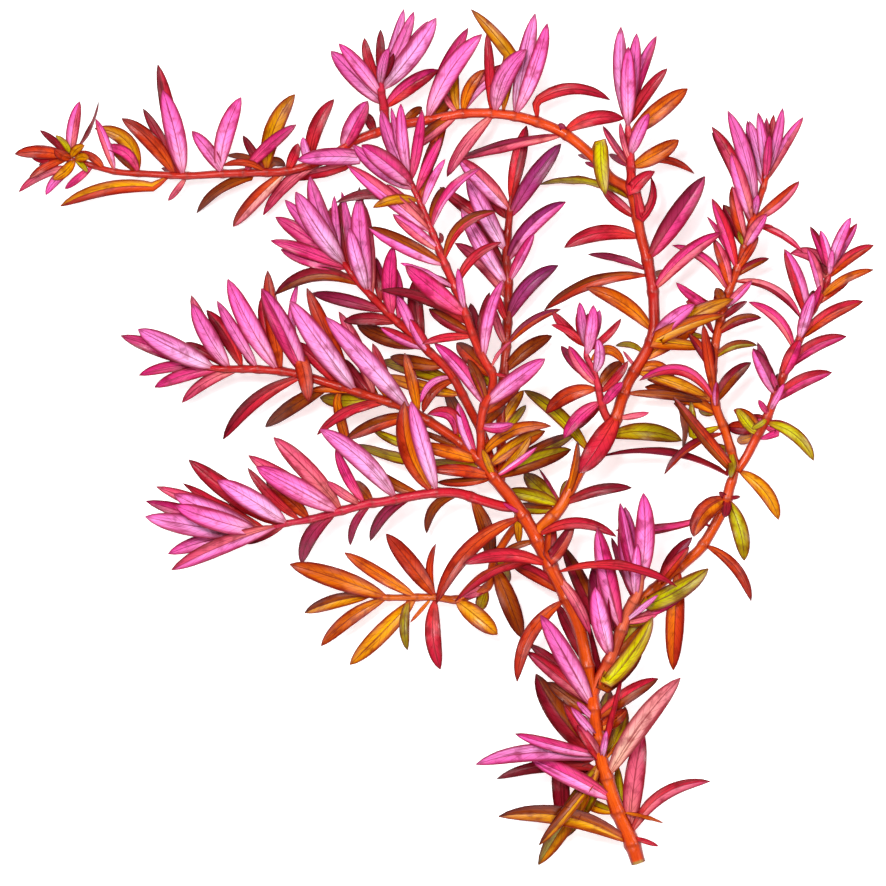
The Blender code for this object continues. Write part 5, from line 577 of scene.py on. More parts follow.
        (78.8, 10.8, 80.6, 7.0, 1.6, 0.0, 5, "magenta"),
        (77.4, 23.6, 82.4, 12.0, 3.7, -0.2, 8, "pink|plum"),
        (78.6, 25.2, 81.8, 12.6, 2.2, 0.0, 3, "plum"),
        (82.0, 17.6, 82.6, 13.0, 1.6, 0.0, 4, "magenta"),
        (76.4, 35.2, 87.6, 21.5, 2.6, -2.4, 5, "rose|magenta"),
        (97.2, 17.6, 84.6, 9.6, 3.4, 1.6, 5, "ruby|magenta"),
        (85.2, 14.8, 82.8, 7.4, 1.8, 0.0, 7, "pink"),
        (89.2, 25.8, 86.0, 16.4, 3.4, 0.2, 6, "ruby|magenta"),
        (84.2, 17.0, 85.6, 22.0, 2.0, 0.0, 2, "ruby"),
        (83.6, 17.4, 82.4, 12.4, 1.3, 0.0, 1, "wine"),
        (85.3, 48.4, 90.8, 30.8, 3.7, -0.6, 6, "ruby|pink"),
        (92.6, 37.4, 89.2, 25.6, 3.0, 0.2, 8, "pink|lilac"),
        (94.4, 39.5, 91.2, 31.5, 1.8, 0.0, 5, "magenta"),
        (105.0, 35.4, 90.0, 25.6, 3.3, 1.6, 4, "ruby|rust"),
        (100.8, 26.6, 86.8, 18.4, 3.3, 2.0, 5, "ruby|magenta"),
        (107.6, 43.3, 94.2, 35.2, 2.2, 1.4, 3, "orange"),
        (101.5, 40.4, 93.4, 33.8, 2.6, 0.8, -1, "rust"),
        (107.6, 49.4, 96.6, 41.0, 2.8, 1.2, 4, "ruby|rust"),
        (103.5, 54.9, 97.4, 43.0, 2.4, 0.3, 5, "ruby|pink"),
        (101.8, 56.3, 97.0, 42.6, 2.8, 0.6, 8, "lilac|pink"),
        (91.7, 54.1, 95.9, 42.0, 2.2, -0.5, 5, "magenta|wine"),
        (94.2, 53.1, 96.6, 42.6, 2.3, -0.3, 7, "magenta|lilac"),
        (97.2, 48.2, 96.4, 42.2, 1.6, 0.0, 9, "pink"),
        (94.0, 45.0, 96.2, 42.0, 1.4, 0.0, 3, "wine"),
        (86.8, 47.4, 95.0, 40.4, 3.4, -3.2, 4, "rose"),
        (91.0, 48.6, 94.2, 37.0, 2.4, -0.8, 6, "pink|rose"),
        (92.6, 38.2, 92.4, 33.4, 2.4, 0.0, 0, "wine|brown"),
        (91.0, 36.0, 90.6, 29.0, 1.5, 0.0, 7, "magenta"),
        (87.4, 25.0, 88.4, 24.0, 1.6, 0.0, 0, "brown"),
    ],
}

# Each stem: points along its middle line as (x, y, height, diameter), and the numbers of the points
# where it is cut in stretches
STEMS = {
    "trunk": {
        "points": [(48.9, -105.1, 4.0, 3.7), (47.0, -99.4, 4.8, 4.0), (43.1, -90.4, 6.5, 3.8),
                   (39.9, -80.2, 8.5, 3.6), (38.2, -70.5, 10.3, 3.6), (37.2, -63.0, 11.5, 3.6)],
        "cuts": [],
    },
    "main": {
        "points": [(37.2, -63.0, 11.5, 3.4), (36.2, -56.8, 12.0, 3.6), (34.1, -46.3, 12.5, 3.4),
                   (30.5, -38.0, 13.0, 3.6), (26.0, -29.1, 13.5, 3.6), (21.8, -21.0, 14.0, 3.4),
                   (17.5, -14.5, 14.3, 3.3), (14.4, -10.7, 14.6, 3.2), (9.0, -4.1, 15.0, 2.8),
                   (3.2, 0.9, 15.0, 2.7), (-5.1, 6.3, 15.0, 2.6), (-10.4, 9.2, 15.0, 2.5),
                   (-17.1, 11.3, 15.0, 2.5), (-27.5, 14.6, 15.0, 2.4), (-37.3, 17.4, 14.5, 2.3),
                   (-46.2, 18.4, 14.0, 2.1), (-56.1, 18.6, 14.5, 1.8), (-64.5, 20.0, 15.0, 1.5)],
        "cuts": [5, 7, 11, 14],
    },
    "arch": {
        "points": [(22.7, -22.8, 13.9, 3.1), (25.3, -20.4, 13.0, 3.2), (29.6, -15.7, 12.0, 3.2),
                   (34.3, -6.5, 11.5, 3.2), (38.5, -0.5, 12.0, 3.1), (42.4, 3.8, 12.5, 3.1),
                   (45.9, 14.4, 13.0, 3.0), (52.0, 25.4, 13.5, 3.0), (52.7, 34.7, 13.5, 2.9),
                   (51.5, 43.8, 13.5, 2.9), (49.4, 52.1, 13.5, 2.8), (47.0, 62.5, 14.0, 2.8),
                   (41.9, 66.3, 14.5, 2.7), (37.5, 71.5, 15.0, 2.7), (30.0, 77.5, 15.0, 2.7),
                   (21.0, 81.0, 15.0, 2.6), (13.0, 82.3, 15.0, 2.5), (5.0, 82.3, 15.0, 2.5),
                   (-3.0, 80.8, 14.5, 2.5), (-10.8, 79.5, 14.0, 2.5), (-14.5, 78.3, 14.0, 2.4),
                   (-22.0, 75.5, 14.0, 2.4), (-29.5, 70.8, 13.5, 2.3), (-39.0, 68.0, 13.0, 2.3),
                   (-47.0, 67.6, 13.0, 2.2), (-55.0, 67.3, 13.0, 2.1), (-64.0, 66.8, 13.0, 1.9),
                   (-73.0, 67.2, 13.0, 1.8), (-81.0, 67.7, 13.0, 1.6), (-86.5, 69.0, 13.5, 1.5),
                   (-93.0, 71.2, 14.0, 1.4)],
        "cuts": [5, 8, 11, 15, 20, 24, 27],
    },
    "right_tuft": {
        "points": [(47.0, 62.5, 14.0, 2.6), (47.0, 68.0, 15.5, 2.4), (46.5, 75.5, 17.0, 2.1),
                   (46.0, 81.0, 18.0, 1.6)],
        "cuts": [],
    },
    "top_tuft": {
        "points": [(-14.3, 78.5, 14.0, 2.4), (-14.7, 83.5, 16.0, 2.3), (-15.5, 88.0, 19.0, 2.1),
                   (-15.5, 92.0, 21.0, 1.8), (-15.0, 95.0, 22.0, 1.5)],
        "cuts": [],
    },
    "inner_tuft": {
        "points": [(42.4, 3.8, 12.5, 2.2), (40.0, 8.4, 14.0, 2.1), (38.7, 14.3, 16.0, 1.8),
                   (37.5, 18.3, 17.0, 1.6), (35.8, 21.6, 18.0, 1.5), (35.5, 24.0, 18.5, 1.5)],
        "cuts": [],
    },
    "front": {
        "points": [(9.3, -4.0, 15.2, 2.3), (9.5, 0.0, 17.5, 2.3), (9.5, 5.1, 20.0, 2.3),
                   (10.3, 9.3, 22.0, 2.3), (12.3, 13.6, 24.0, 2.3), (12.3, 17.3, 25.0, 2.3),
                   (10.3, 20.5, 25.5, 2.3),
                   (7.7, 26.4, 26.5, 2.3), (4.4, 35.5, 27.5, 2.2), (0.3, 45.0, 28.0, 2.1),
                   (-2.2, 51.3, 28.0, 1.9), (-5.5, 59.4, 27.5, 1.6), (-9.3, 67.9, 27.0, 1.4)],
        "cuts": [8],
    },
    "back": {
        "points": [(14.3, -9.9, 14.4, 2.5), (14.6, -5.0, 12.0, 2.5), (14.5, 2.0, 10.5, 2.5),
                   (14.5, 11.0, 10.0, 2.5), (15.4, 19.4, 9.5, 2.4), (16.0, 27.3, 9.0, 2.4),
                   (16.4, 38.9, 9.0, 2.3), (15.8, 46.8, 9.0, 2.2), (16.6, 56.7, 9.5, 1.9),
                   (17.0, 62.0, 10.0, 1.5)],
        "cuts": [5],
    },
    "cross": {
        "points": [(14.0, -10.2, 14.3, 2.3), (12.3, -5.5, 12.4, 2.3), (10.2, 1.5, 12.2, 2.3),
                   (8.0, 6.0, 13.2, 2.3), (4.9, 12.0, 15.5, 2.3), (2.6, 16.4, 17.2, 2.3),
                   (-0.2, 19.8, 18.5, 2.3),
                   (-4.9, 24.1, 19.5, 2.2), (-8.9, 28.1, 20.3, 2.2), (-12.6, 31.4, 21.0, 2.1),
                   (-17.6, 36.4, 21.5, 1.9), (-22.1, 41.3, 22.0, 1.8), (-28.0, 49.5, 22.5, 1.5)],
        "cuts": [8],
    },
    "left": {
        "points": [(18.3, -16.0, 14.2, 2.6), (15.2, -15.9, 15.0, 2.6), (9.8, -14.4, 16.0, 2.6),
                   (4.0, -12.6, 17.0, 2.5), (-1.5, -12.4, 17.5, 2.5), (-8.4, -13.4, 17.5, 2.5),
                   (-14.6, -14.6, 17.0, 2.4), (-19.4, -15.3, 16.5, 2.3), (-25.2, -16.9, 16.0, 2.2),
                   (-33.3, -19.1, 15.0, 1.9), (-38.9, -20.1, 14.5, 1.6), (-44.7, -21.8, 14.0, 1.5),
                   (-48.0, -22.5, 14.0, 1.4)],
        "cuts": [6],
    },
    "low": {
        "points": [(20.3, -19.0, 13.9, 2.1), (18.6, -20.4, 11.5, 2.1), (15.8, -24.0, 9.5, 2.1),
                   (12.5, -30.0, 8.5, 2.1), (11.5, -35.5, 8.0, 2.1), (7.0, -38.0, 8.0, 2.1),
                   (3.0, -39.2, 8.0, 2.1), (-1.8, -38.6, 8.0, 1.9), (-6.5, -38.6, 8.0, 1.9),
                   (-13.7, -38.7, 8.0, 1.6), (-19.0, -38.3, 8.5, 1.4)],
        "cuts": [],
    },
    "fork": {
        "points": [(37.2, -63.0, 11.5, 3.3), (38.5, -60.0, 11.6, 3.3), (42.0, -53.6, 12.0, 3.2),
                   (46.1, -42.5, 12.5, 3.1), (48.5, -37.9, 14.0, 2.7), (49.4, -32.4, 17.0, 2.1),
                   (49.5, -29.0, 18.5, 1.5)],
        "cuts": [3],
    },
    "side": {
        "points": [(46.1, -42.5, 12.5, 2.8), (49.0, -39.9, 12.0, 2.8), (52.6, -36.7, 11.5, 2.8),
                   (57.3, -32.4, 11.0, 2.8), (61.4, -29.1, 10.5, 2.8), (65.1, -25.4, 10.2, 2.7),
                   (70.2, -16.2, 10.0, 2.7), (71.9, -10.3, 10.0, 2.7), (73.6, -6.8, 10.0, 2.7)],
        "cuts": [4],
    },
    "side_inner": {
        "points": [(73.6, -6.8, 10.0, 2.4), (72.5, -3.6, 10.5, 2.4), (70.4, 3.4, 11.0, 2.4),
                   (68.3, 8.8, 11.5, 2.4), (67.4, 15.0, 12.0, 2.3), (67.5, 19.2, 12.0, 2.3),
                   (68.3, 26.0, 12.5, 2.3),
                   (71.0, 36.5, 13.0, 2.2), (74.4, 45.8, 13.5, 2.2), (77.2, 55.3, 14.0, 1.9),
                   (78.3, 58.9, 14.5, 1.9), (80.3, 64.8, 15.0, 1.6), (81.5, 70.8, 16.0, 1.5)],
        "cuts": [4, 8],
    },
    "side_outer": {
        "points": [(73.6, -6.8, 10.0, 2.4), (75.8, -3.6, 10.0, 2.4), (78.3, 1.3, 10.0, 2.4),
                   (81.0, 6.3, 10.5, 2.4),
                   (84.9, 16.5, 11.0, 2.3), (86.6, 20.4, 11.0, 2.3), (89.0, 25.6, 11.5, 2.2),
                   (91.1, 31.0, 11.5, 2.1), (93.5, 35.0, 12.0, 1.9), (95.9, 40.1, 12.0, 1.8),
                   (97.0, 43.5, 13.0, 1.5)],
        "cuts": [5],
    },
}

SAMPLE_STEP = 1.0       # spacing of the points sampled along a stem
JOINT_GAP = 0.35        # clear gap between neighbouring solids
FLOOR_CLEAR = 0.7       # lowest height of a leaf's middle line
WIDEST = 6.0            # widest leaf of this plant
LIFT_TRIALS = (0.0, 1.5, -1.5, 3.0, -3.0, 4.5, -4.5, 6.0, -6.0, 8.0, -8.0, 10.0, 12.0)
SHIFT_TRIALS = (0.0, 2.0, -2.0, 4.0, -4.0)
STATIONS = (0.0, 0.32, 0.68, 1.0)
SHORT_STATIONS = (0.0, 0.5, 1.0)
SHORT_LEAF = 20.0       # a leaf shorter than this has the short stations
SHAPE = ((0.0, 0.22), (0.08, 0.40), (0.2, 0.70), (0.35, 0.93), (0.5, 1.0), (0.65, 0.97),
         (0.8, 0.80), (0.92, 0.50), (1.0, 0.06))         # share of the length and share of the full width


def smooth_line(points: list[tuple], step: float) -> tuple[np.ndarray, list[int]]:
    """Sample a smooth curve through the points (Catmull-Rom).

    Args:
        points: Rows of x, y, height and diameter.
        step: The spacing of the samples.

    Returns:
        The sampled rows, and the number of the sample at each given point.
    """
    rows = [np.array(p, dtype=float) for p in points]
    rows = [2 * rows[0] - rows[1]] + rows + [2 * rows[-1] - rows[-2]]
    sampled = []
    marks = [0]
    for i in range(1, len(rows) - 2):
        a, b, c, d = rows[i - 1:i + 3]
        count = max(2, int(round(np.linalg.norm(c[:3] - b[:3]) / step)))
        for k in range(count):
            t = k / count
            square = (2 * a - 5 * b + 4 * c - d) * t * t
            sampled.append(0.5 * (2 * b + (c - a) * t + square + (3 * b - a - 3 * c + d) * t ** 3))
        marks.append(len(sampled))
    sampled.append(rows[-2])
    return np.array(sampled), marks


def leaf_width(t: float) -> float:
    """Give the share of a leaf's full width at the share t of its length."""
    return float(np.interp(t, [s[0] for s in SHAPE], [s[1] for s in SHAPE]))


def leaf_path(base: np.ndarray, row: tuple, lift: float, count,
              hangs: bool = False) -> tuple[np.ndarray, float]:
    """Work out a leaf's middle line, from the stem's middle line out to the tip.

    Args:
        base: The point of the stem where the leaf grows.
        row: The leaf's row of the table.
        lift: How far its tip rises above its base.
        count: The number of points, or the shares of its length where they lie.
        hangs: Whether the leaf leaves its stem behind others.

    Returns:
        The points and the leaf's length.
    """
    tip_x, tip_y, base_x, base_y, _, bow, _, _ = row
    ts = np.asarray(count) if np.ndim(count) else np.linspace(0.0, 1.0, count)
    start = np.array(base[:2])
    end = np.array([tip_x, tip_y])
    given = np.array([base_x, base_y])
    length = float(np.linalg.norm(end - given))
    share = 0.0
    if hangs:
        # the leaf leaves the stem behind others: it runs straight to the given point and bends from there
        reach = float(np.linalg.norm(given - start))
        share = reach / (length + reach)
        length += reach
        first = given
    else:
        first = start
    along = (end - first) / max(1e-6, np.linalg.norm(end - first))
    control = (first + end) / 2 + 2 * bow * np.array([-along[1], along[0]])
    out = []
    drop = lift * 1.8 if lift < -3 else lift
    if lift <= -5:
        # a leaf that hangs this low rests on the sheet, unless it is too short to reach it
        drop = -min(base[2] - FLOOR_CLEAR, 0.75 * length)
    for t in ts:
        if t < share:
            flat = start + (given - start) * t / share
        else:
            u = (t - share) / (1.0 - share)
            flat = (1 - u) ** 2 * first + 2 * u * (1 - u) * control + u * u * end
        rise = drop * (1.5 * t - 0.5 * t * t) if drop > 0 else drop * t ** 1.5
        height = base[2] + rise + 0.05 * length * math.sin(math.pi * t)
        out.append((flat[0], flat[1], max(FLOOR_CLEAR, height)))
    return np.array(out), length


def side_vectors(path: np.ndarray, roll: float) -> tuple[np.ndarray, np.ndarray]:
    """Work out the directions across a leaf and out of its face, rolled about its path.

    Args:
        path: The points of the leaf's middle line.
        roll: The angle of the roll.

    Returns:
        The unit vectors across and out, one of each for every point.
    """
    forward = np.gradient(path, axis=0)
    forward /= np.maximum(1e-9, np.linalg.norm(forward, axis=1))[:, None]
    flat = np.stack([-forward[:, 1], forward[:, 0], np.zeros(len(path))], axis=1)
    flat /= np.maximum(1e-9, np.linalg.norm(flat, axis=1))[:, None]
    up = np.cross(forward, flat)
    across = flat * math.cos(roll) + up * math.sin(roll)
    normal = np.cross(forward, across)
    return across, normal


class Stretch:
    """One stretch of stem, with the leaves that grow on it."""

    def __init__(self, name: str, stem: str, line: np.ndarray, first: int, last: int) -> None:
        """Keep what is given.

        Args:
            name: The stretch's name, which is its solid's name.
            stem: The name of the stem it belongs to.
            line: The stem's sampled line.
            first: The number of its first sample.
            last: The number of its last sample.
        """
        self.name = name
        self.stem = stem
        self.line = line
        self.first = first
        self.last = last
        self.leaves: list[Leaf] = []


class Leaf:
    """One leaf: its row of the table, where it leaves the stem, its lift and its roll."""

    def __init__(self, row: tuple, stretch: Stretch, where: int, number: int) -> None:
        """Work out the leaf's length, width and roll.

        Args:
            row: Its row of the table.
            stretch: The stretch of stem that it grows on.
            where: The number of the sample where it grows.
            number: Its number in the table.
        """
        self.row = row
        self.stretch = stretch
        self.where = where
        self.number = number
        self.lift = row[6]
        self.base = stretch.line[where]
        self.hangs = np.linalg.norm(np.array(row[2:4]) - self.base[:2]) > 2.0 + self.base[3] / 2
        _, length = leaf_path(self.base, row, self.lift, 3, self.hangs)
        self.length = length
        seen = row[4] * 1.08
        self.width = min(WIDEST, max(seen, min(0.14 * length, 3.4)))
        self.roll = math.acos(min(1.0, seen / self.width)) * (1 if number % 2 else -1)

    def mesh(self, lift: float, where: int, swell: float) -> tuple[np.ndarray, list[tuple]]:
        """Work out the leaf's plain solid.

        Args:
            lift: The lift to try.
            where: The number of the sample where it would grow.
            swell: How far the solid is swelled outwards.

        Returns:
            The solid's corner points and its faces.
        """
        stations = STATIONS if self.length >= SHORT_LEAF else SHORT_STATIONS
        path, _ = leaf_path(self.stretch.line[where], self.row, lift, np.array(stations), self.hangs)
        across, normal = side_vectors(path, self.roll)
        depth = max(0.6, 0.2 * self.width)
        corners = []
        for i, t in enumerate(stations[:-1]):
            half = self.width / 2 * leaf_width(t) + swell
            low = depth * max(0.45, leaf_width(t)) + swell
            corners += [path[i] + across[i] * half + normal[i] * swell,
                        path[i] - across[i] * half + normal[i] * swell, path[i] - normal[i] * low]
        tip = path[-1] + (path[-1] - path[-2]) / np.linalg.norm(path[-1] - path[-2]) * swell
        corners.append(tip)
        faces = [(0, 1, 2)]
        for i in range(len(stations) - 2):
            a, b = 3 * i, 3 * i + 3
            for j in range(3):
                k = (j + 1) % 3
                faces += [(a + j, b + j, b + k), (a + j, b + k, a + k)]
        last = 3 * (len(stations) - 2)
        for j in range(3):
            faces.append((last + j, len(corners) - 1, last + (j + 1) % 3))
        return np.array(corners), faces


def lay_out_stems() -> list[Stretch]:
    """Sample every stem and cut it in stretches.

    Returns:
        The stretches.
    """
    stretches = []
    lines = {}
    for name, stem in STEMS.items():
        lines[name] = smooth_line(stem["points"], SAMPLE_STEP)
    for name, (line, marks) in lines.items():
        edges = [0] + [marks[c] for c in STEMS[name]["cuts"]] + [len(line) - 1]
        for i in range(len(edges) - 1):
            label = name if len(edges) == 2 else f"{name}_{i + 1}"
            stretches.append(Stretch(label, name, line, edges[i], edges[i + 1]))
    return stretches


def tube(line: np.ndarray, first: int, last: int, swell: float, sides: int, step: int) -> tuple:
    """Work out a closed tube along part of a stem's line.

    Args:
        line: The stem's sampled line.
        first: The number of the first sample used.
        last: The number of the last one.
        swell: How far the tube is swelled outwards.
        sides: The number of its sides.
        step: How many samples lie between two of its rings.

    Returns:
        The tube's corner points and its faces.
    """
    picks = list(range(first, last, step))
    if last - picks[-1] < step * 0.6 and len(picks) > 1:
        picks.pop()
    picks.append(last)
    corners = []
    for i in picks:
        ahead = line[min(i + 1, len(line) - 1), :3] - line[max(i - 1, 0), :3]
        ahead /= np.linalg.norm(ahead)
        across = np.cross(ahead, (0.0, 0.0, 1.0))
        across /= np.linalg.norm(across)
        up = np.cross(across, ahead)
        radius = line[i, 3] / 2 + swell
        for k in range(sides):
            a = 2 * math.pi * (k + 0.5) / sides
            corners.append(line[i, :3] + radius * (across * math.cos(a) + up * math.sin(a)))
    faces = [tuple(range(sides))]
    for n in range(len(picks) - 1):
        for k in range(sides):
            j = (k + 1) % sides
            faces.append((n * sides + k, (n + 1) * sides + k, (n + 1) * sides + j, n * sides + j))
    faces.append(tuple(reversed(range((len(picks) - 1) * sides, len(picks) * sides))))
    return np.array(corners), faces


def trim_stems(stretches: list[Stretch]) -> None:
    """Pull the ends of the stretches back until they clear each other by the joint gap.

    Args:
        stretches: The stretches to change.
    """
    for one in stretches:
        for other in stretches:
            if other is one:
                continue
            rank_one = list(STEMS).index(one.stem)
            rank_other = list(STEMS).index(other.stem)
            if rank_one < rank_other:
                continue
            if one.stem == other.stem:
                if other.last == one.first:
                    one.first += 1
                continue
            while one.last - one.first > 4:
                point = one.line[one.first]
                near = np.linalg.norm(other.line[other.first:other.last + 1, :3] - point[:3], axis=1)
                reach = other.line[other.first:other.last + 1, 3] / 2 + point[3] / 2 + JOINT_GAP + 0.1
                if np.all(near > reach):
                    break
                one.first += 1


def lay_out_leaves(stretches: list[Stretch]) -> list[Leaf]:
    """Give each leaf its stretch of stem and the point on it where the leaf grows.

    Args:
        stretches: The stretches, which are given their leaves.

    Returns:
        All the leaves, in the table's order.
    """
    number = 0
    leaves = []
    for stem, rows in LEAVES.items():
        own = [s for s in stretches if s.stem == stem]
        for row in rows:
            number += 1
            base = np.array(row[2:4])
            best = None
            for s in own:
                low = min(s.first + 2, s.last - 1)
                high = max(s.last - 3, low + 1) if s is not own[-1] else s.last
                span = s.line[low:high + 1]
                gaps = np.linalg.norm(span[:, :2] - base, axis=1)
                at = int(np.argmin(gaps))
                if best is None or gaps[at] < best[0]:
                    best = (gaps[at], s, low + at)
            leaf = Leaf(row, best[1], best[2], number)
            best[1].leaves.append(leaf)
            leaves.append(leaf)
    return leaves


class Crowd:
    """The solids placed so far, with a search tree and a box for each."""

    def __init__(self) -> None:
        """Start an empty crowd."""
        self.trees = []
        self.lows = np.zeros((0, 3))
        self.highs = np.zeros((0, 3))
        self.owners = []

    def add(self, corners: np.ndarray, faces: list[tuple], owner: str) -> None:
        """Add a solid.

        Args:
            corners: Its corner points.
            faces: Its faces.
            owner: The name of the stretch that it belongs to.
        """
        self.trees.append(BVHTree.FromPolygons([Vector(c) for c in corners], faces))
        self.lows = np.vstack([self.lows, corners.min(axis=0)])
        self.highs = np.vstack([self.highs, corners.max(axis=0)])
        self.owners.append(owner)

    def near(self, corners: np.ndarray) -> np.ndarray:
        """Find the solids whose boxes meet the box of some points.

        Args:
            corners: The points.

        Returns:
            The numbers of those solids.
        """
        low = corners.min(axis=0)
        high = corners.max(axis=0)
        hit = np.all(self.lows < high, axis=1) & np.all(self.highs > low, axis=1)
        return np.nonzero(hit)[0]


def place_leaves(stretches: list[Stretch], leaves: list[Leaf]) -> None:
    """Lift or lower each leaf until it clears the other stretches, and the leaves beside it where it can.

    Args:
        stretches: The stretches of stem.
        leaves: The leaves to move.
    """
    stems = Crowd()
    for s in stretches:
        corners, faces = tube(s.line, s.first, s.last, 0.15, 6, 3)
        stems.add(corners, faces, s.name)
    crowd = Crowd()
    for leaf in sorted(leaves, key=lambda item: -item.length * item.width):
        choice = None
        for shift in SHIFT_TRIALS:
            where = int(round(leaf.where + shift / SAMPLE_STEP))
            if not leaf.stretch.first + 2 <= where <= leaf.stretch.last:
                continue
            for change in LIFT_TRIALS:
                lift = leaf.lift + change
                corners, faces = leaf.mesh(lift, where, JOINT_GAP)
                tree = BVHTree.FromPolygons([Vector(c) for c in corners], faces)
                foreign = 0
                for k in stems.near(corners):
                    if stems.owners[k] != leaf.stretch.name and tree.overlap(stems.trees[k]):
                        foreign += 1
                own = 0
                if not foreign:
                    for k in crowd.near(corners):
                        touches = tree.overlap(crowd.trees[k])
                        if touches and crowd.owners[k] != leaf.stretch.name:
                            foreign += 1
                            break
                        if touches and any(t[0] > 6 for t in touches):
                            own += 1
                if foreign:
                    continue
                cost = own * 6 + abs(change) + abs(shift) * 0.7
                if choice is None or cost < choice[0]:
                    choice = (cost, lift, where)
                if own == 0 and abs(change) < 0.1:
                    break
            if choice is not None and choice[0] < 4:
                break
        if choice is None:
            continue
        leaf.lift = choice[1]
        leaf.where = choice[2]
        leaf.base = leaf.stretch.line[leaf.where]
        corners, faces = leaf.mesh(leaf.lift, leaf.where, 0.0)
        crowd.add(corners, faces, leaf.stretch.name)


class Kind(Enum):
    """The two kinds of piece that stand for a solid."""

    BLADES = "leaves"
    STEM = "stem"


@dataclass(frozen=True)
class Tone:
    """Colours of one side of a leaf at its base, its middle and its tip, as 8-bit display values."""

    base: tuple[int, int, int]
    middle: tuple[int, int, int]
    tip: tuple[int, int, int]
    under: str


TONES: dict[str, Tone] = {
    "pink": Tone((250, 150, 190), (246, 106, 180), (224, 52, 142), "wine"),
    "lilac": Tone((252, 172, 212), (248, 132, 200), (236, 84, 168), "plum"),
    "blush": Tone((240, 160, 142), (236, 136, 142), (206, 66, 92), "rose"),
    "rose": Tone((234, 112, 106), (228, 84, 112), (200, 36, 84), "wine"),
    "magenta": Tone((236, 72, 110), (224, 44, 114), (190, 20, 92), "plum"),
    "ruby": Tone((222, 48, 34), (204, 28, 50), (168, 12, 42), "rose"),
    "wine": Tone((176, 32, 26), (146, 18, 36), (120, 8, 32), "rose"),
    "plum": Tone((180, 44, 60), (154, 28, 66), (124, 12, 50), "magenta"),
    "purple": Tone((172, 54, 96), (152, 36, 96), (116, 16, 70), "magenta"),
    "rust": Tone((212, 72, 14), (196, 48, 16), (154, 22, 14), "ruby"),
    "orange": Tone((226, 114, 6), (212, 86, 2), (180, 50, 2), "rust"),
    "amber": Tone((230, 132, 4), (218, 122, 0), (188, 90, 2), "orange"),
    "yellow": Tone((200, 152, 4), (194, 154, 0), (164, 110, 2), "amber"),
    "olive": Tone((184, 118, 6), (164, 120, 0), (126, 82, 2), "amber"),
    "brown": Tone((186, 68, 6), (148, 52, 2), (108, 26, 2), "rust"),
}

STEM_SHADES: dict[str, tuple[tuple[int, int, int], ...]] = {
    "trunk": ((212, 66, 10), (232, 92, 14), (222, 76, 10)),
    "main": ((222, 80, 6), (182, 8, 26)),
    "arch": ((226, 100, 6), (214, 66, 8), (186, 22, 20), (224, 80, 12), (222, 66, 24), (200, 36, 26),
             (190, 34, 18), (184, 34, 8)),
    "right_tuft": ((196, 36, 16), (222, 54, 80)),
    "top_tuft": ((190, 26, 26), (224, 54, 90)),
    "inner_tuft": ((196, 44, 20), (224, 56, 90)),
    "front": ((206, 54, 12), (206, 36, 54)),
    "back": ((190, 52, 6), (172, 26, 22)),
    "cross": ((204, 50, 10), (190, 22, 38)),
    "left": ((204, 26, 36), (196, 14, 62)),
    "low": ((200, 70, 6), (212, 100, 8)),
    "fork": ((228, 78, 22), (234, 120, 90)),
    "side": ((222, 94, 6), (212, 66, 6)),
    "side_inner": ((216, 82, 8), (216, 56, 30)),
    "side_outer": ((210, 66, 6), (214, 40, 58)),
}
CUT_FACE = (168, 132, 70)
RING_SHADE = (128, 34, 26)


def linear(colour: tuple[int, int, int]) -> np.ndarray:
    """Turn an 8-bit display colour into linear light.

    Args:
        colour: Red, green and blue from 0 to 255.

    Returns:
        The linear colour from 0 to 1.
    """
    c = np.array(colour, dtype=float) / 255.0
    return np.where(c <= 0.04045, c / 12.92, ((c + 0.055) / 1.055) ** 2.4)


def blend(stops: list[tuple[float, np.ndarray]], t: float) -> np.ndarray:
    """Read a colour from a run of stops.

    Args:
        stops: Positions and their colours, in order.
        t: The position asked for.

    Returns:
        The colour at that position.
    """
    places = [s[0] for s in stops]
    return np.array([np.interp(t, places, [s[1][k] for s in stops]) for k in range(3)])


def steady(number: int, salt: int) -> float:
    """Give a repeatable value from 0 to 1 for a leaf.

    Args:
        number: The leaf's number in the table.
        salt: A number that tells one use of the value from another.

    Returns:
        The value.
    """
    return math.modf(abs(math.sin(number * 12.9898 + salt * 78.233) * 43758.5453))[0]


class Lines:
    """Polylines with attributes at their points, the input of a Geometry Nodes tree."""

    def __init__(self, names: dict[str, str]) -> None:
        """Start an empty set.

        Args:
            names: Each attribute's name and its type, FLOAT or FLOAT_VECTOR.
        """
        self.names = names
        self.points: list[np.ndarray] = []
        self.edges: list[tuple[int, int]] = []
        self.values: dict[str, list] = {name: [] for name in names}

    def add(self, points: np.ndarray, **values) -> None:
        """Add one polyline.

        Args:
            points: Its points in metres.
            **values: One value per point for each attribute.
        """
        first = len(self.points)
        self.points += list(points)
        self.edges += [(first + i, first + i + 1) for i in range(len(points) - 1)]
        for name in self.names:
            self.values[name] += list(values[name])

    def to_mesh(self, name: str) -> bpy.types.Mesh:
        """Write the polylines as a mesh of edges.

        Args:
            name: The mesh's name.

        Returns:
            The mesh.
        """
        mesh = bpy.data.meshes.new(name)
        mesh.from_pydata([tuple(p) for p in self.points], self.edges, [])
        for key, kind in self.names.items():
            layer = mesh.attributes.new(key, kind, "POINT")
            field = "value" if kind == "FLOAT" else "vector"
            layer.data.foreach_set(field, np.array(self.values[key], dtype=np.float32).ravel())
        return mesh


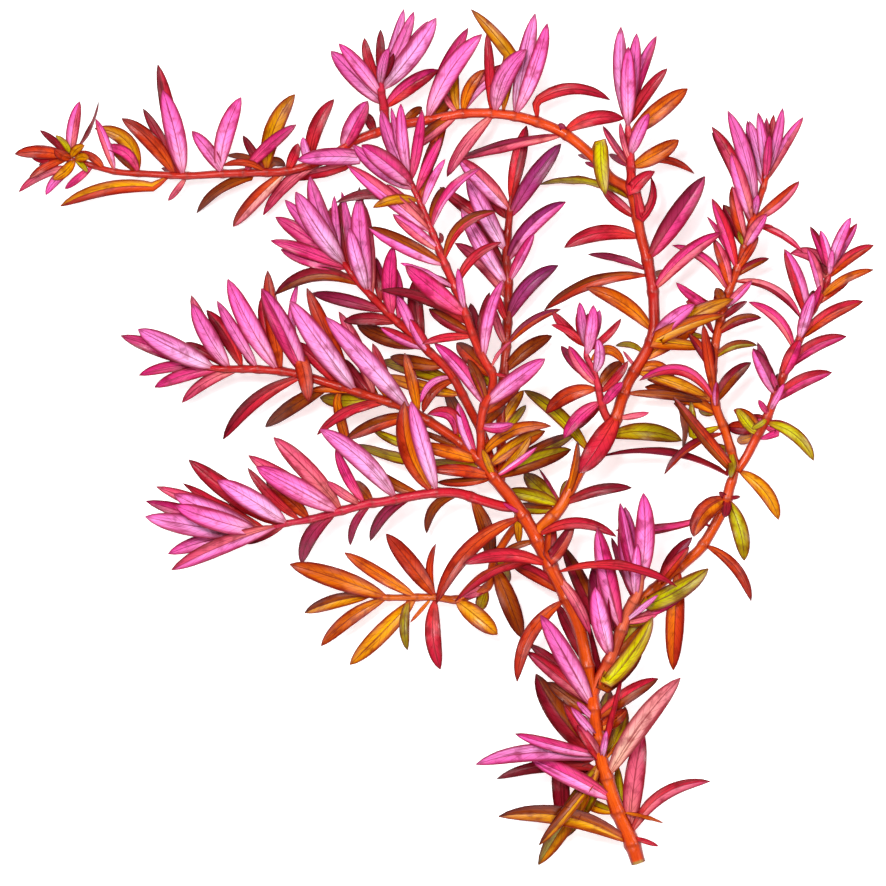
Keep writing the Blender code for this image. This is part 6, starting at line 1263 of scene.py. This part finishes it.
class Tree:
    """A small helper that adds and links nodes in a node tree."""

    def __init__(self, tree: bpy.types.NodeTree) -> None:
        """Wrap a node tree.

        Args:
            tree: The node tree to work in.
        """
        self.tree = tree

    def node(self, kind: str, **settings) -> bpy.types.Node:
        """Add a node.

        Args:
            kind: The node's type name.
            **settings: Properties to set on it.

        Returns:
            The node.
        """
        made = self.tree.nodes.new(kind)
        for key, value in settings.items():
            setattr(made, key, value)
        return made

    def put(self, socket: bpy.types.NodeSocket, value) -> None:
        """Set or link an input.

        Args:
            socket: The input socket.
            value: Another socket to link, or a plain value.
        """
        if isinstance(value, bpy.types.NodeSocket):
            self.tree.links.new(value, socket)
        else:
            socket.default_value = value

    def math(self, operation: str, *inputs) -> bpy.types.NodeSocket:
        """Add a Math node.

        Args:
            operation: The operation's name.
            *inputs: Sockets or numbers, in order.

        Returns:
            The result's socket.
        """
        made = self.node("ShaderNodeMath", operation=operation)
        for i, value in enumerate(inputs):
            self.put(made.inputs[i], value)
        return made.outputs[0]

    def vector(self, operation: str, *inputs) -> bpy.types.NodeSocket:
        """Add a Vector Math node.

        Args:
            operation: The operation's name.
            *inputs: Sockets or values; a number goes to the Scale input of SCALE.

        Returns:
            The result's socket.
        """
        made = self.node("ShaderNodeVectorMath", operation=operation)
        self.put(made.inputs[0], inputs[0])
        if operation == "SCALE":
            self.put(made.inputs["Scale"], inputs[1])
        elif len(inputs) > 1:
            self.put(made.inputs[1], inputs[1])
        return made.outputs[0]


def named(tree: Tree, name: str, kind: str) -> bpy.types.NodeSocket:
    """Read a named attribute in a Geometry Nodes tree.

    Args:
        tree: The tree helper.
        name: The attribute's name.
        kind: FLOAT or FLOAT_VECTOR.

    Returns:
        The attribute's socket.
    """
    made = tree.node("GeometryNodeInputNamedAttribute", data_type=kind)
    made.inputs["Name"].default_value = name
    return made.outputs["Attribute"]


def store(tree: Tree, geometry, name: str, kind: str, value) -> bpy.types.NodeSocket:
    """Store a named attribute on points.

    Args:
        tree: The tree helper.
        geometry: The geometry's socket.
        name: The attribute's name.
        kind: FLOAT or FLOAT_VECTOR.
        value: The value's socket.

    Returns:
        The geometry with the attribute.
    """
    made = tree.node("GeometryNodeStoreNamedAttribute", data_type=kind, domain="POINT")
    tree.put(made.inputs["Geometry"], geometry)
    made.inputs["Name"].default_value = name
    tree.put(made.inputs["Value"], value)
    return made.outputs["Geometry"]


def surface_tree(name: str, blade: bool) -> bpy.types.NodeTree:
    """Make the tree that turns polylines into leaf blades or stems.

    Args:
        name: The tree's name.
        blade: True for leaves and False for stems.

    Returns:
        The node tree, with inputs Geometry, Sides, Thickness and Material.
    """
    group = bpy.data.node_groups.new(name, "GeometryNodeTree")
    group.interface.new_socket("Geometry", in_out="INPUT", socket_type="NodeSocketGeometry")
    sides = group.interface.new_socket("Sides", in_out="INPUT", socket_type="NodeSocketInt")
    sides.default_value = 12
    sides.min_value = 3
    depth = group.interface.new_socket("Thickness", in_out="INPUT", socket_type="NodeSocketFloat")
    depth.default_value = BLADE_THICKNESS
    group.interface.new_socket("Material", in_out="INPUT", socket_type="NodeSocketMaterial")
    group.interface.new_socket("Geometry", in_out="OUTPUT", socket_type="NodeSocketGeometry")
    tree = Tree(group)
    given = tree.node("NodeGroupInput")
    result = tree.node("NodeGroupOutput")

    ring = tree.node("GeometryNodeCurvePrimitiveCircle", mode="RADIUS")
    tree.put(ring.inputs["Resolution"], given.outputs["Sides"])
    ring.inputs["Radius"].default_value = PROFILE_RADIUS
    place = tree.node("GeometryNodeInputPosition")
    split = tree.node("ShaderNodeSeparateXYZ")
    tree.put(split.inputs[0], place.outputs[0])
    profile = store(tree, ring.outputs["Curve"], "across", "FLOAT",
                    tree.math("MULTIPLY", split.outputs[0], 1.0 / PROFILE_RADIUS))
    profile = store(tree, profile, "face", "FLOAT",
                    tree.math("MULTIPLY", split.outputs[1], 1.0 / PROFILE_RADIUS))

    curve = tree.node("GeometryNodeMeshToCurve")
    tree.put(curve.inputs["Mesh"], given.outputs["Geometry"])
    sweep = tree.node("GeometryNodeCurveToMesh")
    tree.put(sweep.inputs["Curve"], curve.outputs["Curve"])
    tree.put(sweep.inputs["Profile Curve"], profile)
    sweep.inputs["Fill Caps"].default_value = True

    across = named(tree, "across", "FLOAT")
    face = named(tree, "face", "FLOAT")
    half = named(tree, "half_width", "FLOAT")
    sideways = tree.vector("SCALE", named(tree, "side", "FLOAT_VECTOR"), tree.math("MULTIPLY", across, half))
    if blade:
        thickness = tree.math("MULTIPLY", tree.math("MULTIPLY", face, half), given.outputs["Thickness"])
        bend = tree.math("POWER", tree.math("ABSOLUTE", across), 1.25)
        bend = tree.math("MULTIPLY", bend, named(tree, "fold", "FLOAT"))
        turn = tree.math("MULTIPLY", tree.math("SIGN", across), 1.3)
        turn = tree.math("ADD", named(tree, "phase", "FLOAT"), turn)
        wave = tree.math("MULTIPLY", tree.math("SINE", turn), named(tree, "ripple", "FLOAT"))
        wave = tree.math("MULTIPLY", wave, tree.math("POWER", tree.math("ABSOLUTE", across), 2.5))
        height = tree.math("ADD", thickness, tree.math("MULTIPLY", tree.math("ADD", bend, wave), half))
    else:
        height = tree.math("MULTIPLY", face, half)
    upward = tree.vector("SCALE", named(tree, "up", "FLOAT_VECTOR"), height)
    position = tree.vector("ADD", tree.vector("ADD", named(tree, "centre", "FLOAT_VECTOR"), sideways), upward)
    move = tree.node("GeometryNodeSetPosition")
    tree.put(move.inputs["Geometry"], sweep.outputs["Mesh"])
    tree.put(move.inputs["Position"], position)
    smooth = tree.node("GeometryNodeSetShadeSmooth")
    tree.put(smooth.inputs["Geometry"], move.outputs["Geometry"])
    real = tree.node("GeometryNodeRealizeInstances")
    tree.put(real.inputs["Geometry"], smooth.outputs["Geometry"])
    paint = tree.node("GeometryNodeSetMaterial")
    tree.put(paint.inputs["Geometry"], real.outputs["Geometry"])
    tree.put(paint.inputs["Material"], given.outputs["Material"])
    tree.put(result.inputs["Geometry"], paint.outputs["Geometry"])
    return group


class Shader:
    """A material's node tree with the few shapes that this scene needs."""

    def __init__(self, name: str) -> None:
        """Start a material.

        Args:
            name: The material's name.
        """
        self.material = bpy.data.materials.new(name)
        self.material.use_nodes = True
        self.tree = Tree(self.material.node_tree)
        self.shader = self.material.node_tree.nodes["Principled BSDF"]
        self.output = self.material.node_tree.nodes["Material Output"]

    def attribute(self, name: str, scalar: bool = True) -> bpy.types.NodeSocket:
        """Read an attribute of the mesh.

        Args:
            name: The attribute's name.
            scalar: True for its value and False for its vector.

        Returns:
            The socket.
        """
        made = self.tree.node("ShaderNodeAttribute")
        made.attribute_name = name
        return made.outputs["Fac"] if scalar else made.outputs["Vector"]

    def mix(self, factor, first, second, mode: str = "MIX") -> bpy.types.NodeSocket:
        """Mix two colours.

        Args:
            factor: Socket or number.
            first: Socket or colour at factor 0.
            second: Socket or colour at factor 1.
            mode: The blend mode.

        Returns:
            The mixed colour.
        """
        made = self.tree.node("ShaderNodeMix", data_type="RGBA", blend_type=mode)
        self.tree.put(made.inputs["Factor"], factor)
        self.tree.put(made.inputs[6], first)
        self.tree.put(made.inputs[7], second)
        return made.outputs[2]

    def ramp(self, value, low: float, high: float, out_low: float = 0.0,
             out_high: float = 1.0) -> bpy.types.NodeSocket:
        """Map a value smoothly from one range to another.

        Args:
            value: The value's socket.
            low: Where the change starts.
            high: Where it ends.
            out_low: The result before it.
            out_high: The result after it.

        Returns:
            The mapped value.
        """
        made = self.tree.node("ShaderNodeMapRange", interpolation_type="SMOOTHSTEP")
        self.tree.put(made.inputs["Value"], value)
        made.inputs["From Min"].default_value = low
        made.inputs["From Max"].default_value = high
        made.inputs["To Min"].default_value = out_low
        made.inputs["To Max"].default_value = out_high
        return made.outputs["Result"]

    def noise(self, vector, scale: float, detail: float = 2.0) -> bpy.types.NodeSocket:
        """Add a noise texture.

        Args:
            vector: The coordinates' socket.
            scale: The noise's scale.
            detail: How many finer layers it has.

        Returns:
            The noise from 0 to 1.
        """
        made = self.tree.node("ShaderNodeTexNoise")
        self.tree.put(made.inputs["Vector"], vector)
        made.inputs["Scale"].default_value = scale
        made.inputs["Detail"].default_value = detail
        return made.outputs["Fac"]


def leaf_material() -> bpy.types.Material:
    """Make the leaves' material.

    Returns:
        The material, which reads across, along, face, left, right and under from the mesh.
    """
    s = Shader("rotala_leaf")
    t = s.tree
    across = s.attribute("across")
    along = s.attribute("along")
    size = t.math("ABSOLUTE", across)
    # the left and right halves take their own colours, partly the leaf's own and partly painted shade on the
    # half in shadow
    top = s.mix(s.ramp(across, -0.05, 0.05), s.attribute("right", False), s.attribute("left", False))
    colour = s.mix(s.ramp(s.attribute("face"), -0.12, -0.02), s.attribute("under", False), top)

    # a paler middle and soft streaks that run along the blade, the pale ones partly the leaf's own and partly
    # painted highlight, and dark patches across leaves, partly mottling and partly painted shade
    spread = t.node("ShaderNodeCombineXYZ")
    t.put(spread.inputs[0], t.math("MULTIPLY", across, 2.8))
    t.put(spread.inputs[1], t.math("MULTIPLY", along, 1.5))
    t.put(spread.inputs[2], s.attribute("seed"))
    streak_and_highlight = s.noise(spread.outputs[0], 1.5, 3.0)
    place = t.node("ShaderNodeTexCoord")
    patch_noise = s.noise(place.outputs["Object"], 300.0, 3.0)
    dark = s.mix(1.0, colour, (0.34, 0.06, 0.09, 1.0), "MULTIPLY")
    pale = s.mix(1.0, colour, (1.3, 2.3, 1.8, 1.0), "MULTIPLY")
    middle = t.math("MULTIPLY", s.ramp(size, 0.80, 0.20, 0.0, 0.68), s.ramp(along, 0.0, 0.3, 0.3, 1.0))
    # paler middle of the blade: partly the leaf's own colour and partly painted highlight
    colour = s.mix(middle, colour, pale)
    colour = s.mix(s.ramp(streak_and_highlight, 0.52, 0.70, 0.0, 0.70), colour, dark)
    # pale streaks: partly the leaf's own streaks and partly painted highlight
    colour = s.mix(s.ramp(streak_and_highlight, 0.48, 0.30, 0.0, 0.72), colour, pale)
    # dark patches across leaves: partly mottling and partly painted shade
    colour = s.mix(s.ramp(patch_noise, 0.50, 0.74, 0.0, 0.65), colour, dark)

    # midrib, side veins that lean towards the tip, darker edges, a darker tip, and a deep red base that is
    # partly the stem's own colour and partly painted shade where the leaf meets the stem
    turn = t.math("SUBTRACT", t.math("MULTIPLY", along, 10.0), t.math("MULTIPLY", size, 1.6))
    turn = t.math("MULTIPLY", turn, math.tau)
    colour = s.mix(s.ramp(t.math("SINE", turn), 0.86, 1.0, 0.0, 0.35), colour, dark)
    colour = s.mix(s.ramp(size, 0.09, 0.02, 0.0, 0.75), colour, dark)
    colour = s.mix(s.ramp(size, 0.58, 0.94, 0.0, 0.95), colour, dark)
    colour = s.mix(s.ramp(along, 0.90, 1.0, 0.0, 0.75), colour, dark)
    # painted shade in part: the blade's base turns deep red where it meets the stem
    colour = s.mix(s.ramp(along, 0.18, 0.02, 0.0, 0.60), colour, (0.42, 0.015, 0.02, 1.0))
    t.put(s.shader.inputs["Base Color"], colour)
    t.put(s.shader.inputs["Roughness"], s.ramp(streak_and_highlight, 0.3, 0.75, 0.24, 0.40))
    s.shader.inputs["Specular IOR Level"].default_value = 0.22

    bump = t.node("ShaderNodeBump")
    bump.inputs["Strength"].default_value = 0.35
    bump.inputs["Distance"].default_value = 0.0002
    t.put(bump.inputs["Height"], t.math("ADD", streak_and_highlight, s.ramp(size, 0.10, 0.0, 0.0, -1.0)))
    t.put(s.shader.inputs["Normal"], bump.outputs["Normal"])

    glow = t.node("ShaderNodeBsdfTranslucent")
    t.put(glow.inputs["Color"], colour)
    both = t.node("ShaderNodeMixShader")
    both.inputs[0].default_value = 0.10
    t.put(both.inputs[1], s.shader.outputs["BSDF"])
    t.put(both.inputs[2], glow.outputs["BSDF"])
    t.put(s.output.inputs["Surface"], both.outputs[0])
    return s.material


def stem_material() -> bpy.types.Material:
    """Make the stems' material.

    Returns:
        The material, which reads shade, ring, across, along and face from the mesh.
    """
    s = Shader("rotala_stem")
    t = s.tree
    place = t.node("ShaderNodeTexCoord")
    stretch = t.node("ShaderNodeCombineXYZ")
    t.put(stretch.inputs[0], t.math("MULTIPLY", s.attribute("across"), 3.0))
    t.put(stretch.inputs[1], t.math("MULTIPLY", s.attribute("along"), 0.06))
    t.put(stretch.inputs[2], s.attribute("face"))
    streak_and_highlight = s.noise(stretch.outputs[0], 2.4, 3.0)
    colour = s.attribute("shade", False)
    dark = s.mix(1.0, colour, (0.40, 0.07, 0.08, 1.0), "MULTIPLY")
    pale = s.mix(1.0, colour, (1.15, 1.9, 1.5, 1.0), "MULTIPLY")
    # streaks along the stem: the dark ones are its own colour, the pale ones partly its own fibre streaks and
    # partly painted highlight
    colour = s.mix(s.ramp(streak_and_highlight, 0.48, 0.70, 0.0, 0.45), colour, dark)
    colour = s.mix(s.ramp(streak_and_highlight, 0.46, 0.30, 0.0, 0.50), colour, pale)
    patch_noise = s.noise(place.outputs["Object"], 260.0, 2.0)
    colour = s.mix(s.ramp(patch_noise, 0.52, 0.74, 0.0, 0.22), colour, dark)
    # painted shade: the stem darkens towards its sides and underside, where less light falls
    colour = s.mix(s.ramp(s.attribute("face"), 0.96, 0.46, 0.0, 1.0), colour, dark)
    colour = s.mix(t.math("MULTIPLY", s.attribute("ring"), 0.60), colour, (*linear(RING_SHADE), 1.0))
    t.put(s.shader.inputs["Base Color"], colour)
    t.put(s.shader.inputs["Roughness"], s.ramp(patch_noise, 0.3, 0.7, 0.24, 0.32))
    s.shader.inputs["Specular IOR Level"].default_value = 0.28
    bump = t.node("ShaderNodeBump")
    bump.inputs["Strength"].default_value = 0.3
    bump.inputs["Distance"].default_value = 0.0002
    t.put(bump.inputs["Height"], streak_and_highlight)
    t.put(s.shader.inputs["Normal"], bump.outputs["Normal"])
    return s.material


class Plant:
    """The plant's pieces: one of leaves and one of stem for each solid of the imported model."""

    def __init__(self) -> None:
        """Lay the plant out and make its trees and materials."""
        self.stretches = lay_out_stems()
        self.starts = {s.name: s.first for s in self.stretches}
        trim_stems(self.stretches)
        self.leaves = lay_out_leaves(self.stretches)
        place_leaves(self.stretches, self.leaves)
        self.blade_tree = surface_tree("leaf_blades", True)
        self.stem_tree = surface_tree("ringed_stem", False)
        self.leaf_material = leaf_material()
        self.stem_material = stem_material()

    def place(self, points: np.ndarray) -> np.ndarray:
        """Bring points from the layout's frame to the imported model's.

        Args:
            points: Points in millimetres.

        Returns:
            The same points in metres from the model's origin.
        """
        return (points - np.array(ORIGIN)) * MM

    def shades(self, leaf: Leaf, t: float) -> tuple[np.ndarray, np.ndarray, np.ndarray]:
        """Give a leaf's colours at a share of its length.

        Args:
            leaf: The leaf.
            t: The share of its length.

        Returns:
            The colours of the left half, the right half and the hidden face.
        """
        words = leaf.row[7].split("|")
        found = []
        for word in (words[0], words[-1], TONES[words[0]].under):
            tone = TONES[word]
            stops = [(0.0, linear(tone.base)), (0.45, linear(tone.middle)), (1.0, linear(tone.tip))]
            found.append(blend(stops, t) * (0.88 + 0.24 * steady(leaf.number, 5)))
        return found[0], found[1], found[2]

    def blades(self, stretch: Stretch) -> Lines:
        """Collect the middle lines of a stretch's leaves.

        Args:
            stretch: The stretch of stem.

        Returns:
            The polylines with the attributes that the leaf tree and material read.
        """
        lines = Lines({
            "centre": "FLOAT_VECTOR", "side": "FLOAT_VECTOR", "up": "FLOAT_VECTOR", "half_width": "FLOAT",
            "fold": "FLOAT", "phase": "FLOAT", "ripple": "FLOAT", "along": "FLOAT", "seed": "FLOAT",
            "left": "FLOAT_VECTOR", "right": "FLOAT_VECTOR", "under": "FLOAT_VECTOR",
        })
        ts = np.linspace(0.0, 1.0, BLADE_POINTS)
        for leaf in stretch.leaves:
            path, _ = leaf_path(leaf.base, leaf.row, leaf.lift, ts, leaf.hangs)
            side, up = side_vectors(path, leaf.roll)
            centre = self.place(path)
            two = "|" in leaf.row[7]
            fold = (0.55 if two else 0.30) + 0.25 * steady(leaf.number, 1)
            waves = 1.5 + 2.0 * steady(leaf.number, 2)
            shades = [self.shades(leaf, t) for t in ts]
            lines.add(
                centre, centre=centre, side=side, up=up,
                half_width=[leaf.width / 2 * leaf_width(t) * min(1.0, 0.55 + 4.0 * t) * MM for t in ts],
                fold=[fold * (1.0 - 0.45 * t) for t in ts],
                phase=[waves * math.tau * t + 6.0 * steady(leaf.number, 3) for t in ts],
                ripple=[0.16 * math.sin(math.pi * t) for t in ts],
                along=list(ts), seed=[leaf.number * 0.37] * len(ts),
                left=[c[0] for c in shades], right=[c[1] for c in shades], under=[c[2] for c in shades],
            )
        return lines

    def joints(self, places: list[float], gap: float) -> list[float]:
        """Thin out the rings of a stem, since the leaves of one joint share its ring.

        Args:
            places: Distances along the stem where leaves grow, in order.
            gap: The least distance between two rings.

        Returns:
            The distances of the rings.
        """
        kept: list[float] = []
        for place in places:
            if not kept or place - kept[-1] >= gap:
                kept.append(place)
        return kept

    def stem_line(self, stretch: Stretch) -> Lines:
        """Collect a stretch's stem line with its rings.

        Args:
            stretch: The stretch of stem.

        Returns:
            The polyline with the attributes that the stem tree and material read.
        """
        lines = Lines({
            "centre": "FLOAT_VECTOR", "side": "FLOAT_VECTOR", "up": "FLOAT_VECTOR", "half_width": "FLOAT",
            "along": "FLOAT", "ring": "FLOAT", "shade": "FLOAT_VECTOR",
        })
        first = self.starts[stretch.name]
        rows = stretch.line[first:stretch.last + 1]
        steps = np.concatenate([[0.0], np.cumsum(np.linalg.norm(np.diff(rows[:, :3], axis=0), axis=1))])
        count = max(3, int(steps[-1] / STEM_SPACING) + 1)
        at = np.linspace(0.0, steps[-1], count)
        fine = np.stack([np.interp(at, steps, rows[:, k]) for k in range(4)], axis=1)
        rings = sorted({leaf.where - first for leaf in stretch.leaves})
        rings = self.joints([steps[min(len(steps) - 1, max(0, r))] for r in rings], 2.0 * rows[:, 3].mean())
        gap = np.array([min([abs(a - r) for r in rings], default=99.0) for a in at])
        swell = np.exp(-(gap / RING_REACH) ** 2)
        ring = np.exp(-(gap / RING_LINE) ** 2)
        path = fine[:, :3]
        forward = np.gradient(path, axis=0)
        forward /= np.linalg.norm(forward, axis=1)[:, None]
        side = np.cross(forward, (0.0, 0.0, 1.0))
        side /= np.linalg.norm(side, axis=1)[:, None]
        up = np.cross(side, forward)
        half = fine[:, 3] / 2 * (1.0 + RING_SWELL * swell)
        whole = len(stretch.line) - 1
        shades = [linear(shade) for shade in STEM_SHADES[stretch.stem]]
        stops = list(zip(np.linspace(0.0, 1.0, len(shades)), shades))
        share = (first + at / SAMPLE_STEP) / whole
        shade = np.array([blend(stops, t) for t in share])
        if stretch.last == whole and stretch.stem != "trunk":
            half *= np.clip((steps[-1] - at) / 3.0, 0.15, 1.0) ** 0.5
        if stretch.stem == "trunk":
            shade[:2] = linear(CUT_FACE)
            ring[:2] = 0.0
        centre = self.place(path)
        lines.add(centre, centre=centre, side=side, up=up, half_width=half * MM, along=at, ring=ring,
                  shade=shade)
        return lines

    def surface(self, name: str, lines: Lines, tree: bpy.types.NodeTree, sides: int,
                material: bpy.types.Material) -> bpy.types.Object:
        """Run a tree on polylines and keep its result as a plain mesh.

        Args:
            name: The piece's name.
            lines: The polylines.
            tree: The Geometry Nodes tree.
            sides: The number of points around each cross-section.
            material: The piece's material.

        Returns:
            The piece.
        """
        item = bpy.data.objects.new(name, lines.to_mesh(name))
        bpy.context.scene.collection.objects.link(item)
        grower = item.modifiers.new("surface", "NODES")
        grower.node_group = tree
        for socket in tree.interface.items_tree:
            if socket.item_type == "SOCKET" and socket.in_out == "INPUT":
                if socket.name == "Sides":
                    grower[socket.identifier] = sides
                if socket.name == "Material":
                    grower[socket.identifier] = material
        graph = bpy.context.evaluated_depsgraph_get()
        made = bpy.data.meshes.new_from_object(item.evaluated_get(graph))
        item.modifiers.clear()
        item.data = made
        self.point_outwards(made)
        return item

    def point_outwards(self, mesh: bpy.types.Mesh) -> None:
        """Make the faces of a mesh of closed shells point out.

        Args:
            mesh: The mesh to change.
        """
        shape = bmesh.new()
        shape.from_mesh(mesh)
        bmesh.ops.recalc_face_normals(shape, faces=shape.faces)
        shape.to_mesh(mesh)
        shape.free()

    def build(self) -> int:
        """Make every piece and say which solid it stands for.

        Returns:
            The number of faces made.
        """
        faces = 0
        for stretch in self.stretches:
            stem = self.surface(f"{stretch.name}_{Kind.STEM.value}", self.stem_line(stretch), self.stem_tree,
                                STEM_SIDES, self.stem_material)
            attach(stem, "root")
            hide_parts(stretch.name)
            faces += len(stem.data.polygons)
            if not stretch.leaves:
                continue
            blades = self.surface(f"{stretch.name}_{Kind.BLADES.value}", self.blades(stretch),
                                  self.blade_tree, BLADE_SIDES, self.leaf_material)
            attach(blades, "root")
            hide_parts(stretch.name)
            faces += len(blades.data.polygons)
        return faces


class Studio:
    """The sheet, the lights and the camera."""

    def build(self) -> None:
        """Make the sheet, the lights and the camera."""
        self.sheet()
        self.lights()
        self.camera()

    def sheet(self) -> None:
        """Make the pale sheet that the plant lies on."""
        mesh = bpy.data.meshes.new("sheet")
        reach = 2.5
        corners = [(-reach, -reach, 0), (reach, -reach, 0), (reach, reach, 0), (-reach, reach, 0)]
        mesh.from_pydata(corners, [], [(0, 1, 2, 3)])
        item = bpy.data.objects.new("sheet", mesh)
        item.location = (0.0, 0.0, -0.0002)
        bpy.context.scene.collection.objects.link(item)
        material = bpy.data.materials.new("sheet")
        material.use_nodes = True
        shader = material.node_tree.nodes["Principled BSDF"]
        shader.inputs["Base Color"].default_value = (0.9, 0.9, 0.9, 1.0)
        shader.inputs["Roughness"].default_value = 0.9
        shader.inputs["Emission Color"].default_value = (1.0, 1.0, 1.0, 1.0)
        shader.inputs["Emission Strength"].default_value = 0.56
        mesh.materials.append(material)

    def lights(self) -> None:
        """Light the plant softly from above and from the sides."""
        world = bpy.data.worlds.new("studio")
        world.use_nodes = True
        t = Tree(world.node_tree)
        way = t.node("ShaderNodeTexCoord")
        split = t.node("ShaderNodeSeparateXYZ")
        t.put(split.inputs[0], way.outputs["Generated"])
        fade = t.node("ShaderNodeMapRange", interpolation_type="SMOOTHSTEP")
        t.put(fade.inputs["Value"], split.outputs[2])
        fade.inputs["From Min"].default_value = 0.15
        fade.inputs["From Max"].default_value = 0.95
        fade.inputs["To Min"].default_value = 0.32
        fade.inputs["To Max"].default_value = 0.08
        back = world.node_tree.nodes["Background"]
        back.inputs["Color"].default_value = (1.0, 1.0, 1.0, 1.0)
        t.put(back.inputs["Strength"], fade.outputs["Result"])
        bpy.context.scene.world = world
        for name, place, size, power in (
            ("upper_left", (-0.5, 0.45, 0.8), 0.5, 4.7),
            ("key", (-0.12, 0.18, 1.0), 0.16, 5.9),
            ("right", (0.7, 0.1, 0.6), 0.35, 3.2),
            ("low_front", (0.1, -0.8, 0.5), 0.5, 3.2),
        ):
            data = bpy.data.lights.new(name, "AREA")
            data.size = size
            data.energy = power
            item = bpy.data.objects.new(name, data)
            item.location = place
            item.rotation_euler = (-Vector(place)).to_track_quat("-Z", "Y").to_euler()
            bpy.context.scene.collection.objects.link(item)

    def camera(self) -> None:
        """Look straight down with the photograph's frame."""
        data = bpy.data.cameras.new("camera")
        data.sensor_width = SENSOR
        data.lens = SENSOR * (CAMERA_HEIGHT - VIEW_HEIGHT) / FRAME_WIDTH
        data.clip_start = 0.01
        data.clip_end = 20.0
        item = bpy.data.objects.new("camera", data)
        item.location = (-ORIGIN[0] * MM, -ORIGIN[1] * MM, (CAMERA_HEIGHT - ORIGIN[2]) * MM)
        bpy.context.scene.collection.objects.link(item)
        bpy.context.scene.camera = item
        bpy.context.scene.view_settings.view_transform = "Standard"


def main() -> None:
    """Build the scene and write how large it is."""
    logging.basicConfig(level=logging.INFO)
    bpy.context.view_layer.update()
    faces = Plant().build()
    Studio().build()
    LOG.info("faces %d", faces)


if __name__ == "__main__":
    main()
